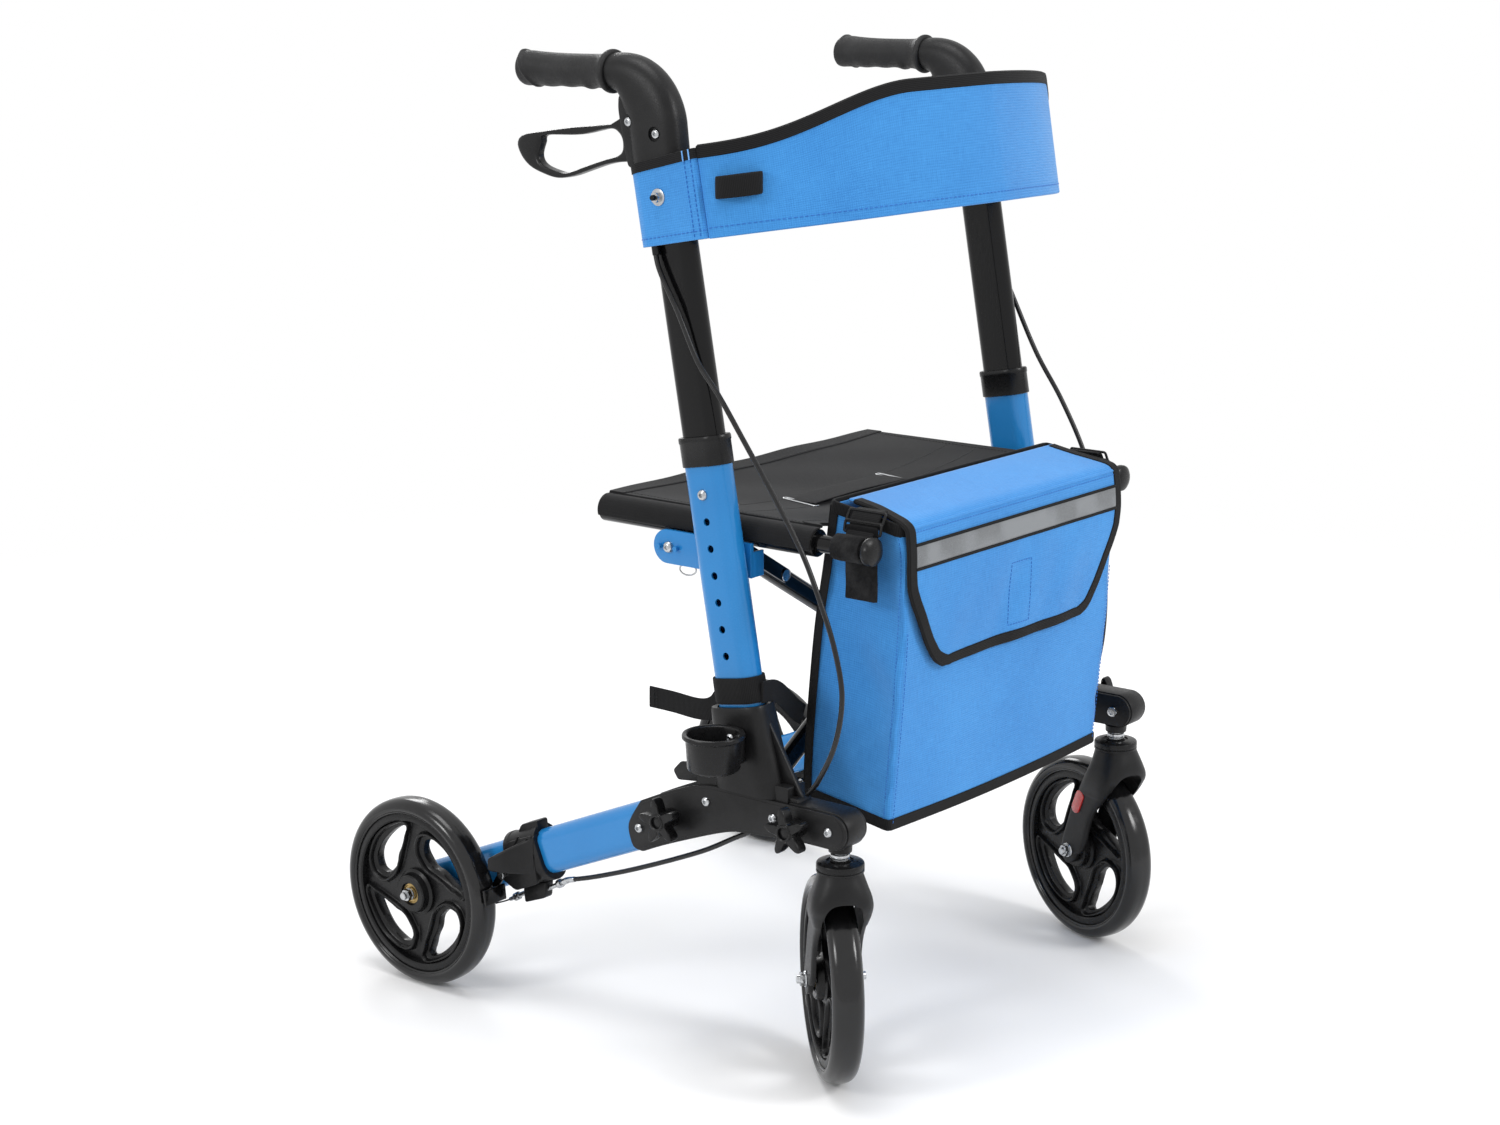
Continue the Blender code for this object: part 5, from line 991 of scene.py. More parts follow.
@dataclass(frozen=True)
class Wheel:
    """A 200 mm wheel: cast tyre, moulded rim with four teardrop openings, hub and sealed bearings."""

    radius: float = 0.1
    width: float = 0.0305
    seat: float = 0.0848
    rim_half: float = 0.013
    web_half: float = 0.0058
    rib_half: float = 0.0104
    hub_radius: float = 0.0235
    hub_half: float = 0.017
    spokes: int = 4

    def tyre(self, place: Axes) -> Skin:
        """The tread is nearly flat, its shoulders round off to a flank with a shallow bead line by the rim."""
        half = self.width / 2
        bead = (self.seat, half) + mm(0, -3, 1.2, -1.2, 2.6, -1.4, 3.4, -0.4, 6, 0)
        shoulder = (self.radius, half) + mm(-5.8, -1.2, -3, -3.4, -0.9, -7, -0.1, -11.2)
        flank = np.concatenate((bead, shoulder))
        profile = spline([*flank, (self.radius, 0.0), *(flank[::-1] * (1, -1))], 64)
        return lathe(closed(profile), 112, place)

    def opening(self) -> Array:
        """The teardrop between two spokes: a smooth loop through polar points about the hub."""
        reach, degrees = np.reshape((38, 33, 39.5, 24, 43, 15.5, 48, 12, 54, 12, 60, 14, 64.5, 20, 66.5, 28,
            67.2, 42, 68.4, 58, 70.2, 71, 69.6, 76.5, 67, 78.6, 64, 78, 58, 73, 52, 67, 45, 52, 39, 40),
            (-1, 2)).T
        return spline(polar(reach / 1000, np.radians(degrees)), 96, loop=True)

    def sector(self, turn: float, side: int) -> Array:
        """One face of the web's quarter round an opening. Each point runs from the opening's edge o to the
        quarter's border b: p = o + (b - o) v, and its height falls from the raised rib to the flat web.

        Args:
            turn: Angle of the quarter.
            side: 1 for the outer face, -1 for the inner.

        Returns:
            (rows, columns, 3) local points.
        """
        hole = self.opening()[::-1]
        centre = 0.054 * np.array((cos(pi / 4), sin(pi / 4)))
        angle = np.arctan2(hole[:, 1] - centre[1], hole[:, 0] - centre[0])
        ray = centre + polar(np.linspace(0, 0.09, 400)[:, None], angle)
        radius, bearing = np.hypot(ray[..., 0], ray[..., 1]), np.degrees(np.arctan2(ray[..., 1], ray[..., 0]))
        inside = (radius < self.seat - 0.006) & (radius > self.hub_radius - 0.003)
        inside &= (bearing > -0.5) & (bearing < 90.5)
        border = ray[np.argmin(inside, axis=0), np.arange(len(angle))]
        out = unit(border - hole)
        gap = np.linalg.norm(border - hole, axis=1, keepdims=True)
        web, rib = self.web_half, self.rib_half
        lip = (0, web) + mm(0, -2.2, 0.5, -1.5, 4.2, -0.6, 5, 0)
        border_rib = (0, rib) + mm(5.6, -1.2, 6.4, -0.2, 7.4, 0.2, 8.6, -0.2, 9.4, -1.4)
        rows = [(0.0, 0.0), *lip, *border_rib, (0.01, web), (0.011, web - 0.0008), (1.0, web - 0.0012)]
        shells = []
        for step, height in rows:
            point = border if step == 1.0 else hole + out * np.minimum(step, 0.92 * gap)
            turned = point @ ((cos(turn), sin(turn)), (-sin(turn), cos(turn)))
            shells.append(flat(turned, side * height))
        return np.array(shells)

    def rim(self, place: Axes) -> Skin:
        """Web quarters, the ring that holds the tyre, and the hub with its ribs."""
        parts = []
        for quarter in range(self.spokes):
            turn = quarter * 2 * pi / self.spokes
            both = np.concatenate((self.sector(turn, -1)[::-1], self.sector(turn, 1)[1:]))
            parts.append(grid(place.at(both)))
        lip, out, half = self.seat - 0.0085, self.seat - 0.0003, self.rim_half
        ring = [(lip, 0.001 - self.web_half), *((lip, -half) + mm(0.8, 1.5, 2, 0.2)),
            *((out, -half) + mm(-3, 0, 0, 1.2))]
        parts.append(lathe(closed(mirrored(ring)), 112, place))
        r, h = self.hub_radius, self.hub_half
        seat = (0.0108, -h) + mm(0, 2.6, 1.2, 2.6, 1.4, 0)
        hub = [*seat, (r - 0.005, -h), (r - 0.0036, 0.0012 - h), (r - 0.002, -0.0096), (r + 0.001, -0.0078)]
        parts.append(lathe(closed(mirrored(hub)), 72, place))
        return merge(*parts)

    def bearing(self, place: Axes) -> Skin:
        """Both sealed bearings: an outer race, a dished seal with a rolled groove, and an inner race."""
        rows = closed(mm(10.6, 9.5, 10.6, 14.8, 9.4, 15, 9, 14.3, 6.4, 14.1, 6, 14.9, 4.7, 14.9, 4.7, 9.5))
        return merge(*(lathe(rows * (1, sign), 48, place) for sign in (1, -1)))

    def build(self, body: str, rim_node: str, tyre_node: str, place: Axes) -> None:
        """Make the wheel's pieces.

        Args:
            body: The body that turns, which also gives the pieces' names.
            rim_node: CAD node of the rim.
            tyre_node: CAD node of the tyre.
            place: Axes whose Z is the axle, at the wheel's centre.
        """
        piece(f"{body}_tyre_cast", self.tyre(place), TYRE_RUBBER, body, (tyre_node,))
        piece(f"{body}_rim_moulded", self.rim(place), SMOOTH_NYLON, body, (rim_node,), 30.0)
        piece(f"{body}_bearings", self.bearing(place), BRASS_SEAL, body)


# Base joint, legs and wheels of one side

@dataclass(frozen=True)
class SideFrame(SidePart):
    """One side of the frame: base joint, lower post, rear leg with its bracket and brake arm, caster block."""

    plate_half: float = 0.0133
    plate: float = 0.003
    block_half: float = 0.013
    bolts: tuple = ((0.1555, 0.2231), (0.0698, 0.2677), (-0.0111, 0.2679), (-0.0759, 0.2677))
    knobs: tuple = (("rear", 0.1144, 0.2427), ("front", -0.0406, 0.265))
    nose: tuple[float, float] = (-0.079, 0.268)
    fall: float = 0.43
    axle_y: float = 0.4434
    height_hole: float = 0.5637
    cradle_bolt: tuple[float, float] = (0.1385, 0.5005)

    def plate_outline(self) -> Array:
        """Side view of the bent side plates: round nose, level front, then down along the leg."""
        front = arc(self.nose, 0.0168, 80, 270, 22)
        edge = spline(mm(-79, 251.2, -40, 250.8, 20.5, 246.2, 50.3, 240.5, 115.8, 215.6, 150, 200.5), 26)[1:]
        tail = spline(mm(152.9, 199.7, 162, 201, 166.5, 206, 170.4, 220.8, 166, 233, 153.5, 251.6), 18)
        top = spline(mm(153.5, 251.6, 124.6, 265.1, 98, 276, 70.5, 283.5, 50, 284.5, -31.1, 284.5, -76,
            284.6), 30)[1:]
        return closed(np.concatenate((front, edge, tail, top)))

    def plates(self) -> None:
        """The outer and inner side plates with their screws, nuts and the brace's clevis."""
        side, sunk = self.side, POST.x + self.plate_half
        face, outline = sunk + self.plate, self.plate_outline()
        outer = across(side, outline, sunk, face, 0.0007)
        rib = across(side, inset(outline, 0.003), face - 0.0008, face + 0.0004, 0.0004)
        self.make("outer_plate_moulded", merge(outer, rib), BLACK_NYLON, "side_plate_outer", 30.0)
        heads = [dome_screw(side, face + 0.0003, y, z, 0.0047, 0.0034) for y, z in self.bolts]
        self.make("plate_screws", merge(*heads), BRIGHT_ZINC)
        inner_face = POST.x - self.plate_half - self.plate
        inner = across(side, outline, inner_face, inner_face + self.plate, 0.0007)
        plane = self.brace_plane
        nose = arc(BRACE_FOOT, 0.008, 100, 250, 16)
        ear = closed(np.concatenate((nose, [(inner_face + 0.001, 0.245), (inner_face + 0.001, 0.272)])))
        ears = [plate(ear * (self.sign, 1), -plane + low, -plane + low + 0.004, 0.0005, FRONT_VIEW)
            for low in (0.0108, -0.0148)]
        self.make("inner_plate_moulded", merge(inner, *ears), BLACK_NYLON, "side_plate_inner", 30.0)
        nuts = [hex_nut(side, inner_face, y, z) for y, z in self.bolts if abs(y - plane) > 0.025]
        pins = [((-17.5, 17.5), 4.2, 24, 0.4), ((-14.9, -18.5), 6.8, 28, 0.6), ((14.9, 18.5), 6.8, 6, 0.6)]
        for ends, radius, steps, edge in pins:
            start, end = ((self.sign * BRACE_FOOT[0], plane + end / 1000, BRACE_FOOT[1]) for end in ends)
            nuts.append(rod(start, end, radius / 1000, steps, edge / 1000))
        self.make("plate_nuts", merge(*nuts), BRIGHT_ZINC)

    def housing(self) -> None:
        """The moulded socket: rounded-box rings from the level foot to the rim, the rim's wall, the block
        between the plates, the thin front gusset and the rear lug."""
        rows = spline(mm(285.3, 20.5, 39, 305, 20, 37, 340, 19.8, 32.2, 364.5, 19.7, 30.9, per=3), 14)
        rim = [(0.366, 0.0192, 0.0304, 3.2), (0.366, 0.0148, 0.0258, 3.2), (0.352, 0.0146, 0.0256, 3.0)]
        rows = [*((*row, 3.4) for row in rows), *rim]
        rings = [POST.axes(self.side, z).at(flat(superellipse(a, b, power, 64))) for z, a, b, power in rows]
        rings[0][:, 2] = rows[0][0]
        half = self.block_half - 0.0002
        block = self.slab(mm(-26, 250, 84, 250, 84, 299, -26, 299), 0.002, POST.x - half, POST.x + half)
        gusset = self.slab(mm(8, 361, 26, 361, 30, 287, -33.5, 285.8, -35.2, 288.5), 0.0016, 0.2452, 0.2508,
            0.001)
        curb = self.slab(mm(-36, 285, -20, 285, -20, 289, -34, 289.5), 0.001, 0.2375, 0.2585, 0.0006)
        lugs = [self.slab(mm(55, 286, 112, 279, 118, 288, 108, 298.5, 55, 303.5), 0.003, low, high, 0.001)
            for low, high in ((0.239, 0.2425), (0.2535, 0.257))]
        web = self.slab(mm(55, 286, 110, 279, 112, 288, 55, 293), 0.003, 0.242, 0.254, 0.0006)
        self.make("socket_moulded", merge(loft(rings), block, gusset, curb, *lugs, web), BLACK_NYLON,
            "base_housing", 38.0)

    def knob(self, place: str, y: float, z: float) -> None:
        """A five-armed clamp knob: its radius is a waist plus a power of a five-lobed cosine, and a raised ring
        holds the sunk cap.

        Args:
            place: rear or front.
            y: Place along the frame.
            z: Height.
        """
        turn = np.linspace(0, 2 * pi, 181)
        lobe = 0.5 + 0.5 * np.cos(5 * (turn - radians(78)))
        radius = 0.0098 + 0.0136 * lobe ** 1.7
        face = 0.2863
        rows = [(0.8, 0.2745), (0.97, 0.2749), (1.0, 0.2763), (1.0, face - 0.0018), (0.975, face - 0.0005),
            (0.9, face), (0.7, face - 0.0001)]
        rows = [(share * radius, level) for share, level in rows]
        rows += [*((0, face) + mm(8.4, 0.2, 8, 1, 7, 1.3, 6, 0.8, 5.6, -2, 3, -2.2))]
        here = facing(0, y, z, self.sign)
        star = stack(here, rows, turn)
        boss = lathe(mm(0, 264.7, 9.2, 264.7, 9.5, 266, 8.8, 274.5, 10.5, 279, 0, 279), 40, here)
        cap = lathe((0, face) + mm(0, -3, 4.6, -3, 4.4, -1.2, 2.6, -0.8, 0, -0.8), 36, here)
        self.make(f"clamp_knob_{place}", merge(star, boss, cap), SMOOTH_NYLON, f"star_knob_{place}", 40.0,
            f"knob_{place}")

    def caster_mount(self) -> None:
        """The block that rounds off the base, with the boss under it, the zinc washers and the stem."""
        outline = closed([*arc(self.nose, 0.018, 90, 270, 40), *mm(-27.5, 250, -27.5, 285.5)])
        block = across(self.side, outline, POST.x - self.block_half, POST.x + self.block_half, 0.0011)
        up = upright(self.sign * CASTER_STEM[0], CASTER_STEM[1])
        boss = lathe(mm(0, 242.9, 9.8, 242.9, 11, 243.7, 11.3, 249.6, 12, 250.6, 0, 250.6), 48, up)
        self.make("nose_block_moulded", merge(block, boss), BLACK_NYLON, "caster_block", 38.0)
        washers = lathe(mm(0, 235.3, 8.6, 235.3, 9, 235.7, 9, 237.1, 8.6, 237.4, 7.2, 237.6, 7.2, 238.5, 8.8,
            238.7, 9.1, 239.1, 9.1, 241, 8.7, 241.4, 7, 241.6, 7, 243.1, 0, 243.1), 48, up)
        stem = lathe(mm(0, 214.8, 5.4, 214.8, 5.8, 215.5, 5.8, 236, 0, 236), 32, up)
        self.make("caster_stem", merge(washers, stem), BRIGHT_ZINC)

    def lower_post(self) -> None:
        """The drilled flat-oval post. Its outer wall is a grid whose holes are cut by the round cutters."""
        side = self.side
        rows = mm(28, 50, 297.2, 28, 50, 612.5, 27.6, 49.6, 612.7, 24.6, 46.6, 612.7, 24.2, 46.2, 612.5, 24.2,
            46.2, 297.2, per=3)
        post = self.make("drilled_post", POST.sleeve(side, rows), BLUE_COAT, "lower_post")
        heights = [self.height_hole - (i + 1) * 0.0254 * cos(POST.lean) for i in range(7)]
        cut(post, merge(*(self.pin(0.258, 0.266, POST.y(z), z, 0.0037, 28, 0.0001) for z in heights)))
        y, z = self.cradle_bolt
        screw = dome_screw(side, 0.262, POST.y(self.height_hole), self.height_hole, 0.0052, 0.0034)
        bolt = dome_screw(side, 0.2346, y, z, 0.0056, 0.0042)
        nut = hex_nut(side, 0.23, y, z, 0.0095, 0.006)
        stem = self.pin(0.228, 0.2375, y, z, 0.003)
        self.make("post_screws", merge(screw, bolt, nut, stem), BRIGHT_ZINC)
        tongue = spline([(0.12, 0.484), *arc((0.1415, 0.5005), 0.0165, -88, 88, 9), (0.12, 0.517)], 40)
        strip = across(side, closed([(0.038, 0.484), *tongue, (0.038, 0.517)]), 0.23, 0.2345)
        flange = self.slab(mm(38, 484, 41, 484, 41, 508.5, 38, 508.5), 0.0006, 0.215, 0.231, 0.0004)
        cradle = self.make("cradle_bracket", merge(strip, flange), BLUE_COAT, "", 30.0)
        cut(cradle, merge(*(self.pin(0.226, 0.239, y + step, z, 0.0026, 20, 0.0001)
            for step in (-0.0105, 0.0105))))
        loop = circle(1, 40)
        ring = spread(self.sign * (0.2275 + 0.002 * loop[:, 0]), 0.121 + 0.0085 * loop[:, 0],
            0.4795 + 0.0055 * loop[:, 1])
        self.make("lock_ring", sweep(ring, circle(0.0008, 10), (1, 0, 0)), BRIGHT_ZINC)

    def collar(self) -> None:
        """The bush at the top of the lower post: a flat-oval skirt, a shoulder line and a lip that hugs the
        upper post."""
        w, d = 0.032, 0.0535
        rows = [(w + grow, d + grow, z) for grow, z in mm(-1.2, 589.5, 0, 590, 0, 610.8, 1.2, 611.8, 1.2,
            615.2, 0, 616.6, -3.5, 616.9)]
        rows += [*mm(24, 46, 616.9, 24, 46, 613.5, 28.6, 50.6, 613, 28.6, 50.6, 589.5, per=3)]
        self.make("post_bush", POST.sleeve(self.side, rows), SMOOTH_NYLON, "post_collar")

    def leg_axes(self, y: float) -> Axes:
        """Axes on the rear leg's centre line: Z down the leg, Y square to it and upward."""
        s, c = sin(atan2(self.fall, 1)), cos(atan2(self.fall, 1))
        middle = (self.sign * POST.x, y, 0.2159 - self.fall * (y - 0.175))
        return axes(middle, (1, 0, 0), (0, s, c), (0, c, -s))

    def oval_on_leg(self, rows: Array, loop: bool = True) -> Skin:
        """Flat-oval rings on the leg, one for each (width, depth, y) row: a wall as on the post, or a plug."""
        rings = [self.leg_axes(y).at(flat(stadium(w, d))) for w, d, y in rows]
        return loft([*rings, rings[0]], False) if loop else loft(rings)

    def rear_leg(self) -> None:
        """The blue flat-oval leg with its plastic end plug, and the axle with its spacer and nuts."""
        rows = mm(26, 47, 100, 26, 47, 455.2, 25.4, 46.4, 455.6, 22.2, 43.2, 455.6, 22, 43, 455, 22, 43, 100,
            per=3)
        self.make("leg_tube", self.oval_on_leg(rows), BLUE_COAT, "rear_leg")
        plug = self.oval_on_leg(mm(21.8, 42.8, 430, 21.8, 42.8, 454.5, 20.6, 41.6, 455.2, per=3), False)
        line = facing(0, self.axle_y, Wheel.radius, self.sign)
        spacer = lathe(mm(0, 261.3, 7.8, 261.3, 8, 261.8, 8, 268, 6.4, 268.6, 0, 268.6), 36, line)
        self.make("leg_plug", merge(plug, spacer), SMOOTH_NYLON)
        stub = lathe(mm(0, 230, 3.8, 230.2, 4, 231, 4, 312.5, 3.2, 313.3, 0, 313.3), 28, line)
        nut = hexagon_on(line, 0.3032, 0.3088, 0.0112)
        washer = lathe(mm(0, 301.2, 6.6, 301.2, 6.8, 301.8, 6.6, 303.4, 0, 303.4), 36, line)
        head = lathe(mm(0, 230.6, 5, 230.6, 6.6, 232.2, 6.8, 234.5, 0, 234.5), 36, line)
        self.make("rear_axle", merge(stub, nut, washer, head), BRIGHT_ZINC)

    def bracket(self) -> None:
        """The moulded brake bracket: a ribbed sleeve on the leg, its lug, the arm to the brake pivot, the cable
        adjusters and the brake's inner wire."""
        sleeve = mm(35, 59, 291.8, 36, 60, 292.4, 36, 60, 297.5, 34.8, 58.8, 298, 34.8, 58.8, 330, 36, 60,
            330.5, 36, 60, 335.5, 35, 59, 336.2, 26.6, 47.6, 336.2, 26.6, 47.6, 291.8, per=3)
        body = self.oval_on_leg(sleeve)
        lug = self.slab(mm(294, 133, 326, 120, 324, 104, 296, 115), 0.003, 0.242, 0.254, 0.001)
        arm = self.slab(mm(302, 184, 335, 170, 350.7, 146.9, 348.5, 130, 325, 120, 294, 134), 0.004, 0.26,
            0.2661, 0.0008)
        ribs = [self.slab([(0.306 + s, 0.18), (0.3085 + s, 0.179), (0.34 + s / 3, 0.14),
            (0.338 + s / 3, 0.139)], 0.0008, 0.265, 0.2672, 0.0004) for s in (0.0, 0.012)]
        x = self.sign
        hood = []
        for t in np.linspace(0, 1, 16):
            bend = t * t * (3 - 2 * t)
            near = np.array((0.25 + 0.019 * bend, 0.14 + 0.0035 * t))
            far = np.array((0.2664 + 0.0226 * bend, 0.185 - 0.027 * t))
            section = superellipse(*(far - near) / 2, 5.0, 40) + (near + far) / 2
            hood.append(spread(x * section[:, 0], 0.2985 + 0.0425 * t, section[:, 1]))
        boss = self.slab(mm(302, 198, 326, 188, 330, 178, 300, 180), 0.004, 0.24, 0.256, 0.0016)
        self.make("brake_bracket_moulded", merge(body, lug, arm, loft(hood), boss, *ribs), BLACK_NYLON,
            "rear_bracket")
        run = axes_along((x * POST.x, 0.2687, 0.139), (0, 0.0298, -0.0165))
        front = lathe(mm(0, 0, 3, 0, 3.4, 1, 3.4, 6, 2.4, 6.4, 2.4, 9, 4.4, 9.4, 4.6, 10, 4.6, 14.2, 4.4,
            14.8, 2.4, 15, 2.4, 33, 0, 33), 20, run)
        back = axes_along((x * POST.x, 0.32, 0.117), (0, 0.0306, -0.0172))
        rear = lathe(mm(0, 0, 3.6, 0, 3.8, 1, 3.8, 6, 2.6, 6.4, 2.6, 20, 4.2, 20.4, 4.4, 21.2, 4.4, 26.2, 4,
            27, 2.4, 27.4, 2.2, 35, 0, 35), 20, back)
        self.make("cable_adjusters", merge(front, rear), BRIGHT_ZINC)
        wire = mm(248, 349.5, 100.4, 250, 356, 97.2, 256, 364, 94.5, 264, 370, 92.7, per=3) * (x, 1, 1)
        wire = sweep(spline(wire, 16), circle(0.0008, 8), (1, 0, 0))
        self.make("brake_wire", wire, CABLE_SHEATH)

    def brake(self) -> None:
        """The stamped brake arm with its shoe and clevis nipple, on the bracket's pin."""
        arm = self.slab(mm(337.5, 134.5, 340, 140, 345, 140, 348, 133.5, 374.2, 93.5, 372.2, 89, 368, 89, 365,
            93.5), 0.0024, 0.2665, 0.269, 0.0004)
        shoe = self.slab(mm(339.2, 125, 343.2, 124.5, 340.8, 109, 337.5, 108.5), 0.0012, 0.2665, 0.296,
            0.0006)
        nipple = self.pin(0.264, 0.2715, 0.37, 0.0927, 0.0034)
        pin = self.pin(0.266, 0.2712, 0.342, 0.1345, 0.0046)
        self.make("brake_arm_stamped", merge(arm, shoe), BLACK_COAT, "brake_arm", 30.0, "brake")
        self.make("brake_pins", merge(nipple, pin), BRIGHT_ZINC, on="brake")

    def lower_cable(self) -> None:
        """The sheathed cable from the base to the bracket's adjuster, with a ferrule at each end."""
        path = spline(mm(30, 241.2, 48, 231.8, 92.3, 207.9, 170.2, 174.2, 230, 151.5, 268, 139.5), 90)
        route = spread(self.sign * POST.x, path[:, 0], path[:, 1])
        self.make("lower_cable_sheath", sweep(route, circle(0.0025, 14), (1, 0, 0)), CABLE_SHEATH,
            "brake_cable_lower")
        ferrule = axes_along(route[-1], route[-1] - route[-4])
        skin = lathe(mm(0, -10, 2.7, -10, 3, -9.4, 3, 0.4, 0, 0.4), 20, ferrule)
        self.make("cable_ferrule", skin, BRIGHT_ZINC)

    def build(self) -> None:
        """Make every piece of this side's frame and its rear wheel."""
        self.plates()
        self.housing()
        for place, y, z in self.knobs:
            self.knob(place, y, z)
        self.caster_mount()
        self.lower_post()
        self.collar()
        self.rear_leg()
        self.bracket()
        self.brake()
        self.lower_cable()
        s = self.sign
        hub = axes((s * 0.28584, self.axle_y, Wheel.radius), (0, -s, 0), (0, 0, 1), (s, 0, 0))
        Wheel().build(*map(self.named, ("rear_wheel", "rear_wheel_rim", "rear_tyre")), hub)


def cut(made: bpy.types.Object, cutters: Skin, operation: str = "DIFFERENCE") -> None:
    """Cut openings into a finished piece, or join a solid to it, and keep the result as its mesh.

    Args:
        made: The piece.
        cutters: Closed solids of what is taken away or joined on.
        operation: DIFFERENCE or UNION.
    """
    mesh = bpy.data.meshes.new("cutters")
    faces = [row for block in cutters.faces for row in block.tolist()]
    mesh.from_pydata((cutters.points + DATUM).tolist(), [], faces)
    clean(mesh, 1e-7)
    tool = bpy.data.objects.new("cutters", mesh)
    bpy.context.scene.collection.objects.link(tool)
    carve = made.modifiers.new("openings", "BOOLEAN")
    carve.operation, carve.solver, carve.object = operation, "EXACT", tool
    bpy.context.view_layer.update()
    shape = bpy.data.meshes.new_from_object(made.evaluated_get(bpy.context.evaluated_depsgraph_get()))
    made.modifiers.clear()
    made.data = shape
    shape.set_sharp_from_angle(angle=radians(34))
    bpy.data.objects.remove(tool)


# Caster

@dataclass(frozen=True)
class Caster(SidePart):
    """A swivelling front fork with its 200 mm wheel."""

    home: str = "caster"
    trail: float = 0.0471
    turns: tuple[float, float] = (-42.46, -19.71)
    slot: float = 0.039
    leg: float = 0.0245

    @property
    def turn(self) -> float:
        """The swivel angle seen in the photograph."""
        return radians(self.turns[0] if self.side is Side.RIGHT else self.turns[1])

    def place(self, ahead: float, height: float) -> tuple[Array, Array, Array]:
        """Origin on the stem's line at (ahead, height), the axle's direction and the trail's direction."""
        axle = np.array((cos(self.turn), sin(self.turn), 0.0))
        trail = np.array((-sin(self.turn), cos(self.turn), 0.0))
        foot = np.array((self.sign * CASTER_STEM[0], CASTER_STEM[1], height))
        return foot + trail * ahead, axle, trail

    def hub(self) -> Axes:
        """Axes at the wheel's centre, with the axle as Z."""
        origin, axle, trail = self.place(self.trail, Wheel.radius)
        return Axes(origin, trail, np.array((0.0, 0.0, 1.0)), axle)

    def fork(self) -> None:
        """The moulded fork: a side profile crossed with a front profile, hollowed by the wheel's arch and by a
        window in front."""
        origin, axle, trail = self.place(0, 0)
        up = np.array((0.0, 0.0, 1.0))
        front = spline(mm(-21.2, 229, -22.6, 223, -26.2, 212, -27.6, 203, -26.2, 194, -20, 184.5, -9.7, 171,
            6.7, 151.6, 14, 134, 18.6, 116.6, 25, 103, 33, 97.5), 200)
        rear = spline(mm(61.6, 97.5, 60.5, 105, 58, 115, 52.5, 130, 41.7, 159, 30, 180, 24, 195, 21.6, 208,
            20.8, 220, 20.8, 229), 200)
        half = spline([(0.0205, 0.229), (0.0212, 0.223), (0.0248, 0.212), (0.0284, 0.202), (0.0298, 0.193),
            (0.029, 0.184), (0.0264, 0.173), (self.leg, 0.16), (self.leg, 0.085)], 200)
        rings = []
        foot = 0.1 - 0.0143 * np.sin(np.linspace(0.08, 1.5, 12))
        for z in np.concatenate((np.linspace(0.2275, 0.1, 76), foot)):
            ahead = float(np.interp(z, front[::-1, 1], front[::-1, 0]))
            behind = float(np.interp(z, rear[:, 1], rear[:, 0]))
            if z < 0.1:
                reach = sqrt(max(0.0145 ** 2 - (z - 0.1) ** 2, 1e-8))
                ahead, behind = self.trail - reach, self.trail + reach
            power = float(np.interp(z, (0.15, 0.185, 0.205, 0.2275), (9.0, 4.2, 2.7, 2.1)))
            wide = float(np.interp(z, half[::-1, 1], half[::-1, 0]))
            section = superellipse(wide, (behind - ahead) / 2, power, 88)
            level = origin + trail * (ahead + behind) / 2 + up * z
            rings.append(level + section[:, 0:1] * axle + section[:, 1:2] * trail)
        made = self.make("caster_fork_moulded", loft(rings), BLACK_NYLON, "caster_fork", 46.0)
        arch = (0, -self.slot / 2) + mm(0, 0, 102, 0, 105, 1.2, 106, 4.2)
        cut(made, lathe(mirrored(arch), 120, self.hub()))
        section = superellipse(0.0182, 0.02, 2.8, 48)
        window = section[:, 0:1] * axle + section[:, 1:2] * up
        cut(made, loft([self.place(ahead, 0.18)[0] + window for ahead in (-0.04, 0.012)]))
        made.data.set_sharp_from_angle(angle=radians(40))

    def crown(self) -> None:
        """The round cap over the swivel bearing, with a groove and a rounded lip, and a stem nut's seat."""
        origin, axle, trail = self.place(0, 0)
        line = Axes(origin, axle, trail, np.array((0.0, 0.0, 1.0)))
        profile = mm(0, 222.2, 20.5, 222.2, 21.6, 223.8, 22.6, 224.6, 22.6, 226.2, 21.7, 226.8, 21.7, 227.6,
            22.6, 228.2, 22.6, 231.8, 22, 233, 20, 233.8, 13, 234.6, 12.8, 233.6, 10, 233.4, 9.8, 234.9, 6.4,
            235, 6.4, 223.5, 0, 223.5)
        self.make("caster_cap", lathe(profile, 88, line), SMOOTH_NYLON)

    def axle(self) -> None:
        """The axle bolt with a domed head, a lock nut and washers on both legs."""
        line = self.hub()
        shaft = lathe(mirrored(mm(0, -33.5, 3.6, -33.5, 4, -32.8)), 28, line)
        parts = [shaft, hexagon_on(line, 0.0256, 0.0305, 0.0116), hexagon_on(line, -0.0305, -0.0256, 0.0116)]
        for sign in (-1, 1):
            parts.append(lathe(mm(0, 24.3, 7.6, 24.3, 8, 24.9, 7.6, 25.8, 0, 25.8) * (1, sign), 36, line))
            parts.append(lathe(mm(3.8, 17.2, 7.8, 17.2, 7.8, 19.6, 3.8, 19.6) * (1, sign), 32, line))
        self.make("caster_axle", merge(*parts), BRIGHT_ZINC)

    def reflector(self) -> None:
        """The red oval reflector on the fork leg that faces the middle of the frame."""
        origin, axle, trail = self.place(0.03, 0.16)
        inward = -self.sign * axle
        lean = unit(trail * 0.45 - (0, 0, 1))
        face = Axes(origin + inward * (self.leg + 0.0002), np.cross(lean, inward), lean, inward)
        self.make("fork_reflector", plate(stadium(0.0125, 0.029), -0.0016, 0.0016, 0.0007, face),
            RED_REFLECTOR)

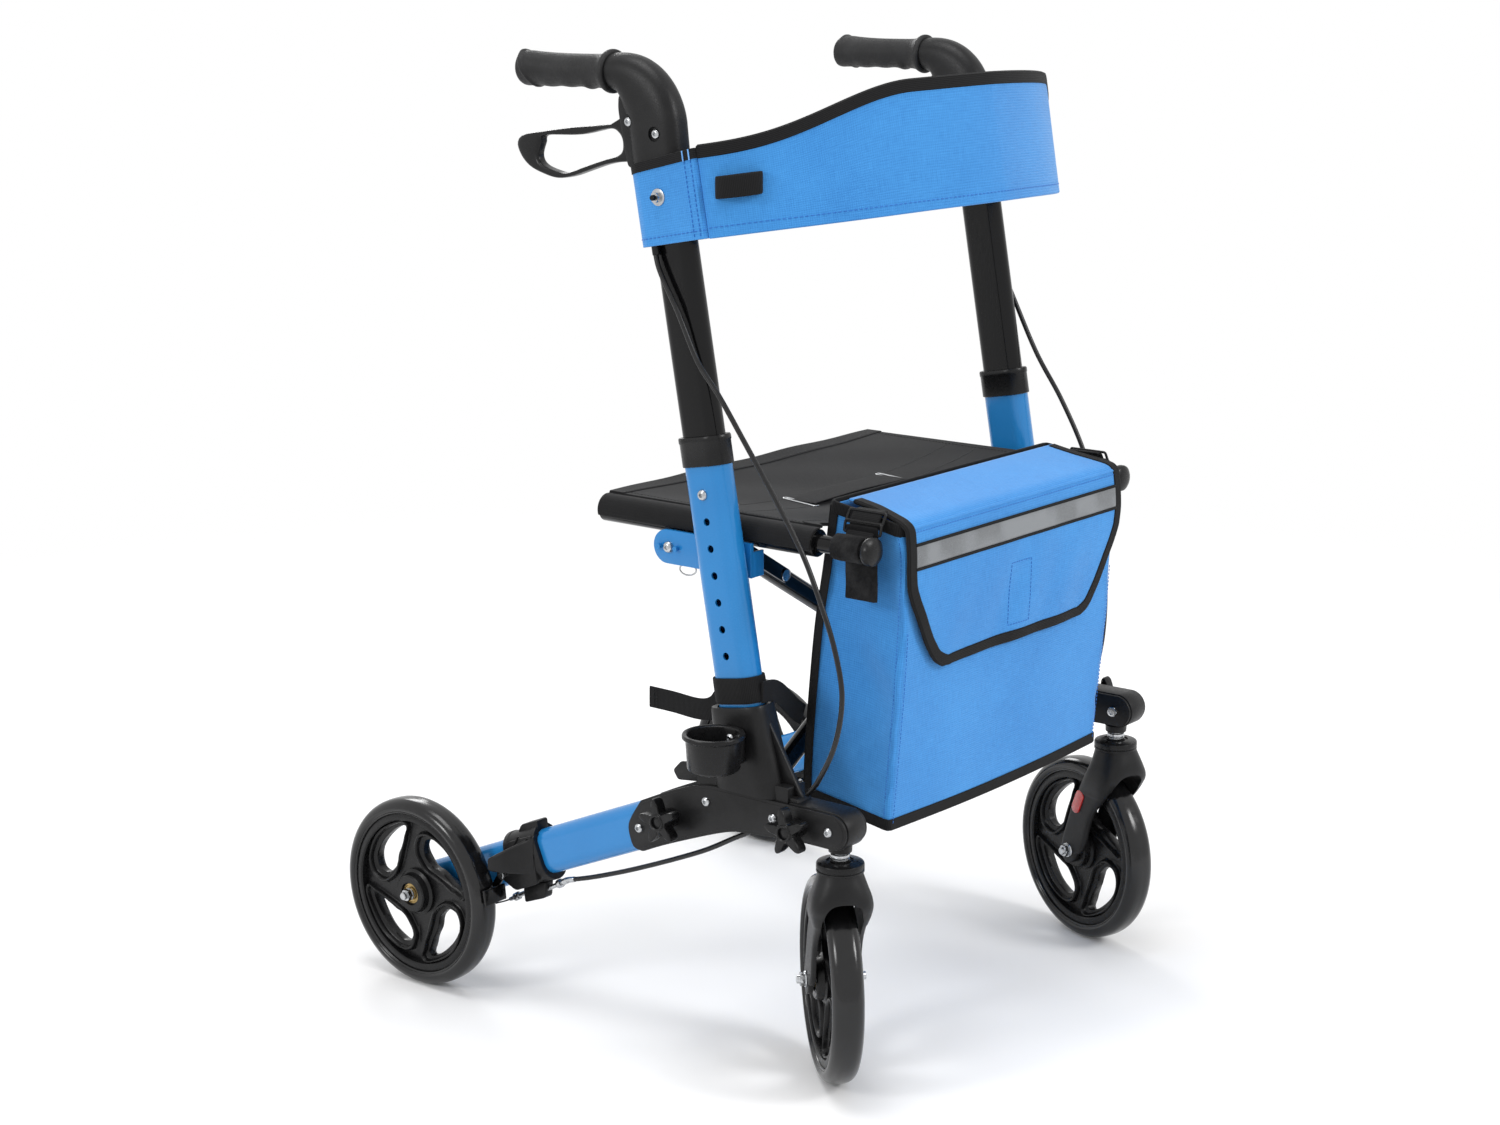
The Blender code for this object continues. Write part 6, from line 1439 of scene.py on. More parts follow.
    def build(self) -> None:
        """Make the fork, its cap, axle, reflector and wheel."""
        self.fork()
        self.crown()
        self.axle()
        if self.side is Side.LEFT:
            self.reflector()
        names = map(self.named, ("caster_wheel", "caster_wheel_rim", "caster_tyre"))
        Wheel().build(*names, self.hub())


# Handles

@dataclass(frozen=True)
class Handle(SidePart):
    """One telescopic handle: post, elbow with the lever's pivot, grip, loop lever and upper brake cable."""

    home: str = "handle"
    width: float = 0.034
    bend: float = 0.053
    turn_z: float = 0.902
    pivot: tuple[float, float] = (0.1595, 0.9015)
    lever_half: float = 0.006

    @property
    def centre(self) -> tuple[float, float]:
        """Centre of the elbow's turn in the side view."""
        y, z, lean = POST.y(self.turn_z), self.turn_z, POST.lean
        return y + self.bend * cos(lean), z - self.bend * sin(lean)

    def post(self) -> None:
        """The gloss black flat-oval inner post."""
        rows = mm(23.4, 45.4, 545.2, 23.4, 45.4, 848, 20.2, 42.2, 848, 20.2, 42.2, 545.2, per=3)
        self.make("inner_post", POST.sleeve(self.side, rows), BLACK_COAT, "handle_post", 40.0)

    def elbow(self) -> None:
        """The moulded elbow: a row (mid y, mid z, angle, half depth, power) for each ring, smoothed into many;
        a ring's point is mid + x X + d (cos angle, sin angle)."""
        lean, cy, cz = POST.lean, *self.centre
        rows = []
        straight = mm(797, 23.5, 30, 824, 23.7, 30.2, 850, 24, 30.5, 870, 25.2, 31.6, 886, 26.4, 32.7, per=3)
        for z, front, rear in straight:
            shift, half = (rear - front) / 2, (front + rear) / 2
            rows.append((POST.y(z) + shift * cos(lean), z - shift * sin(lean), -lean, half, 2.9))
        spans = mm(22, 80.2, 21.5, 79.5, 22.2, 78.5, 24.5, 76.8, 29, 74.6, 34.5, 72, 36.5, 70)
        for step, (near, far) in enumerate(spans):
            turn = pi - lean - step / 6 * (pi / 2 - lean)
            middle, half, power = (near + far) / 2, (far - near) / 2, 2.9 - 0.85 * step / 6
            rows.append((cy + middle * cos(turn), cz + middle * sin(turn), turn - pi, half, power))
        rows = spline(rows, 46)
        rings = []
        for index, (y, z, angle, half, power) in enumerate(rows):
            trim = 0.0016 if index == 0 else 0.0
            section = superellipse(self.width / 2 - trim, half - trim, power, 64)
            s, c = sin(angle), cos(angle)
            here = axes((self.sign * POST.x, y, z), (1, 0, 0), (0, c, s), (0, -s, c))
            rings.append(here.at(flat(section)))
        rings.insert(1, rings[1] * 0.25 + rings[0] * 0.75)
        lug = mm(150, 926, 171.5, 925.5, 172.2, 913, 170, 900, 163.5, 869, 160.5, 859.5, 145, 859.5)
        made = self.make("elbow_moulded", loft(rings), BLACK_NYLON, "handle_elbow", 40.0)
        cut(made, self.slab(lug, 0.004, POST.x - 0.0112, POST.x + 0.0112, 0.0012), "UNION")
        slot = mm(144, 856, 183, 856, 183, 916.5, 154.5, 916.5, 147.5, 908)
        cut(made, self.slab(slot, 0.003, POST.x - 0.0067, POST.x + 0.0067, 0.0003))
        face = POST.x + self.width / 2
        spots = ((0.159, 0.9015, 0.006), (0.1234, 0.8917, 0.0028))
        cut(made, merge(*(self.pin(face - deep, face + 0.004, y, z, 0.0068, 44, 0.0002)
            for y, z, deep in spots)))
        heads = [dome_screw(self.side, face - deep - 0.0002, y, z, 0.0046, 0.0028) for y, z, deep in spots]
        pin = self.pin(0.236, 0.26, *self.pivot, 0.003)
        self.make("elbow_screws", merge(*heads, pin), BRIGHT_ZINC)

    def grip(self) -> None:
        """The soft grip: r(s, t) along axis s and round it t. A flange, a bump and faint waves below for the
        fingers, and a wing that flares outward for the palm and ends in a slanting ridge."""
        start_y, z0 = self.centre[0], self.centre[1] + self.bend
        base = spline(mm(0.6, 16.5, 0.8, 19, 2, 20.1, 4.8, 20.2, 7.6, 19, 12, 16.8, 18, 15.7, 30, 15.4, 60,
            15.4, 90, 15.6, 104, 16, 111, 16.2, 114.5, 15.3, 115.8, 13, 116.2, 8), 130)
        turn = np.linspace(0, 2 * pi, 73)
        s, radius = base[:, 0:1], base[:, 1:2]
        lower = np.clip(-np.sin(turn), 0, 1)[None] ** 1.4
        wave = np.cos(2 * pi * (s - 0.03) / 0.025)
        inside = np.clip((s - 0.018) / 0.006, 0, 1) * np.clip((0.098 - s) / 0.01, 0, 1)
        first = np.exp(-((s - 0.029) / 0.005) ** 2)
        radius = radius + (0.0004 * wave + 0.0012 * first) * lower * inside
        palm = np.clip((s - 0.055) / 0.045, 0, 1) ** 1.6 * np.clip((0.1165 - s) / 0.004, 0, 1)
        wing = np.clip(np.cos(turn) * self.sign * 0.75 + np.sin(turn) * 0.65, 0, 1)[None] ** 2
        radius = radius + 0.003 * palm * wing
        slant = 0.1035 + 0.008 * np.sin(turn)[None]
        ridge = np.exp(-((s - slant) / 0.0016) ** 2) - 0.7 / (1 + np.exp(-(s - slant - 0.003) / 0.0006))
        radius = radius + 0.0018 * ridge * np.clip(np.cos(turn) * self.sign + 0.55, 0, 1)[None]
        points = spread(self.sign * POST.x + radius * np.cos(turn), start_y + s + 0 * turn,
            z0 + radius * np.sin(turn))
        self.make("soft_grip", loft(points), GRIP_RUBBER, "hand_grip", 50.0)

    def lever(self) -> None:
        """The loop lever: at each angle about its opening a rounded section spans from the opening's edge i to
        the outline o: p = (i + o)/2 + a (o - i)/2, x = b half."""
        outline = spline(mm(164, 909, 181, 899.5, 205.7, 896.2, 239.8, 893, 274.5, 888.4, 300.4, 884.2, 308.5,
            876.3, 303.5, 864.6, 292.1, 855, 275.9, 849, 257.4, 845.3, 238.9, 847.3, 218.2, 853.3, 195.5,
            860.1, 175.3, 863.8, 159.8, 864.9, 152, 872, 151.5, 896), 400, loop=True)
        opening = spline(mm(190.1, 893.6, 226.3, 886.9, 271.2, 884.7, 276.1, 877.5, 280.4, 865.6, 275.6,
            857.4, 259.5, 852.2, 243.4, 850.8, 218.1, 858.3, 195.3, 865, 176.3, 870.8, 173.1, 881.5, 178,
            890.3), 400, loop=True)
        centre = np.array((0.226, 0.871))
        angle = np.linspace(-pi, pi, 161)

        def edge_at(line: Array) -> Array:
            """The line's point at each angle about the centre."""
            away = line[:-1] - centre
            bearing = np.arctan2(away[:, 1], away[:, 0])
            order = np.argsort(bearing)
            reach = np.interp(angle, bearing[order], np.hypot(*away.T)[order], period=2 * pi)
            return centre + polar(reach, angle)

        outer, inner = edge_at(outline), edge_at(opening)
        section = superellipse(1.0, 1.0, 4.2, 28)
        middle, reach = (outer + inner) / 2, (outer - inner) / 2
        view = middle[:, None] + section[None, :, 0:1] * reach[:, None]
        points = spread(self.sign * POST.x + self.lever_half * section[:, 1], view[..., 0], view[..., 1])
        line = facing(self.sign * POST.x, *self.pivot, self.sign)
        hub = lathe(mm(3.1, -6, 8, -6, 8.6, -5.4, 8.6, 5.4, 8, 6, 3.1, 6, 3.1, -6), 48, line)
        self.make("loop_lever", merge(grid(points), hub), SMOOTH_NYLON, "brake_lever", 50.0, "lever")

    def cable(self, route: Array) -> None:
        """The upper brake cable from the elbow to the base, with its barrel nut at the top."""
        path = spline(route * (self.sign, 1, 1), 170)
        sheath = piece(self.named("upper_cable_sheath"), sweep(path, circle(0.0025, 14), (1, 0, 0)),
            CABLE_SHEATH, "", (self.named("brake_cable_upper"),))
        self.named("frame")
        self.named("handle")
        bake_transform(sheath)
        top = axes_along(path[0], path[0] - path[6])
        nut = lathe(mm(0, -12, 3.2, -12, 3.6, -11.2, 3.6, 1, 3, 1.6, 3, 8, 0, 8), 24, top)
        self.make("cable_barrel", nut, SMOOTH_NYLON)

    def build(self, route: Array) -> None:
        """Make every piece of the handle."""
        self.post()
        self.elbow()
        self.grip()
        self.lever()
        self.cable(route)


# Cross braces, rails and seat

@dataclass(frozen=True)
class Brace(SidePart):
    """One cross brace, named by its foot's side, with the rail that it carries at the other side."""

    radius: float = 0.01

    @property
    def body(self) -> str:
        """The brace's body."""
        return "brace_front" if self.side is Side.RIGHT else "brace_rear"

    @property
    def far(self) -> Side:
        """The side of the rail."""
        return Side.LEFT if self.side is Side.RIGHT else Side.RIGHT

    def tube(self) -> None:
        """The tube, its pivot eye, the gusset strut and the saddle under the rail."""
        (foot_x, foot_z), (rail_x, rail_z), s = BRACE_FOOT, RAIL, self.sign
        slope = atan2(BRACE_CROSSING - foot_z, foot_x)
        run, lift = np.array((-s * cos(slope), 0, sin(slope))), np.array((s * sin(slope), 0, cos(slope)))
        foot = np.array((s * foot_x, self.brace_plane, foot_z))
        reach = hypot(rail_x + foot_x, rail_z - foot_z)
        along = np.array((0.0, 1.0, 0.0))
        line = Axes(foot, along, lift, run)
        length = reach - 0.0135
        tube = lathe([(0, 0), (self.radius, 0), (self.radius, length), (0, length)], 56, line)
        eye = lathe(mm(4.4, -10.4, 10.8, -10.4, 11.4, -9.8, 11.4, 9.8, 10.8, 10.4, 4.4, 10.4, 4.4, -10.4), 44,
            Axes(foot, run, lift, along))
        outline = filleted(mm(421, -7, 418, 0, 421, 7, 497, 7, 497, -7), 0.003)
        beside = self.radius - 0.0005
        strut = plate(outline, beside, beside + 0.005, 0.001, Axes(foot, run, lift, -along))
        rail = np.array((-s * rail_x, self.brace_plane, rail_z))
        turn = np.radians(np.linspace(205, 335, 40))
        outline = np.concatenate((polar(0.0165, turn), polar(0.0131, turn[::-1])))
        saddle = plate(closed(outline), -0.014, 0.014, 0.0006, axes(rail, (1, 0, 0), (0, 0, 1), along))
        piece(f"{self.body}_tube", merge(tube, eye, strut), BLACK_COAT, self.body, (f"cross_{self.body}",))
        piece(f"{self.body}_saddle", saddle, SMOOTH_NYLON, self.body)
        low = foot + run * 0.427
        bolt = axes_along(low - along * 0.0165, along)
        screw = lathe(mm(0, 0, 4.8, 0, 6, 0.8, 6.2, 1.8, 4, 2, 4, 29, 0, 29), 32, bolt)
        piece(f"{self.body}_strut_bolt", screw, BRIGHT_ZINC, self.body)

    def rail(self) -> None:
        """The seat rail with its thin front bar and mushroom cap, and a plug at the rear."""
        forward = axes((self.far.value * RAIL[0], 0, RAIL[1]), (1, 0, 0), (0, 0, 1), (0, -1, 0))
        tube = lathe(mm(0, -235, 12.4, -235, 13, -234.4, 13, 26.4, 12.4, 27.2, 8.3, 27.6, 8.3, 85, 0, 85), 64,
            forward)
        label = self.far.label
        piece(f"{label}_rail_tube", tube, BLACK_COAT, self.body, (f"{label}_seat_rail",), 40.0)
        cap = lathe(mm(0, 80, 9.6, 80, 10.4, 80.8, 13, 83.8, 13.4, 85.2, 13.4, 88.8, 12.8, 90.4, 10.8, 91.8,
            6.6, 93, 0, 93.4), 60, forward)
        ring = lathe(mm(8.2, 76.2, 9.6, 76.2, 10, 76.8, 10, 80, 8.2, 80), 48, forward)
        plug = lathe(mm(0, -236.2, 9.8, -236.2, 11, -235.6, 11.4, -234.4, 0, -234.4), 48, forward)
        piece(f"{label}_rail_caps", merge(cap, ring, plug), SMOOTH_NYLON, self.body)

    def sleeve(self) -> None:
        """The cloth sleeve of the seat round the rail's top and outer side."""
        section = arc(RAIL, 0.0139, 102, -20, 26)
        points = spread(self.far.value * section[:, 0], np.linspace(-0.0265, 0.2345, 60)[:, None],
            section[:, 1])
        label = self.far.label
        made = piece(f"{label}_seat_sleeve_cloth", thickened(points, 0.0014), BLACK_CLOTH, self.body,
            (f"{label}_seat_sleeve",), 50.0)

    def build(self) -> None:
        """Make the brace, its rail and the sleeve."""
        self.tube()
        self.rail()
        self.sleeve()


def centre_bolt() -> None:
    """The bolt through both braces with its domed head, nylon spacer and lock nut."""
    line = axes((0, 0, BRACE_CROSSING), (1, 0, 0), (0, 0, -1), (0, 1, 0))
    shank = lathe(mm(0, 41, 4, 41, 4, 97.5, 0, 97.5), 28, line)
    head = lathe(mm(0, 40.5, 4, 40.8, 6.6, 42.2, 7.8, 44.6, 7.8, 46.2, 0, 46.2), 40, line)
    parts = [shank, head, hexagon_on(line, 0.0918, 0.0968, 0.013)]
    parts.append(lathe(mm(0, 46.2, 9, 46.2, 9.2, 46.9, 0, 46.9), 40, line))
    piece("brace_bolt", merge(*parts), BRIGHT_ZINC, "brace_front", ("brace_centre_bolt",))
    spacer = lathe(mm(4.2, 67.2, 7.8, 67.2, 8.2, 67.6, 8.2, 70.4, 7.8, 70.8, 4.2, 70.8), 40, line)
    piece("brace_spacer", spacer, SMOOTH_NYLON, "brace_front")


@dataclass(frozen=True)
class SeatSling:
    """The black seat cloth between the rails, with hems, silver-rimmed slots and the pull strap."""

    edge: float = 0.2115
    rear: float = 0.2345
    front: float = -0.0265
    notch: float = 0.0165
    blend: float = 0.022
    top: float = 0.537
    sag: float = 0.0198
    sag_run: float = 0.18
    slot_x: float = 0.0775
    strap_y: float = 0.1015
    thick: float = 0.0022

    def surface(self, x: Array, y: Array) -> Array:
        """Middle of the cloth: top - sag (1 - s^2)(1 - |x/edge|^2.3), where s falls from 1 at the rear hem
        to 0, plus a ripple of under a millimetre where the cloth gathers towards the rails."""
        slack = 1 - np.minimum(1.0, (self.rear - y) / self.sag_run)
        ratio = np.abs(x) / self.edge
        ripple = 0.0007 * np.sin(x * 46 + y * 19) * np.sin(y * 38 - 1.1) * (1 - ratio ** 4)
        return self.top + self.thick / 2 - self.sag * (1 - slack ** 2) * (1 - ratio ** 2.3) + ripple

    def front_line(self, x: Array) -> Array:
        """Y of the front hem, set back between the rails."""
        inward = np.minimum(1.0, (self.edge - np.abs(x)) / self.blend)
        return self.front + self.notch * inward ** 2 * (3 - 2 * inward)

    def patch(self, x: Array, y: Array, lift: float) -> Array:
        """Points on the cloth raised by `lift`."""
        return spread(x, y, self.surface(x, y) + lift)

    def build(self) -> None:
        """Make the cloth, hems, seams, slots and strap."""
        u = np.linspace(-1, 1, 121)
        x = self.edge * np.sign(u) * np.abs(u) ** 0.92
        v = np.linspace(0, 1, 71)[:, None]
        start = self.front_line(x)[None]
        y = start + (self.rear - start) * v
        points = self.patch(x, y, 0.0)
        cloth = piece("seat_cloth", thickened(points, self.thick), BLACK_CLOTH, "seat", ("seat_sling",), 50.0)
        hems, seams = [], []
        for near, far in ((0.0004, 0.02), (-0.0004, -0.019)):
            edge_line = self.front_line(x) if near > 0 else np.full_like(x, self.rear)
            share = np.linspace(0, 1, 9)[:, None]
            hem_y = edge_line[None] + near + (far - near) * share
            hems.append(thickened(self.patch(x, hem_y, 0.0014), 0.0012))
            seams.append(stitches(self.patch(x, edge_line + far * 0.9, 0.0021), (0, 0, 1)))
        for sign in (-1, 1):
            run_x = sign * np.linspace(0.079, self.edge - 0.01, 70)
            for line_y in (0.083, 0.12):
                seams.append(stitches(self.patch(run_x, line_y, 0.0012), (0, 0, 1)))
            side_y = np.linspace(self.front + 0.004, self.rear - 0.003, 90)
            seams.append(stitches(self.patch(sign * (self.edge - 0.008), side_y, 0.0013), (0, 0, 1)))
        hem = piece("seat_hems", merge(*hems), BLACK_CLOTH, "seat", (), 50.0)
        seam = piece("seat_stitches", merge(*seams), BLACK_THREAD, "seat")
        strap_x = np.linspace(-self.slot_x, self.slot_x, 61)
        bow = 0.0034 * np.cos(strap_x / self.slot_x * pi / 2) ** 0.6
        centre = self.patch(strap_x, self.strap_y, 0.0018 + bow)
        strap = piece("seat_pull_strap", tape(centre, 0.036, 0.0018, (0, 0, 1)), BLACK_TAPE, "seat")
        rims = []
        for sign in (-1, 1):
            loop = filleted(mm(-2.8, -20.5, 2.8, -20.5, 2.8, 20.5, -2.8, 20.5), 0.002, 7)
            ring = self.patch(sign * self.slot_x + loop[:, 0], self.strap_y + loop[:, 1], 0.0016)
            rims.append(sweep(ring, superellipse(0.0011, 0.0007, 2.4, 12), (0, 0, 1)))
        rim = piece("seat_slot_rims", merge(*rims), BRIGHT_ZINC, "seat")
        crumple([cloth, hem, seam, strap, rim], *SEAT_FOLD)


def sheet_area(points: Array) -> float:
    """Area of a grid of points: half the cross products of its quads' diagonals."""
    first = points[1:, 1:] - points[:-1, :-1]
    second = points[1:, :-1] - points[:-1, 1:]
    return float(np.linalg.norm(np.cross(first, second), axis=-1).sum() / 2)


# Backrest

@dataclass(frozen=True)
class Backrest:
    """The blue backrest band, its wraps round the elbows' sockets and the black cane loop."""

    half: float = 0.262
    bow: float = 0.147
    round_power: float = 1.6
    bottom: float = 0.8017
    edge_rise: float = 0.15
    end_height: float = 0.08
    mid_height: float = 0.116
    thick: float = 0.003
    wrap_front: float = 0.052
    wrap_rear: float = 0.0345
    wrap_outer: float = 0.02
    wrap_thick: float = 0.0022
    wrap_slope: float = 0.242
    tape_width: float = 0.0092
    loop_x: tuple[float, float] = (-0.2582, -0.235)
    loop_level: float = 0.043

    @property
    def side_y(self) -> float:
        """Y of the band's ends, just in front of the wraps."""
        foot = self.bottom - self.wrap_front * sin(POST.lean)
        return float(POST.y(foot)) - self.wrap_front * cos(POST.lean) - 0.0006

    def point(self, u: Array, rise: Array | float, lift: float = 0.0) -> Array:
        """A point of the band: x = -half |cos|^(2/p) sign, y = side - bow sin^(2/p) in plan, then up the lean.

        Args:
            u: 0 at the right end, 1 at the left.
            rise: Height above the lower edge, as a share of the band's height there.
            lift: Distance outward, away from the user's back.

        Returns:
            The points.
        """
        eased = u - 0.035 * np.sin(4 * pi * u)
        turn = pi * eased
        c, s = np.cos(turn), np.abs(np.sin(turn))
        x = -self.half * np.sign(c) * np.abs(c) ** (2 / self.round_power)
        y = self.side_y - self.bow * s ** (2 / self.round_power)
        up = self.bottom + self.edge_rise * (self.side_y - y)
        z = up + self.height(x) * rise
        near_end = np.minimum(1, (self.half - np.abs(x)) / 0.05)
        slack = 0.0011 * np.sin(x * 31 + 0.7) * np.sin(rise * 2.4 + x * 9) * near_end
        point = spread(x, y + tan(POST.lean) * (z - self.bottom) + slack, z)
        if not lift:
            return point
        out = spread(np.sign(c) * -np.abs(c), -s ** 0.8, 0 * c)
        return point + unit(out) * lift

    def height(self, x: Array) -> Array:
        """Low beside the posts, higher in the middle, with a smooth step between."""
        rise = np.clip((1 - np.abs(x) / self.half) / np.where(x > 0, 0.34, 0.62), 0, 1)
        return self.end_height + (self.mid_height - self.end_height) * rise ** 2 * (3 - 2 * rise)

    def band(self) -> None:
        """The band with its binding, hem stitches and cane loop."""
        u = np.linspace(0, 1, 221)
        v = np.linspace(0, 1, 31)[:, None]
        points = self.point(u, v)
        home = "right_handle"
        cloth = piece("backrest_cloth", thickened(points, self.thick), BLUE_CLOTH, home, ("backrest_panel",),
            50.0)
        x = points[0, :, 0]
        high = self.height(x)
        share = np.linspace(-self.tape_width, 0.0009, 8)[:, None] / high
        bind = self.point(u, 1 + share)
        trim = piece("backrest_binding", thickened(bind, self.thick + 0.0018), BLACK_TAPE, home, (), 50.0)
        seams = []
        for lift in (self.thick / 2 + 0.0002, -self.thick / 2 - 0.0002):
            line = self.point(u[2:-2], (0.0085 / high)[2:-2], lift)
            seams.append(stitches(line, (0, -1, 0.2), 0.0052, 0.004, 0.00045))
        stitch = piece("backrest_stitches", merge(*seams), BLUE_THREAD, home)
        loop_u = np.interp(np.linspace(*self.loop_x, 40), points[0, :110, 0], u[:110])
        spot = self.point(loop_u, self.loop_level / self.height(self.point(loop_u, 0.0)[:, 0]))
        belly = np.sin(np.linspace(0, pi, 40)) ** 0.45
        out = self.away(loop_u)
        front = spot + out * (0.0042 + 0.009 * belly)[:, None]
        back = (spot + out * 0.003)[::-1]
        path = even(np.concatenate((front, back, front[:1])), 120)
        cane = piece("cane_loop", tape(path, 0.02, 0.0022, outward(path)), BLACK_TAPE, home, (), 60.0)
        crumple([cloth, trim, stitch, cane], *BAND_FOLD)

    def away(self, u: Array) -> Array:
        """The band's outward direction in plan."""
        run = unit(self.point(u + 0.002, 0.5) - self.point(u - 0.002, 0.5))
        return spread(run[:, 1], -run[:, 0], 0)

    def wrap_line(self) -> Array:
        """Plan of the wrap in the post's axes: round behind the socket, straight sides, a seam in front."""
        mid = self.wrap_outer - self.wrap_thick / 2
        rear = arc((0, 0), 1.0, 0, 180, 15) * (mid, 0.0179) + (0, self.wrap_rear - 0.019)
        front = mm(-16.5, -37, -6, -48, 6, -50.7, 14, -50.9)
        seam = (mid, 0) + mm(-0.8, -50, 0, -47, 0, -20)
        return spline([*rear, (-mid, -0.024), *front, *seam], 150, loop=True)

    def wrap_points(self, side: Side, line: Array, rise: Array | float) -> Array:
        """Points of the wrap at heights above its foot; a share of 1 is its sloping top.

        Args:
            side: Which wrap.
            line: (points, 2) plan line.
            rise: Shares of the height, of shape (rows, 1), or one share.

        Returns:
            (rows, points, 3).
        """
        base = POST.axes(side, 0.79277)
        x, y = line[:, 0] * side.value, line[:, 1]
        lean = POST.lean
        slope, back = self.wrap_slope, base.origin[1] + y * cos(lean) - self.side_y + 0.01
        top = (0.8867 - slope * back - 0.79277 + y * sin(lean)) / (cos(lean) + slope * sin(lean))
        height = np.minimum(top, 0.088 / cos(lean)) * np.atleast_2d(rise)
        return base.at(spread(x, y, height))

    def wall(self, side: Side, line: Array, low: float, high: float, thick: float) -> Skin:
        """A closed wall along the wrap's line.

        Args:
            side: Which wrap.
            line: (points, 2) plan line of its middle.
            low: Share of the height at its foot.
            high: Share of the height at its top.
            thick: The wall's thickness.

        Returns:
            The skin.
        """
        inner, outer = inset(line, thick / 2), inset(line, -thick / 2)
        up = np.linspace(low, high, 14)[:, None]
        rows = ((outer, up), (line, high + 0.006), (inner, up[::-1]), (line, low - 0.004), (outer, low))
        return grid(np.concatenate([self.wrap_points(side, plan, rise) for plan, rise in rows]))

    def wrap(self, side: Side) -> None:
        """One wrap with its binding, hem stitches and the bolt with its washer and open nut."""
        line = self.wrap_line()
        label, body = side.label, f"{side.label}_handle"
        cloth = piece(f"{label}_wrap_cloth", self.wall(side, line, 0.0, 1.0, self.wrap_thick), BLUE_CLOTH,
            body, (f"{label}_backrest_wrap",), 50.0)
        trim = piece(f"{label}_wrap_binding", self.wall(side, line, 0.895, 1.006, self.wrap_thick + 0.0018),
            BLACK_TAPE, body, (), 50.0)
        outer = inset(line, -self.wrap_thick / 2 - 0.0003)
        hem = self.wrap_points(side, outer, 0.092)[0]
        seams = [stitches(hem, unit(hem - hem.mean(axis=0)), 0.005, 0.0038, 0.00045)]
        threads = []
        for gap in (0.01, 0.003):
            spot = outer[np.argmin(np.abs(outer[:, 1] + 0.05 - gap) + 10 * (outer[:, 0] < 0.015))]
            column = self.wrap_points(side, spot[None], np.linspace(0.02, 0.9, 50)[:, None])[:, 0]
            seams.append(stitches(column, (side.value, 0, 0), 0.0042, 0.0032, 0.0005))
            over = self.wrap_points(side, spot[None] + (0.001, 0), np.linspace(0.885, 1.008, 8)[:, None])
            threads.append(sweep(over[:, 0], circle(0.0007, 8), (side.value, 0, 0)))
        seam = piece(f"{label}_wrap_stitches", merge(*seams), BLUE_THREAD, body)
        thread = piece(f"{label}_wrap_seam_ends", merge(*threads), PALE_THREAD, body)
        girth = travelled(self.wrap_points(side, line, 0.3)[0])[-1]
        area = sheet_area(self.wrap_points(side, line, np.linspace(0, 1, 12)[:, None]))
        x = side.value
        place = facing(x * (POST.x + self.wrap_outer), 0.1165, 0.8355, x)
        washer = lathe(mm(0, 0, 7.6, 0, 8, 0.4, 7.8, 0.9, 6, 1.4, 0, 1.4), 40, place)
        bolt = lathe(mm(0, 1.4, 2.6, 1.4, 2.6, 8.8, 2.2, 9.4, 0, 9.4), 28, place)
        piece(f"{label}_wrap_nut", merge(washer, hexagon_on(place, 0.0013, 0.0058, 0.0088)), BRIGHT_ZINC,
            body)
        piece(f"{label}_wrap_bolt", bolt, BLACK_COAT, body)

    def build(self) -> None:
        """Make the band and both wraps."""
        for side in Side:
            self.wrap(side)
        self.band()


# Bag

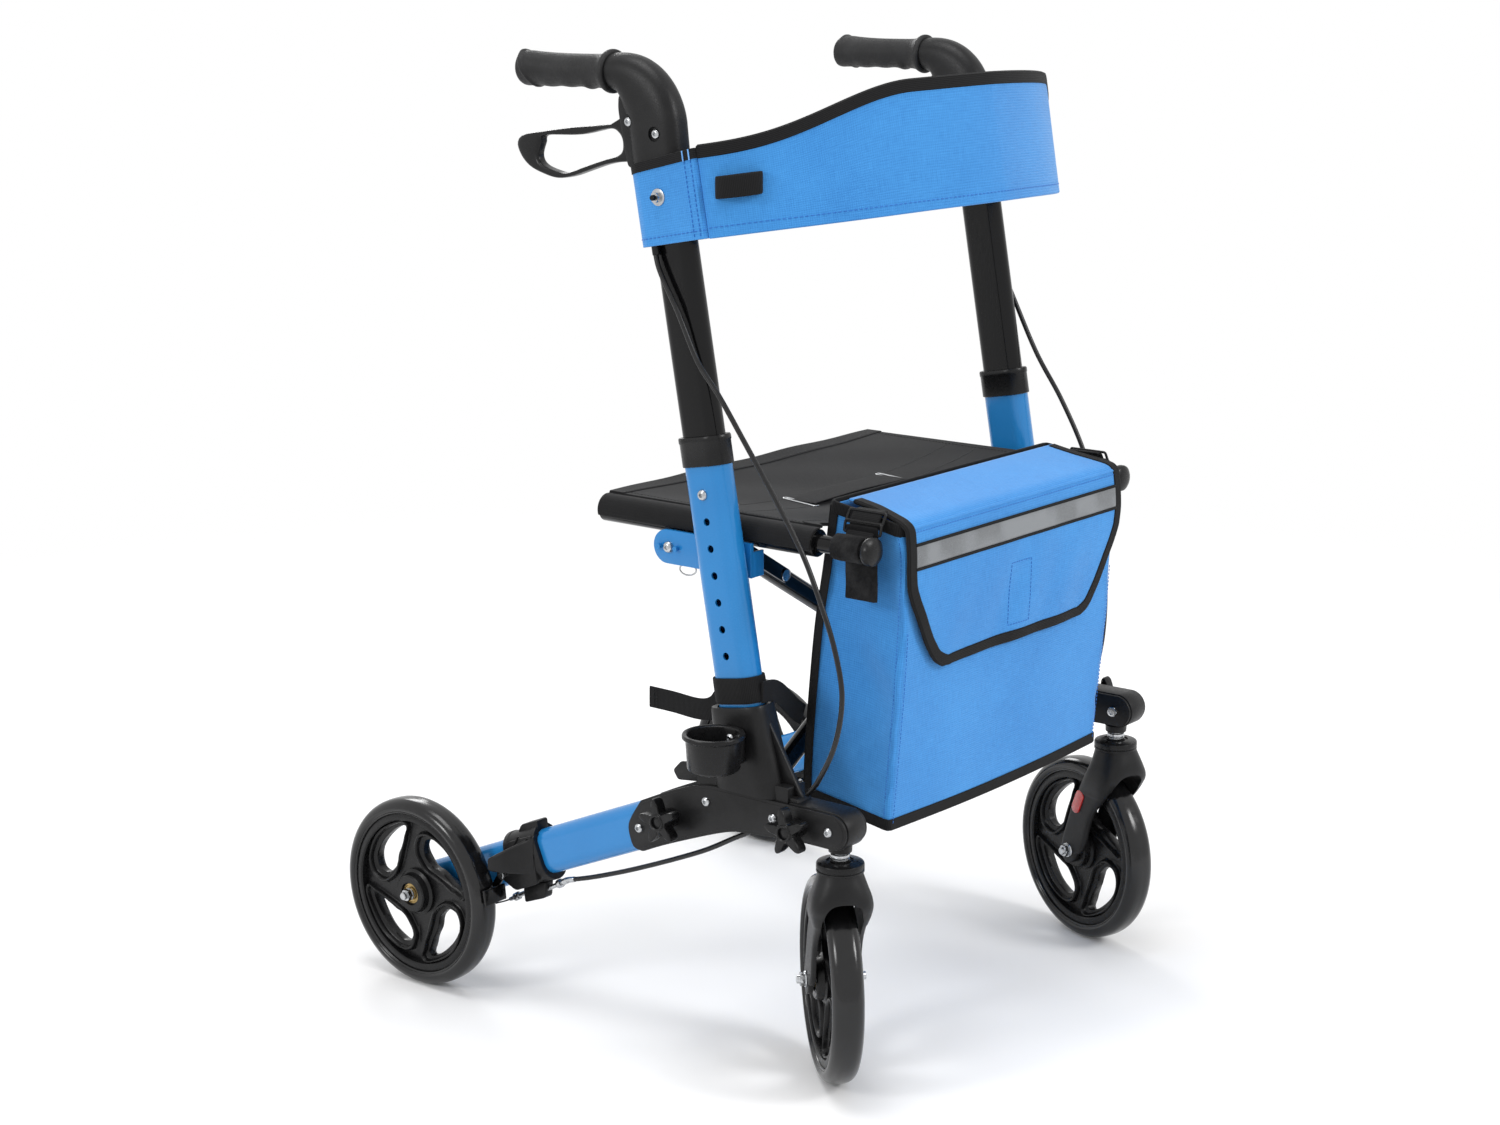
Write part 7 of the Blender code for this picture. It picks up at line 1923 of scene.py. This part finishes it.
@dataclass(frozen=True)
class Bag:
    """The blue shopping bag under the seat's front, hung by webbing from the rails' front bars. Its front and
    back profiles are (y, z) points in millimetres, from the mouth down."""

    half: float = 0.182
    depth: float = 0.09
    thick: float = 0.002
    front: tuple[float, ...] = (-95, 539.5, -100, 520, -101, 497, -98.5, 440, -94.6, 380, -88, 308, -82.5,
        249)
    back: tuple[float, ...] = (-17.5, 553.5, -8.5, 495, 2, 434.7, 10, 361.7, 14.8, 300, 16, 264)

    def ring(self, share: float, tuck: float) -> Array:
        """Points round the bag at a share of its height.

        A rounded rectangle (x, q) is carried from the front line at q = 0 to the back line at q = depth.
        The side panels are drawn in by p = 0.0085 sin(pi q/depth) sin(pi share)^0.8 and every panel
        ripples a little.

        Args:
            share: 0 at the mouth, 1 at the bottom.
            tuck: Distance inward from the outer face.

        Returns:
            (points, 3).
        """
        corners = [(-self.half + tuck, tuck), (self.half - tuck, tuck), (self.half - tuck, self.depth - tuck),
            (-self.half + tuck, self.depth - tuck)]
        line = even(filleted(corners, 0.0045, 6), 241)
        x, across = line[:, 0], line[:, 1] / self.depth
        y, z = self.wall(share, across)
        side = np.clip((np.abs(x) - self.half + 0.012) / 0.012, 0, 1)
        drawn = 0.0085 * np.sin(pi * across) * sin(pi * share) ** 0.8 * side
        fold = np.sin(z * 44 - across * 8.5 + 0.8) + 0.6 * np.sin(z * 90 - across * 5)
        crease = np.clip(1 - across / 0.75, 0, 1) * np.sin(z * 175 + across * 13)
        crease = crease * np.clip((share - 0.45) * 3, 0, 1)
        drawn = drawn + 0.0016 * fold * side * sin(pi * min(share * 1.15, 1.0)) ** 0.5
        x = x - np.sign(x) * (drawn + 0.0013 * side * crease * np.clip((1 - share) * 12, 0, 1))
        face = np.clip(1 - across / 0.15, 0, 1)
        sag = 0.0022 * np.cos(x / self.half * pi / 2) * max(0.0, share - 0.45) * 2
        ripple = 0.0022 * np.sin(x * 37 + z * 17) * np.sin(z * 21 + 1.0) * max(0.0, share - 0.42)
        y = y - face * (sag + ripple)
        z = z - 0.003 * np.cos(x / self.half * pi / 2) * share ** 4
        return spread(x, y, z)

    def wall(self, share: float | Array, across: float | Array) -> tuple[Array, Array]:
        """Y and Z at a share of the height, `across` of the way from the front profile to the back one."""
        ends = [along_run(np.linspace(0, 1, 101), share, spline(mm(*line), 101)).T
            for line in (self.front, self.back)]
        return tuple(front + (back - front) * across for front, back in zip(*ends))

    def bottom_rings(self, share: float, tuck: float, lift: float) -> list[Array]:
        """Rings that close the bottom, drawn to its middle."""
        ring = self.ring(share, tuck) + (0, 0, lift)
        middle = ring.mean(axis=0)
        middle[2] -= 0.0035
        return [middle + (ring - middle) * scale for scale in (0.985, 0.93, 0.75, 0.5, 0.25, 0.02)]

    def body(self) -> bpy.types.Object:
        """The open-topped cloth shell."""
        shares = np.linspace(0, 1, 61)
        rings = self.bottom_rings(1.0, self.thick, 0.0025)[::-1]
        rings += [self.ring(share, self.thick) for share in shares[::-1][2:]]
        rings += [self.ring(0.0, self.thick / 2) + (0, 0, 0.0006)]
        rings += [self.ring(share, 0.0) for share in shares]
        rings += self.bottom_rings(1.0, 0.0, -0.0005)
        return piece("bag_cloth", loft(rings), BLUE_CLOTH, "seat", ("bag_body",), 60.0)

    def edge_tape(self, x: float, share: Array, across: float) -> Array:
        """Points down one of the bag's upright edges."""
        return spread(x, *self.wall(share, across))

    def trims(self) -> list[bpy.types.Object]:
        """Black tape on the rear upright edges, the mouth and the bottom, and the seams' stitches."""
        share = np.linspace(0, 1, 60)
        tapes, seams = [], []
        for sign in (-1, 1):
            path = self.edge_tape(sign * (self.half + 0.0007), share, 0.955)
            tapes.append(tape(path, 0.0092, 0.0014, (sign, 0.15, 0)))
            rear = path + (-sign * 0.0045, self.depth * 0.045 + 0.0012, 0)
            tapes.append(tape(rear, 0.0092, 0.0014, (0, 1, 0)))
            seam = self.edge_tape(sign * (self.half + 0.0004), share[1:-1], 0.055)
            seams.append(stitches(seam, (sign, 0, 0), 0.004, 0.003))
            seam = self.edge_tape(sign * (self.half - 0.006), share[20:-1], 0.0) - (0, 0.0016, 0)
            seams.append(stitches(seam, (0, -1, 0), 0.004, 0.003))
        mouth = self.ring(0.006, -0.0007)
        tapes.append(sweep(mouth, superellipse(0.006, 0.0018, 5, 16),
            unit(mouth - mouth.mean(axis=0)) * (1, 1, 0) + (0, 0, 0.001)))
        lower = self.ring(0.985, -0.0006)
        tapes.append(sweep(lower, superellipse(0.0055, 0.0009, 5, 16), outward(lower)))
        black = piece("bag_tapes", merge(*tapes), BLACK_TAPE, "seat", (), 60.0)
        stitch = piece("bag_stitches", merge(*seams), BLUE_THREAD, "seat")
        return [black, stitch]

    def hangers(self) -> list[bpy.types.Object]:
        """At each side: the hook-and-loop strap round the bar, its hanging tail, the two sliders and the
        webbing that climbs to the flap's corner."""
        made = []
        for side in Side:
            x, label = side.value, side.label
            bar = axes((x * RAIL[0], 0, RAIL[1]), (1, 0, 0), (0, 0, 1), (0, -1, 0))
            loop = lathe(closed(mm(8.9, 47.5, 11.2, 47.3, 12.2, 48.2, 12.6, 56, 12.4, 66, 12.6, 77, 12, 78.8,
                11, 79.2, 8.9, 79)), 60, bar)
            path = spline(mm(206, 529, 202, 533, 199.2, 536, 198.2, 530, 198.5, 520), 20)
            bridge = tape(spread(x * path[:, 0], -0.0635, path[:, 1]), 0.03, 0.0018, (0.2 * x, 0, 1))
            rows = spline(mm(198.5, 541, 199, 525, 199.4, 500, 198.8, 485, 199.6, 472.5), 26)
            tail = spread(x * rows[:, 0:1], np.linspace(-0.0815, -0.0465, 12), rows[:, 1:2])
            rows = spline(mm(196.2, 533, 193.5, 545, 188.5, 552, 180, 553.5), 18)
            climb = spread(x * rows[:, 0:1], np.linspace(-0.079, -0.0475, 10), rows[:, 1:2])
            pile = piece(f"{label}_bag_loop", merge(loop, thickened(tail, 0.0024)), LOOP_PILE, "seat", (),
                60.0)
            strap = piece(f"{label}_bag_webbing", merge(bridge, thickened(climb, 0.0018)), BLACK_TAPE, "seat",
                (), 60.0)
            frames = []
            for inner, height, tilt in ((0.1955, 0.5395, 0.25), (0.1905, 0.5485, 0.6)):
                corners = filleted(mm(-20.5, -5.2, 20.5, -5.2, 20.5, 5.2, -20.5, 5.2), 0.002, 6)
                across_line = spread(x * (inner + 0.0012 - tilt * corners[:, 1]), -0.0635 + corners[:, 0],
                    height + corners[:, 1])
                frames.append(sweep(across_line, superellipse(0.0013, 0.0011, 3, 12), (x, 0, tilt)))
            slider = piece(f"{label}_bag_sliders", merge(*frames), SMOOTH_NYLON, "seat", (), 60.0)
            made += [pile, strap, slider]
        return made

    def build(self) -> None:
        """Make the bag, its trims and hangers."""
        cloth = self.body()
        trims = self.trims() + self.hangers()
        crumple([cloth, *trims], *SEAT_FOLD)
        wall = np.array([self.ring(share, 0.0) for share in np.linspace(0, 1, 61)])


@dataclass(frozen=True)
class Flap:
    """The bag's lid, a flat cut of cloth bent over the bag's front edge.

    Its flat cut is measured by (x, run), where run goes from the rear edge over the fold and down the front.
    The profile is (y, z) points and the widths are (z, half width) points, in millimetres."""

    profile: tuple[float, ...] = (-30, 557.5, -56, 553, -83, 547.5, -96.5, 544, -102.2, 539, -104, 530,
        -105.2, 515, -105.5, 497, -104.8, 470, -103, 440, -100.3, 399.8)
    widths: tuple[float, ...] = (570, 169, 552, 174, 544, 181.2, 500, 182, 483, 180, 468, 173.5, 452, 165,
        439, 158, 426, 150, 411, 138, 404, 129, 399.8, 118)
    thick: float = 0.0026
    tape_width: float = 0.0092

    def line(self) -> tuple[Array, Array]:
        """The smooth profile and the run along it."""
        smooth = spline(mm(*self.profile), 401)
        return smooth, travelled(smooth)

    def point(self, x: Array, run: Array, lift: float = 0.0) -> Array:
        """A point of the lid, bent from the flat cut: (x, profile(run)) plus lift along the profile's normal
        and a soft ripple of the cloth.

        Args:
            x: Across the lid.
            run: Along it from the rear edge.
            lift: Outward.

        Returns:
            The points.
        """
        smooth, length = self.line()
        x, run = np.broadcast_arrays(np.asarray(x, float), np.asarray(run, float))
        y, z = (np.interp(run, length, smooth[:, axis]) for axis in range(2))
        slope = tangents(smooth)
        ty, tz = (np.interp(run, length, slope[:, axis]) for axis in range(2))
        front = np.clip((run - 0.1) / 0.06, 0, 1)
        ripple = 0.0017 * np.sin(x * 33 + run * 12 + 0.6) * np.sin(run * 26) * front
        ripple = ripple + 0.0009 * np.sin(x * 84 + run * 36) * np.sin(x * 13 + 1.2) * front
        top = np.clip(1 - run / 0.075, 0, 1) * 0.001 * np.sin(x * 24) * np.sin(run * 55)
        out = lift + ripple + top
        return spread(x, y + tz * out, z - ty * out)

    def run_at(self, z: float | Array) -> float | Array:
        """The run at which the profile falls to a height."""
        smooth, length = self.line()
        return np.interp(-np.asarray(z), -smooth[:, 1], length)

    def half_at(self, run: Array) -> Array:
        """Half the cut's width at a run."""
        smooth, length = self.line()
        z = np.interp(run, length, smooth[:, 1])
        return np.interp(z, *mm(*self.widths)[::-1].T)

    def patch(self, low: float, high: float, side_gap: float, lift: float, rows: int = 6) -> Array:
        """A strip across the lid.

        Args:
            low: Height of its lower edge.
            high: Height of its upper edge.
            side_gap: Distance of its ends from the lid's side edges.
            lift: Distance outward from the lid's middle surface.
            rows: Rows of points between the two edges.

        Returns:
            (rows, points, 3).
        """
        run = np.linspace(float(self.run_at(high)), float(self.run_at(low)), rows)[:, None]
        half = self.half_at(run) - side_gap
        return self.point(np.linspace(-1, 1, 121)[None] * half, run, lift)

    def build(self) -> None:
        """Make the lid, its binding, stripe, seam and stitches."""
        total = self.line()[1][-1]
        run = np.linspace(0, total, 90)[:, None]
        u = np.linspace(-1, 1, 121)[None]
        bow = 0.0016 * (1 - u ** 2) * np.clip((run - total + 0.05) / 0.05, 0, 1)
        points = self.point(u * self.half_at(run), np.minimum(run + bow, total))
        cloth = piece("flap_cloth", thickened(points, self.thick), BLUE_CLOTH, "flap", ("bag_flap",), 60.0)
        down = np.linspace(0.002, total, 140)
        side = spread(self.half_at(down), down)
        foot = spread(np.linspace(side[-1, 0], -side[-1, 0], 90)[1:-1], total)
        edge = np.concatenate((side, foot, side[::-1] * (-1, 1)))
        edge = even(spline(edge[::4], 400), 420)
        tangent = tangents(edge)
        inward = spread(tangent[:, 1], -tangent[:, 0])
        inward *= np.sign((inward * ((0, total * 0.4) - edge)).sum(axis=-1, keepdims=True))
        rows = [self.point(*(edge + inward * gap).T) for gap in np.linspace(-0.0009, self.tape_width, 8)]
        trim = piece("flap_binding", thickened(np.array(rows), self.thick + 0.002), BLACK_TAPE, "flap", (),
            60.0)
        lift = self.thick / 2 + 0.0005
        stripe = piece("flap_stripe", thickened(self.patch(0.503, 0.523, 0.008, lift), 0.0009), GREY_STRIPE,
            "flap", (), 60.0)
        edges = [thickened(self.patch(z - 0.0012, z + 0.0012, 0.008, lift + 0.0003, 4), 0.0012)
            for z in (0.5242, 0.5018)]
        piping = piece("flap_stripe_edges", merge(*edges), BLACK_TAPE, "flap", (), 60.0)
        tuck_run = float(self.run_at(0.5395))
        tuck_x = np.linspace(-1, 1, 121) * (float(self.half_at(tuck_run)) - 0.008)
        fold = sweep(self.point(tuck_x, tuck_run, self.thick / 2), superellipse(0.0016, 0.0008, 2.4, 12),
            (0, -0.7, 0.7))
        tuck = piece("flap_tuck", fold, BLUE_CLOTH, "flap")
        seams = [stitches(self.point(tuck_x, tuck_run + 0.004, self.thick / 2 + 0.0002), (0, -1, 0.2))]
        box = even(filleted(mm(-13, 416, 20, 416, 20, 478, -13, 478), 0.001, 3), 160)
        seams.append(stitches(self.point(box[:, 0], self.run_at(box[:, 1]), self.thick / 2 + 0.0002),
            (0, -1, 0), 0.004, 0.003))
        stitch = piece("flap_stitches", merge(*seams), BLUE_THREAD, "flap")
        parts = (trim, stripe, piping, tuck, stitch)
        crumple([cloth, *parts], *SEAT_FOLD)


# Cane cup and hold strap

def cane_cup() -> None:
    """The open cup with a rolled rim, on its screwed pad."""
    x, y, top = -0.2985, 0.0315, 0.3506
    up = upright(x, y)
    wall = (0, top) + mm(0, -35, 21.6, -35, 23.6, -34.4, 24.8, -32.8, 26.2, -8, 26.6, -5.6, 28.6, -4.6, 29.5,
        -3.6, 29.5, -1.2, 28.8, 0, 26.2, 0, 24.6, -1.2, 24, -6, 22.8, -35, 21.6, -35.8, 0, -35.8)
    outline = filleted((0, top) + mm(-13, -34, 13, -34, 13, -1.2, -13, -1.2), 0.003)
    pad = plate(outline, 0.2683, 0.275, 0.001, facing(0, y, 0, -1))
    piece("cane_cup_moulded", merge(lathe(wall, 96, up), pad), SMOOTH_NYLON, "right_frame", ("cane_cup",),
        40.0)
    piece("cane_cup_screw", dome_screw(Side.RIGHT, 0.2748, y, top - 0.011, 0.0048, 0.0024), BRIGHT_ZINC,
        "right_frame")


def hold_strap() -> None:
    """The webbing round the right lower post, its stitched tail to the rear and the one that hangs inward."""
    here = POST.axes(Side.RIGHT, 0.381)
    line = even(stadium(0.028 + 0.0028, 0.05 + 0.0028, 20), 90)
    tangent = tangents(line)
    out = here.at(spread(tangent[:, 1], -tangent[:, 0], 0)) - here.origin
    loop = tape(here.at(flat(line)), 0.025, 0.0022, out)
    rear_path = spline(mm(-233, 44, 382.5, -232.2, 60, 380, -231.2, 72, 368, -230.5, 86, 351, -230.8, 105,
        345, -230, 140, 345.8, -231, 168.5, 346.4, per=3), 60)
    rear = tape(rear_path, 0.0215, 0.0022, (1, 0, 0))
    front_path = spline(mm(-252, 11, 382.5, -238, 11.2, 381.5, -224, 13.5, 375.5, -206, 16.5, 362, -193, 18.5,
        351.5, -180, 20, 343, per=3), 50)
    front = tape(front_path, 0.021, 0.0022, (0.15, -1, 0))
    piece("hold_strap_webbing", merge(loop, rear, front), BLACK_TAPE, "right_frame", ("hold_strap",), 60.0)
    seams = []
    for step in (0.006, 0.0098):
        bar = rear_path[-1] + spread(-0.0016, -step, np.linspace(-0.009, 0.009, 14))
        seams.append(stitches(bar, (-1, 0, 0), 0.003, 0.0024))
        seams.append(stitches(bar + (0.003, 0, 0), (1, 0, 0), 0.003, 0.0024))
    for step in (-0.003, 0.0015):
        bar = spread(-0.264, POST.y(0.381) + 0.012 + step, 0.381 + np.linspace(-0.0105, 0.0105, 14))
        seams.append(stitches(bar, (-1, 0, 0), 0.003, 0.0024))
    piece("hold_strap_stitches", merge(*seams), BLACK_THREAD, "right_frame")


# Studio

@dataclass(frozen=True)
class Studio:
    """The white sweep, the soft lamps and the camera of the photograph."""

    eye: Point = (-2.04474, -1.65281, 1.04736)
    azimuth: float = radians(-50.8)
    elevation: float = radians(13.15)
    roll: float = radians(-0.37)
    lens: float = 62.17

    def floor(self) -> None:
        """A wide pale floor, rolled at the edges so that it holds no line in view."""
        rows = np.linspace(-9, 9, 41)
        x, y = np.meshgrid(rows, rows)
        edge = np.clip((np.hypot(x, y) - 6.5) / 2.5, 0, 1)
        skin = grid(spread(x, y, -0.25 * edge ** 2))
        mesh = bpy.data.meshes.new("studio_floor")
        mesh.from_pydata(skin.points.tolist(), [], skin.faces[0].tolist())
        mesh.shade_smooth()
        material = bpy.data.materials.new("white studio vinyl, matt")
        material.use_nodes = True
        tree = material.node_tree
        shader = tree.nodes["Principled BSDF"]
        place = add(tree, "TexCoord").outputs["Object"]
        cloud = add(tree, "TexNoise", {"Vector": place, "Scale": 1.5, "Detail": 2.0})
        tint = add(tree, "Mix", {0: cloud, 6: srgb("#fbfbfb"), 7: srgb("#f7f7f8")}, data_type="RGBA")
        feed(tree, shader, {"Roughness": 0.75, "Specular IOR Level": 0.1, "Base Color": tint.outputs[2]})
        reach = add(tree, "VectorMath", {0: place}, operation="LENGTH")
        fade = add(tree, "MapRange", {0: reach.outputs["Value"], 1: 1.0, 2: 2.4, 3: 0.0, 4: 1.0},
            interpolation_type="SMOOTHSTEP")
        mix = add(tree, "MixShader", {0: fade, 1: shader, 2: add(tree, "BsdfTransparent")})
        feed(tree, tree.nodes["Material Output"], {"Surface": mix})
        mesh.materials.append(material)
        sweep_floor = bpy.data.objects.new("studio_floor", mesh)
        bpy.context.scene.collection.objects.link(sweep_floor)

    def world(self) -> None:
        """White for the camera and reflections, dimmer as a lamp."""
        world = bpy.data.worlds.new("white studio")
        bpy.context.scene.world = world
        world.use_nodes = True
        tree = world.node_tree
        rays = add(tree, "LightPath").outputs
        seen = add(tree, "Math", {0: rays["Is Camera Ray"], 1: rays["Is Glossy Ray"]}, operation="MAXIMUM")
        both = add(tree, "Math", {0: seen, 1: rays["Is Transmission Ray"]}, operation="MAXIMUM")
        level = add(tree, "MapRange", {0: both, 1: 0.0, 2: 1.0, 3: 0.74, 4: 1.0})
        feed(tree, tree.nodes["Background"], {"Strength": level, "Color": (1, 1, 1, 1)})

    def lamp(self, name: str, place: Point, aim: Point, size: float, watts: float) -> None:
        """A square soft box that faces a point.

        Args:
            name: The lamp's name.
            place: Its centre.
            aim: The point that it faces.
            size: Its edge.
            watts: Its power.
        """
        light = bpy.data.lights.new(name, "AREA")
        light.shape, light.size, light.energy = "SQUARE", size, watts
        lamp = bpy.data.objects.new(name, light)
        lamp.location = place
        lamp.rotation_euler = (Vector(aim) - Vector(place)).to_track_quat("-Z", "Y").to_euler()
        bpy.context.scene.collection.objects.link(lamp)

    def camera(self) -> None:
        """The photograph's camera: back axis from azimuth and elevation, then rolled."""
        level = cos(self.elevation)
        back = np.array((sin(self.azimuth) * level, -cos(self.azimuth) * level, sin(self.elevation)))
        right = unit(np.cross(-back, (0, 0, 1)))
        up = np.cross(right, -back)
        turned = right * cos(self.roll) + up * sin(self.roll)
        over = np.cross(turned, -back)
        data = bpy.data.cameras.new("camera")
        data.lens, data.sensor_width = self.lens, 36.0
        camera = bpy.data.objects.new("camera", data)
        camera.matrix_world = Matrix((turned, over, back)).transposed().to_4x4()
        camera.matrix_world.translation = self.eye
        bpy.context.scene.collection.objects.link(camera)
        bpy.context.scene.camera = camera

    def build(self) -> None:
        """Set up the floor, the world, the lamps and the camera."""
        self.floor()
        self.world()
        self.lamp("key", (0.8, -3.4, 2.6), (0, 0, 0.5), 1.1, 56)
        self.lamp("side", (-3.2, 0.9, 2.0), (0, 0, 0.5), 0.8, 30)
        self.lamp("top", (-0.6, 0.2, 3.6), (0, 0, 0.4), 1.6, 42)
        self.lamp("rim", (1.8, 2.8, 2.2), (0, 0, 0.6), 1.0, 26)
        self.camera()
        bpy.context.scene.view_settings.view_transform = "Standard"


RIGHT_CABLE = mm(262.8, 126.2, 793.6, 265.5, 118.8, 770, 266, 96.1, 731.5, 266, 72.8, 687.8, 266, 47.6, 658.3,
    266, 20, 621.5, 266, -3.8, 589.2, 266, -22.2, 563.6, 266, -48, 524.5, 266, -66.3, 487, 265.5, -83, 444,
    264, -90.9, 398.9, 260, -80, 351.3, 254, -56, 310, 250, -40, 293.5, per=3)
LEFT_CABLE = mm(262.8, 126.2, 793.6, 265.5, 118.8, 770, 266, 102, 731.5, 266, 81.2, 691.2, 266, 50.9, 634.7,
    266, 18.9, 588.2, 266, -8.9, 538.5, 262, -29, 490, 259, -40, 440, 257, -47, 390, 254, -47, 340, 250, -40,
    293.5, per=3)


def main() -> None:
    """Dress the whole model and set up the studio."""
    logging.basicConfig(level=logging.INFO, format="%(message)s")
    for side, route in ((Side.RIGHT, RIGHT_CABLE), (Side.LEFT, LEFT_CABLE)):
        SideFrame(side).build()
        Caster(side).build()
        Handle(side).build(route)
    for side in (Side.RIGHT, Side.LEFT):
        Brace(side).build()
    centre_bolt()
    SeatSling().build()
    Backrest().build()
    Bag().build()
    Flap().build()
    cane_cup()
    hold_strap()
    Studio().build()


if __name__ == "__main__":
    main()
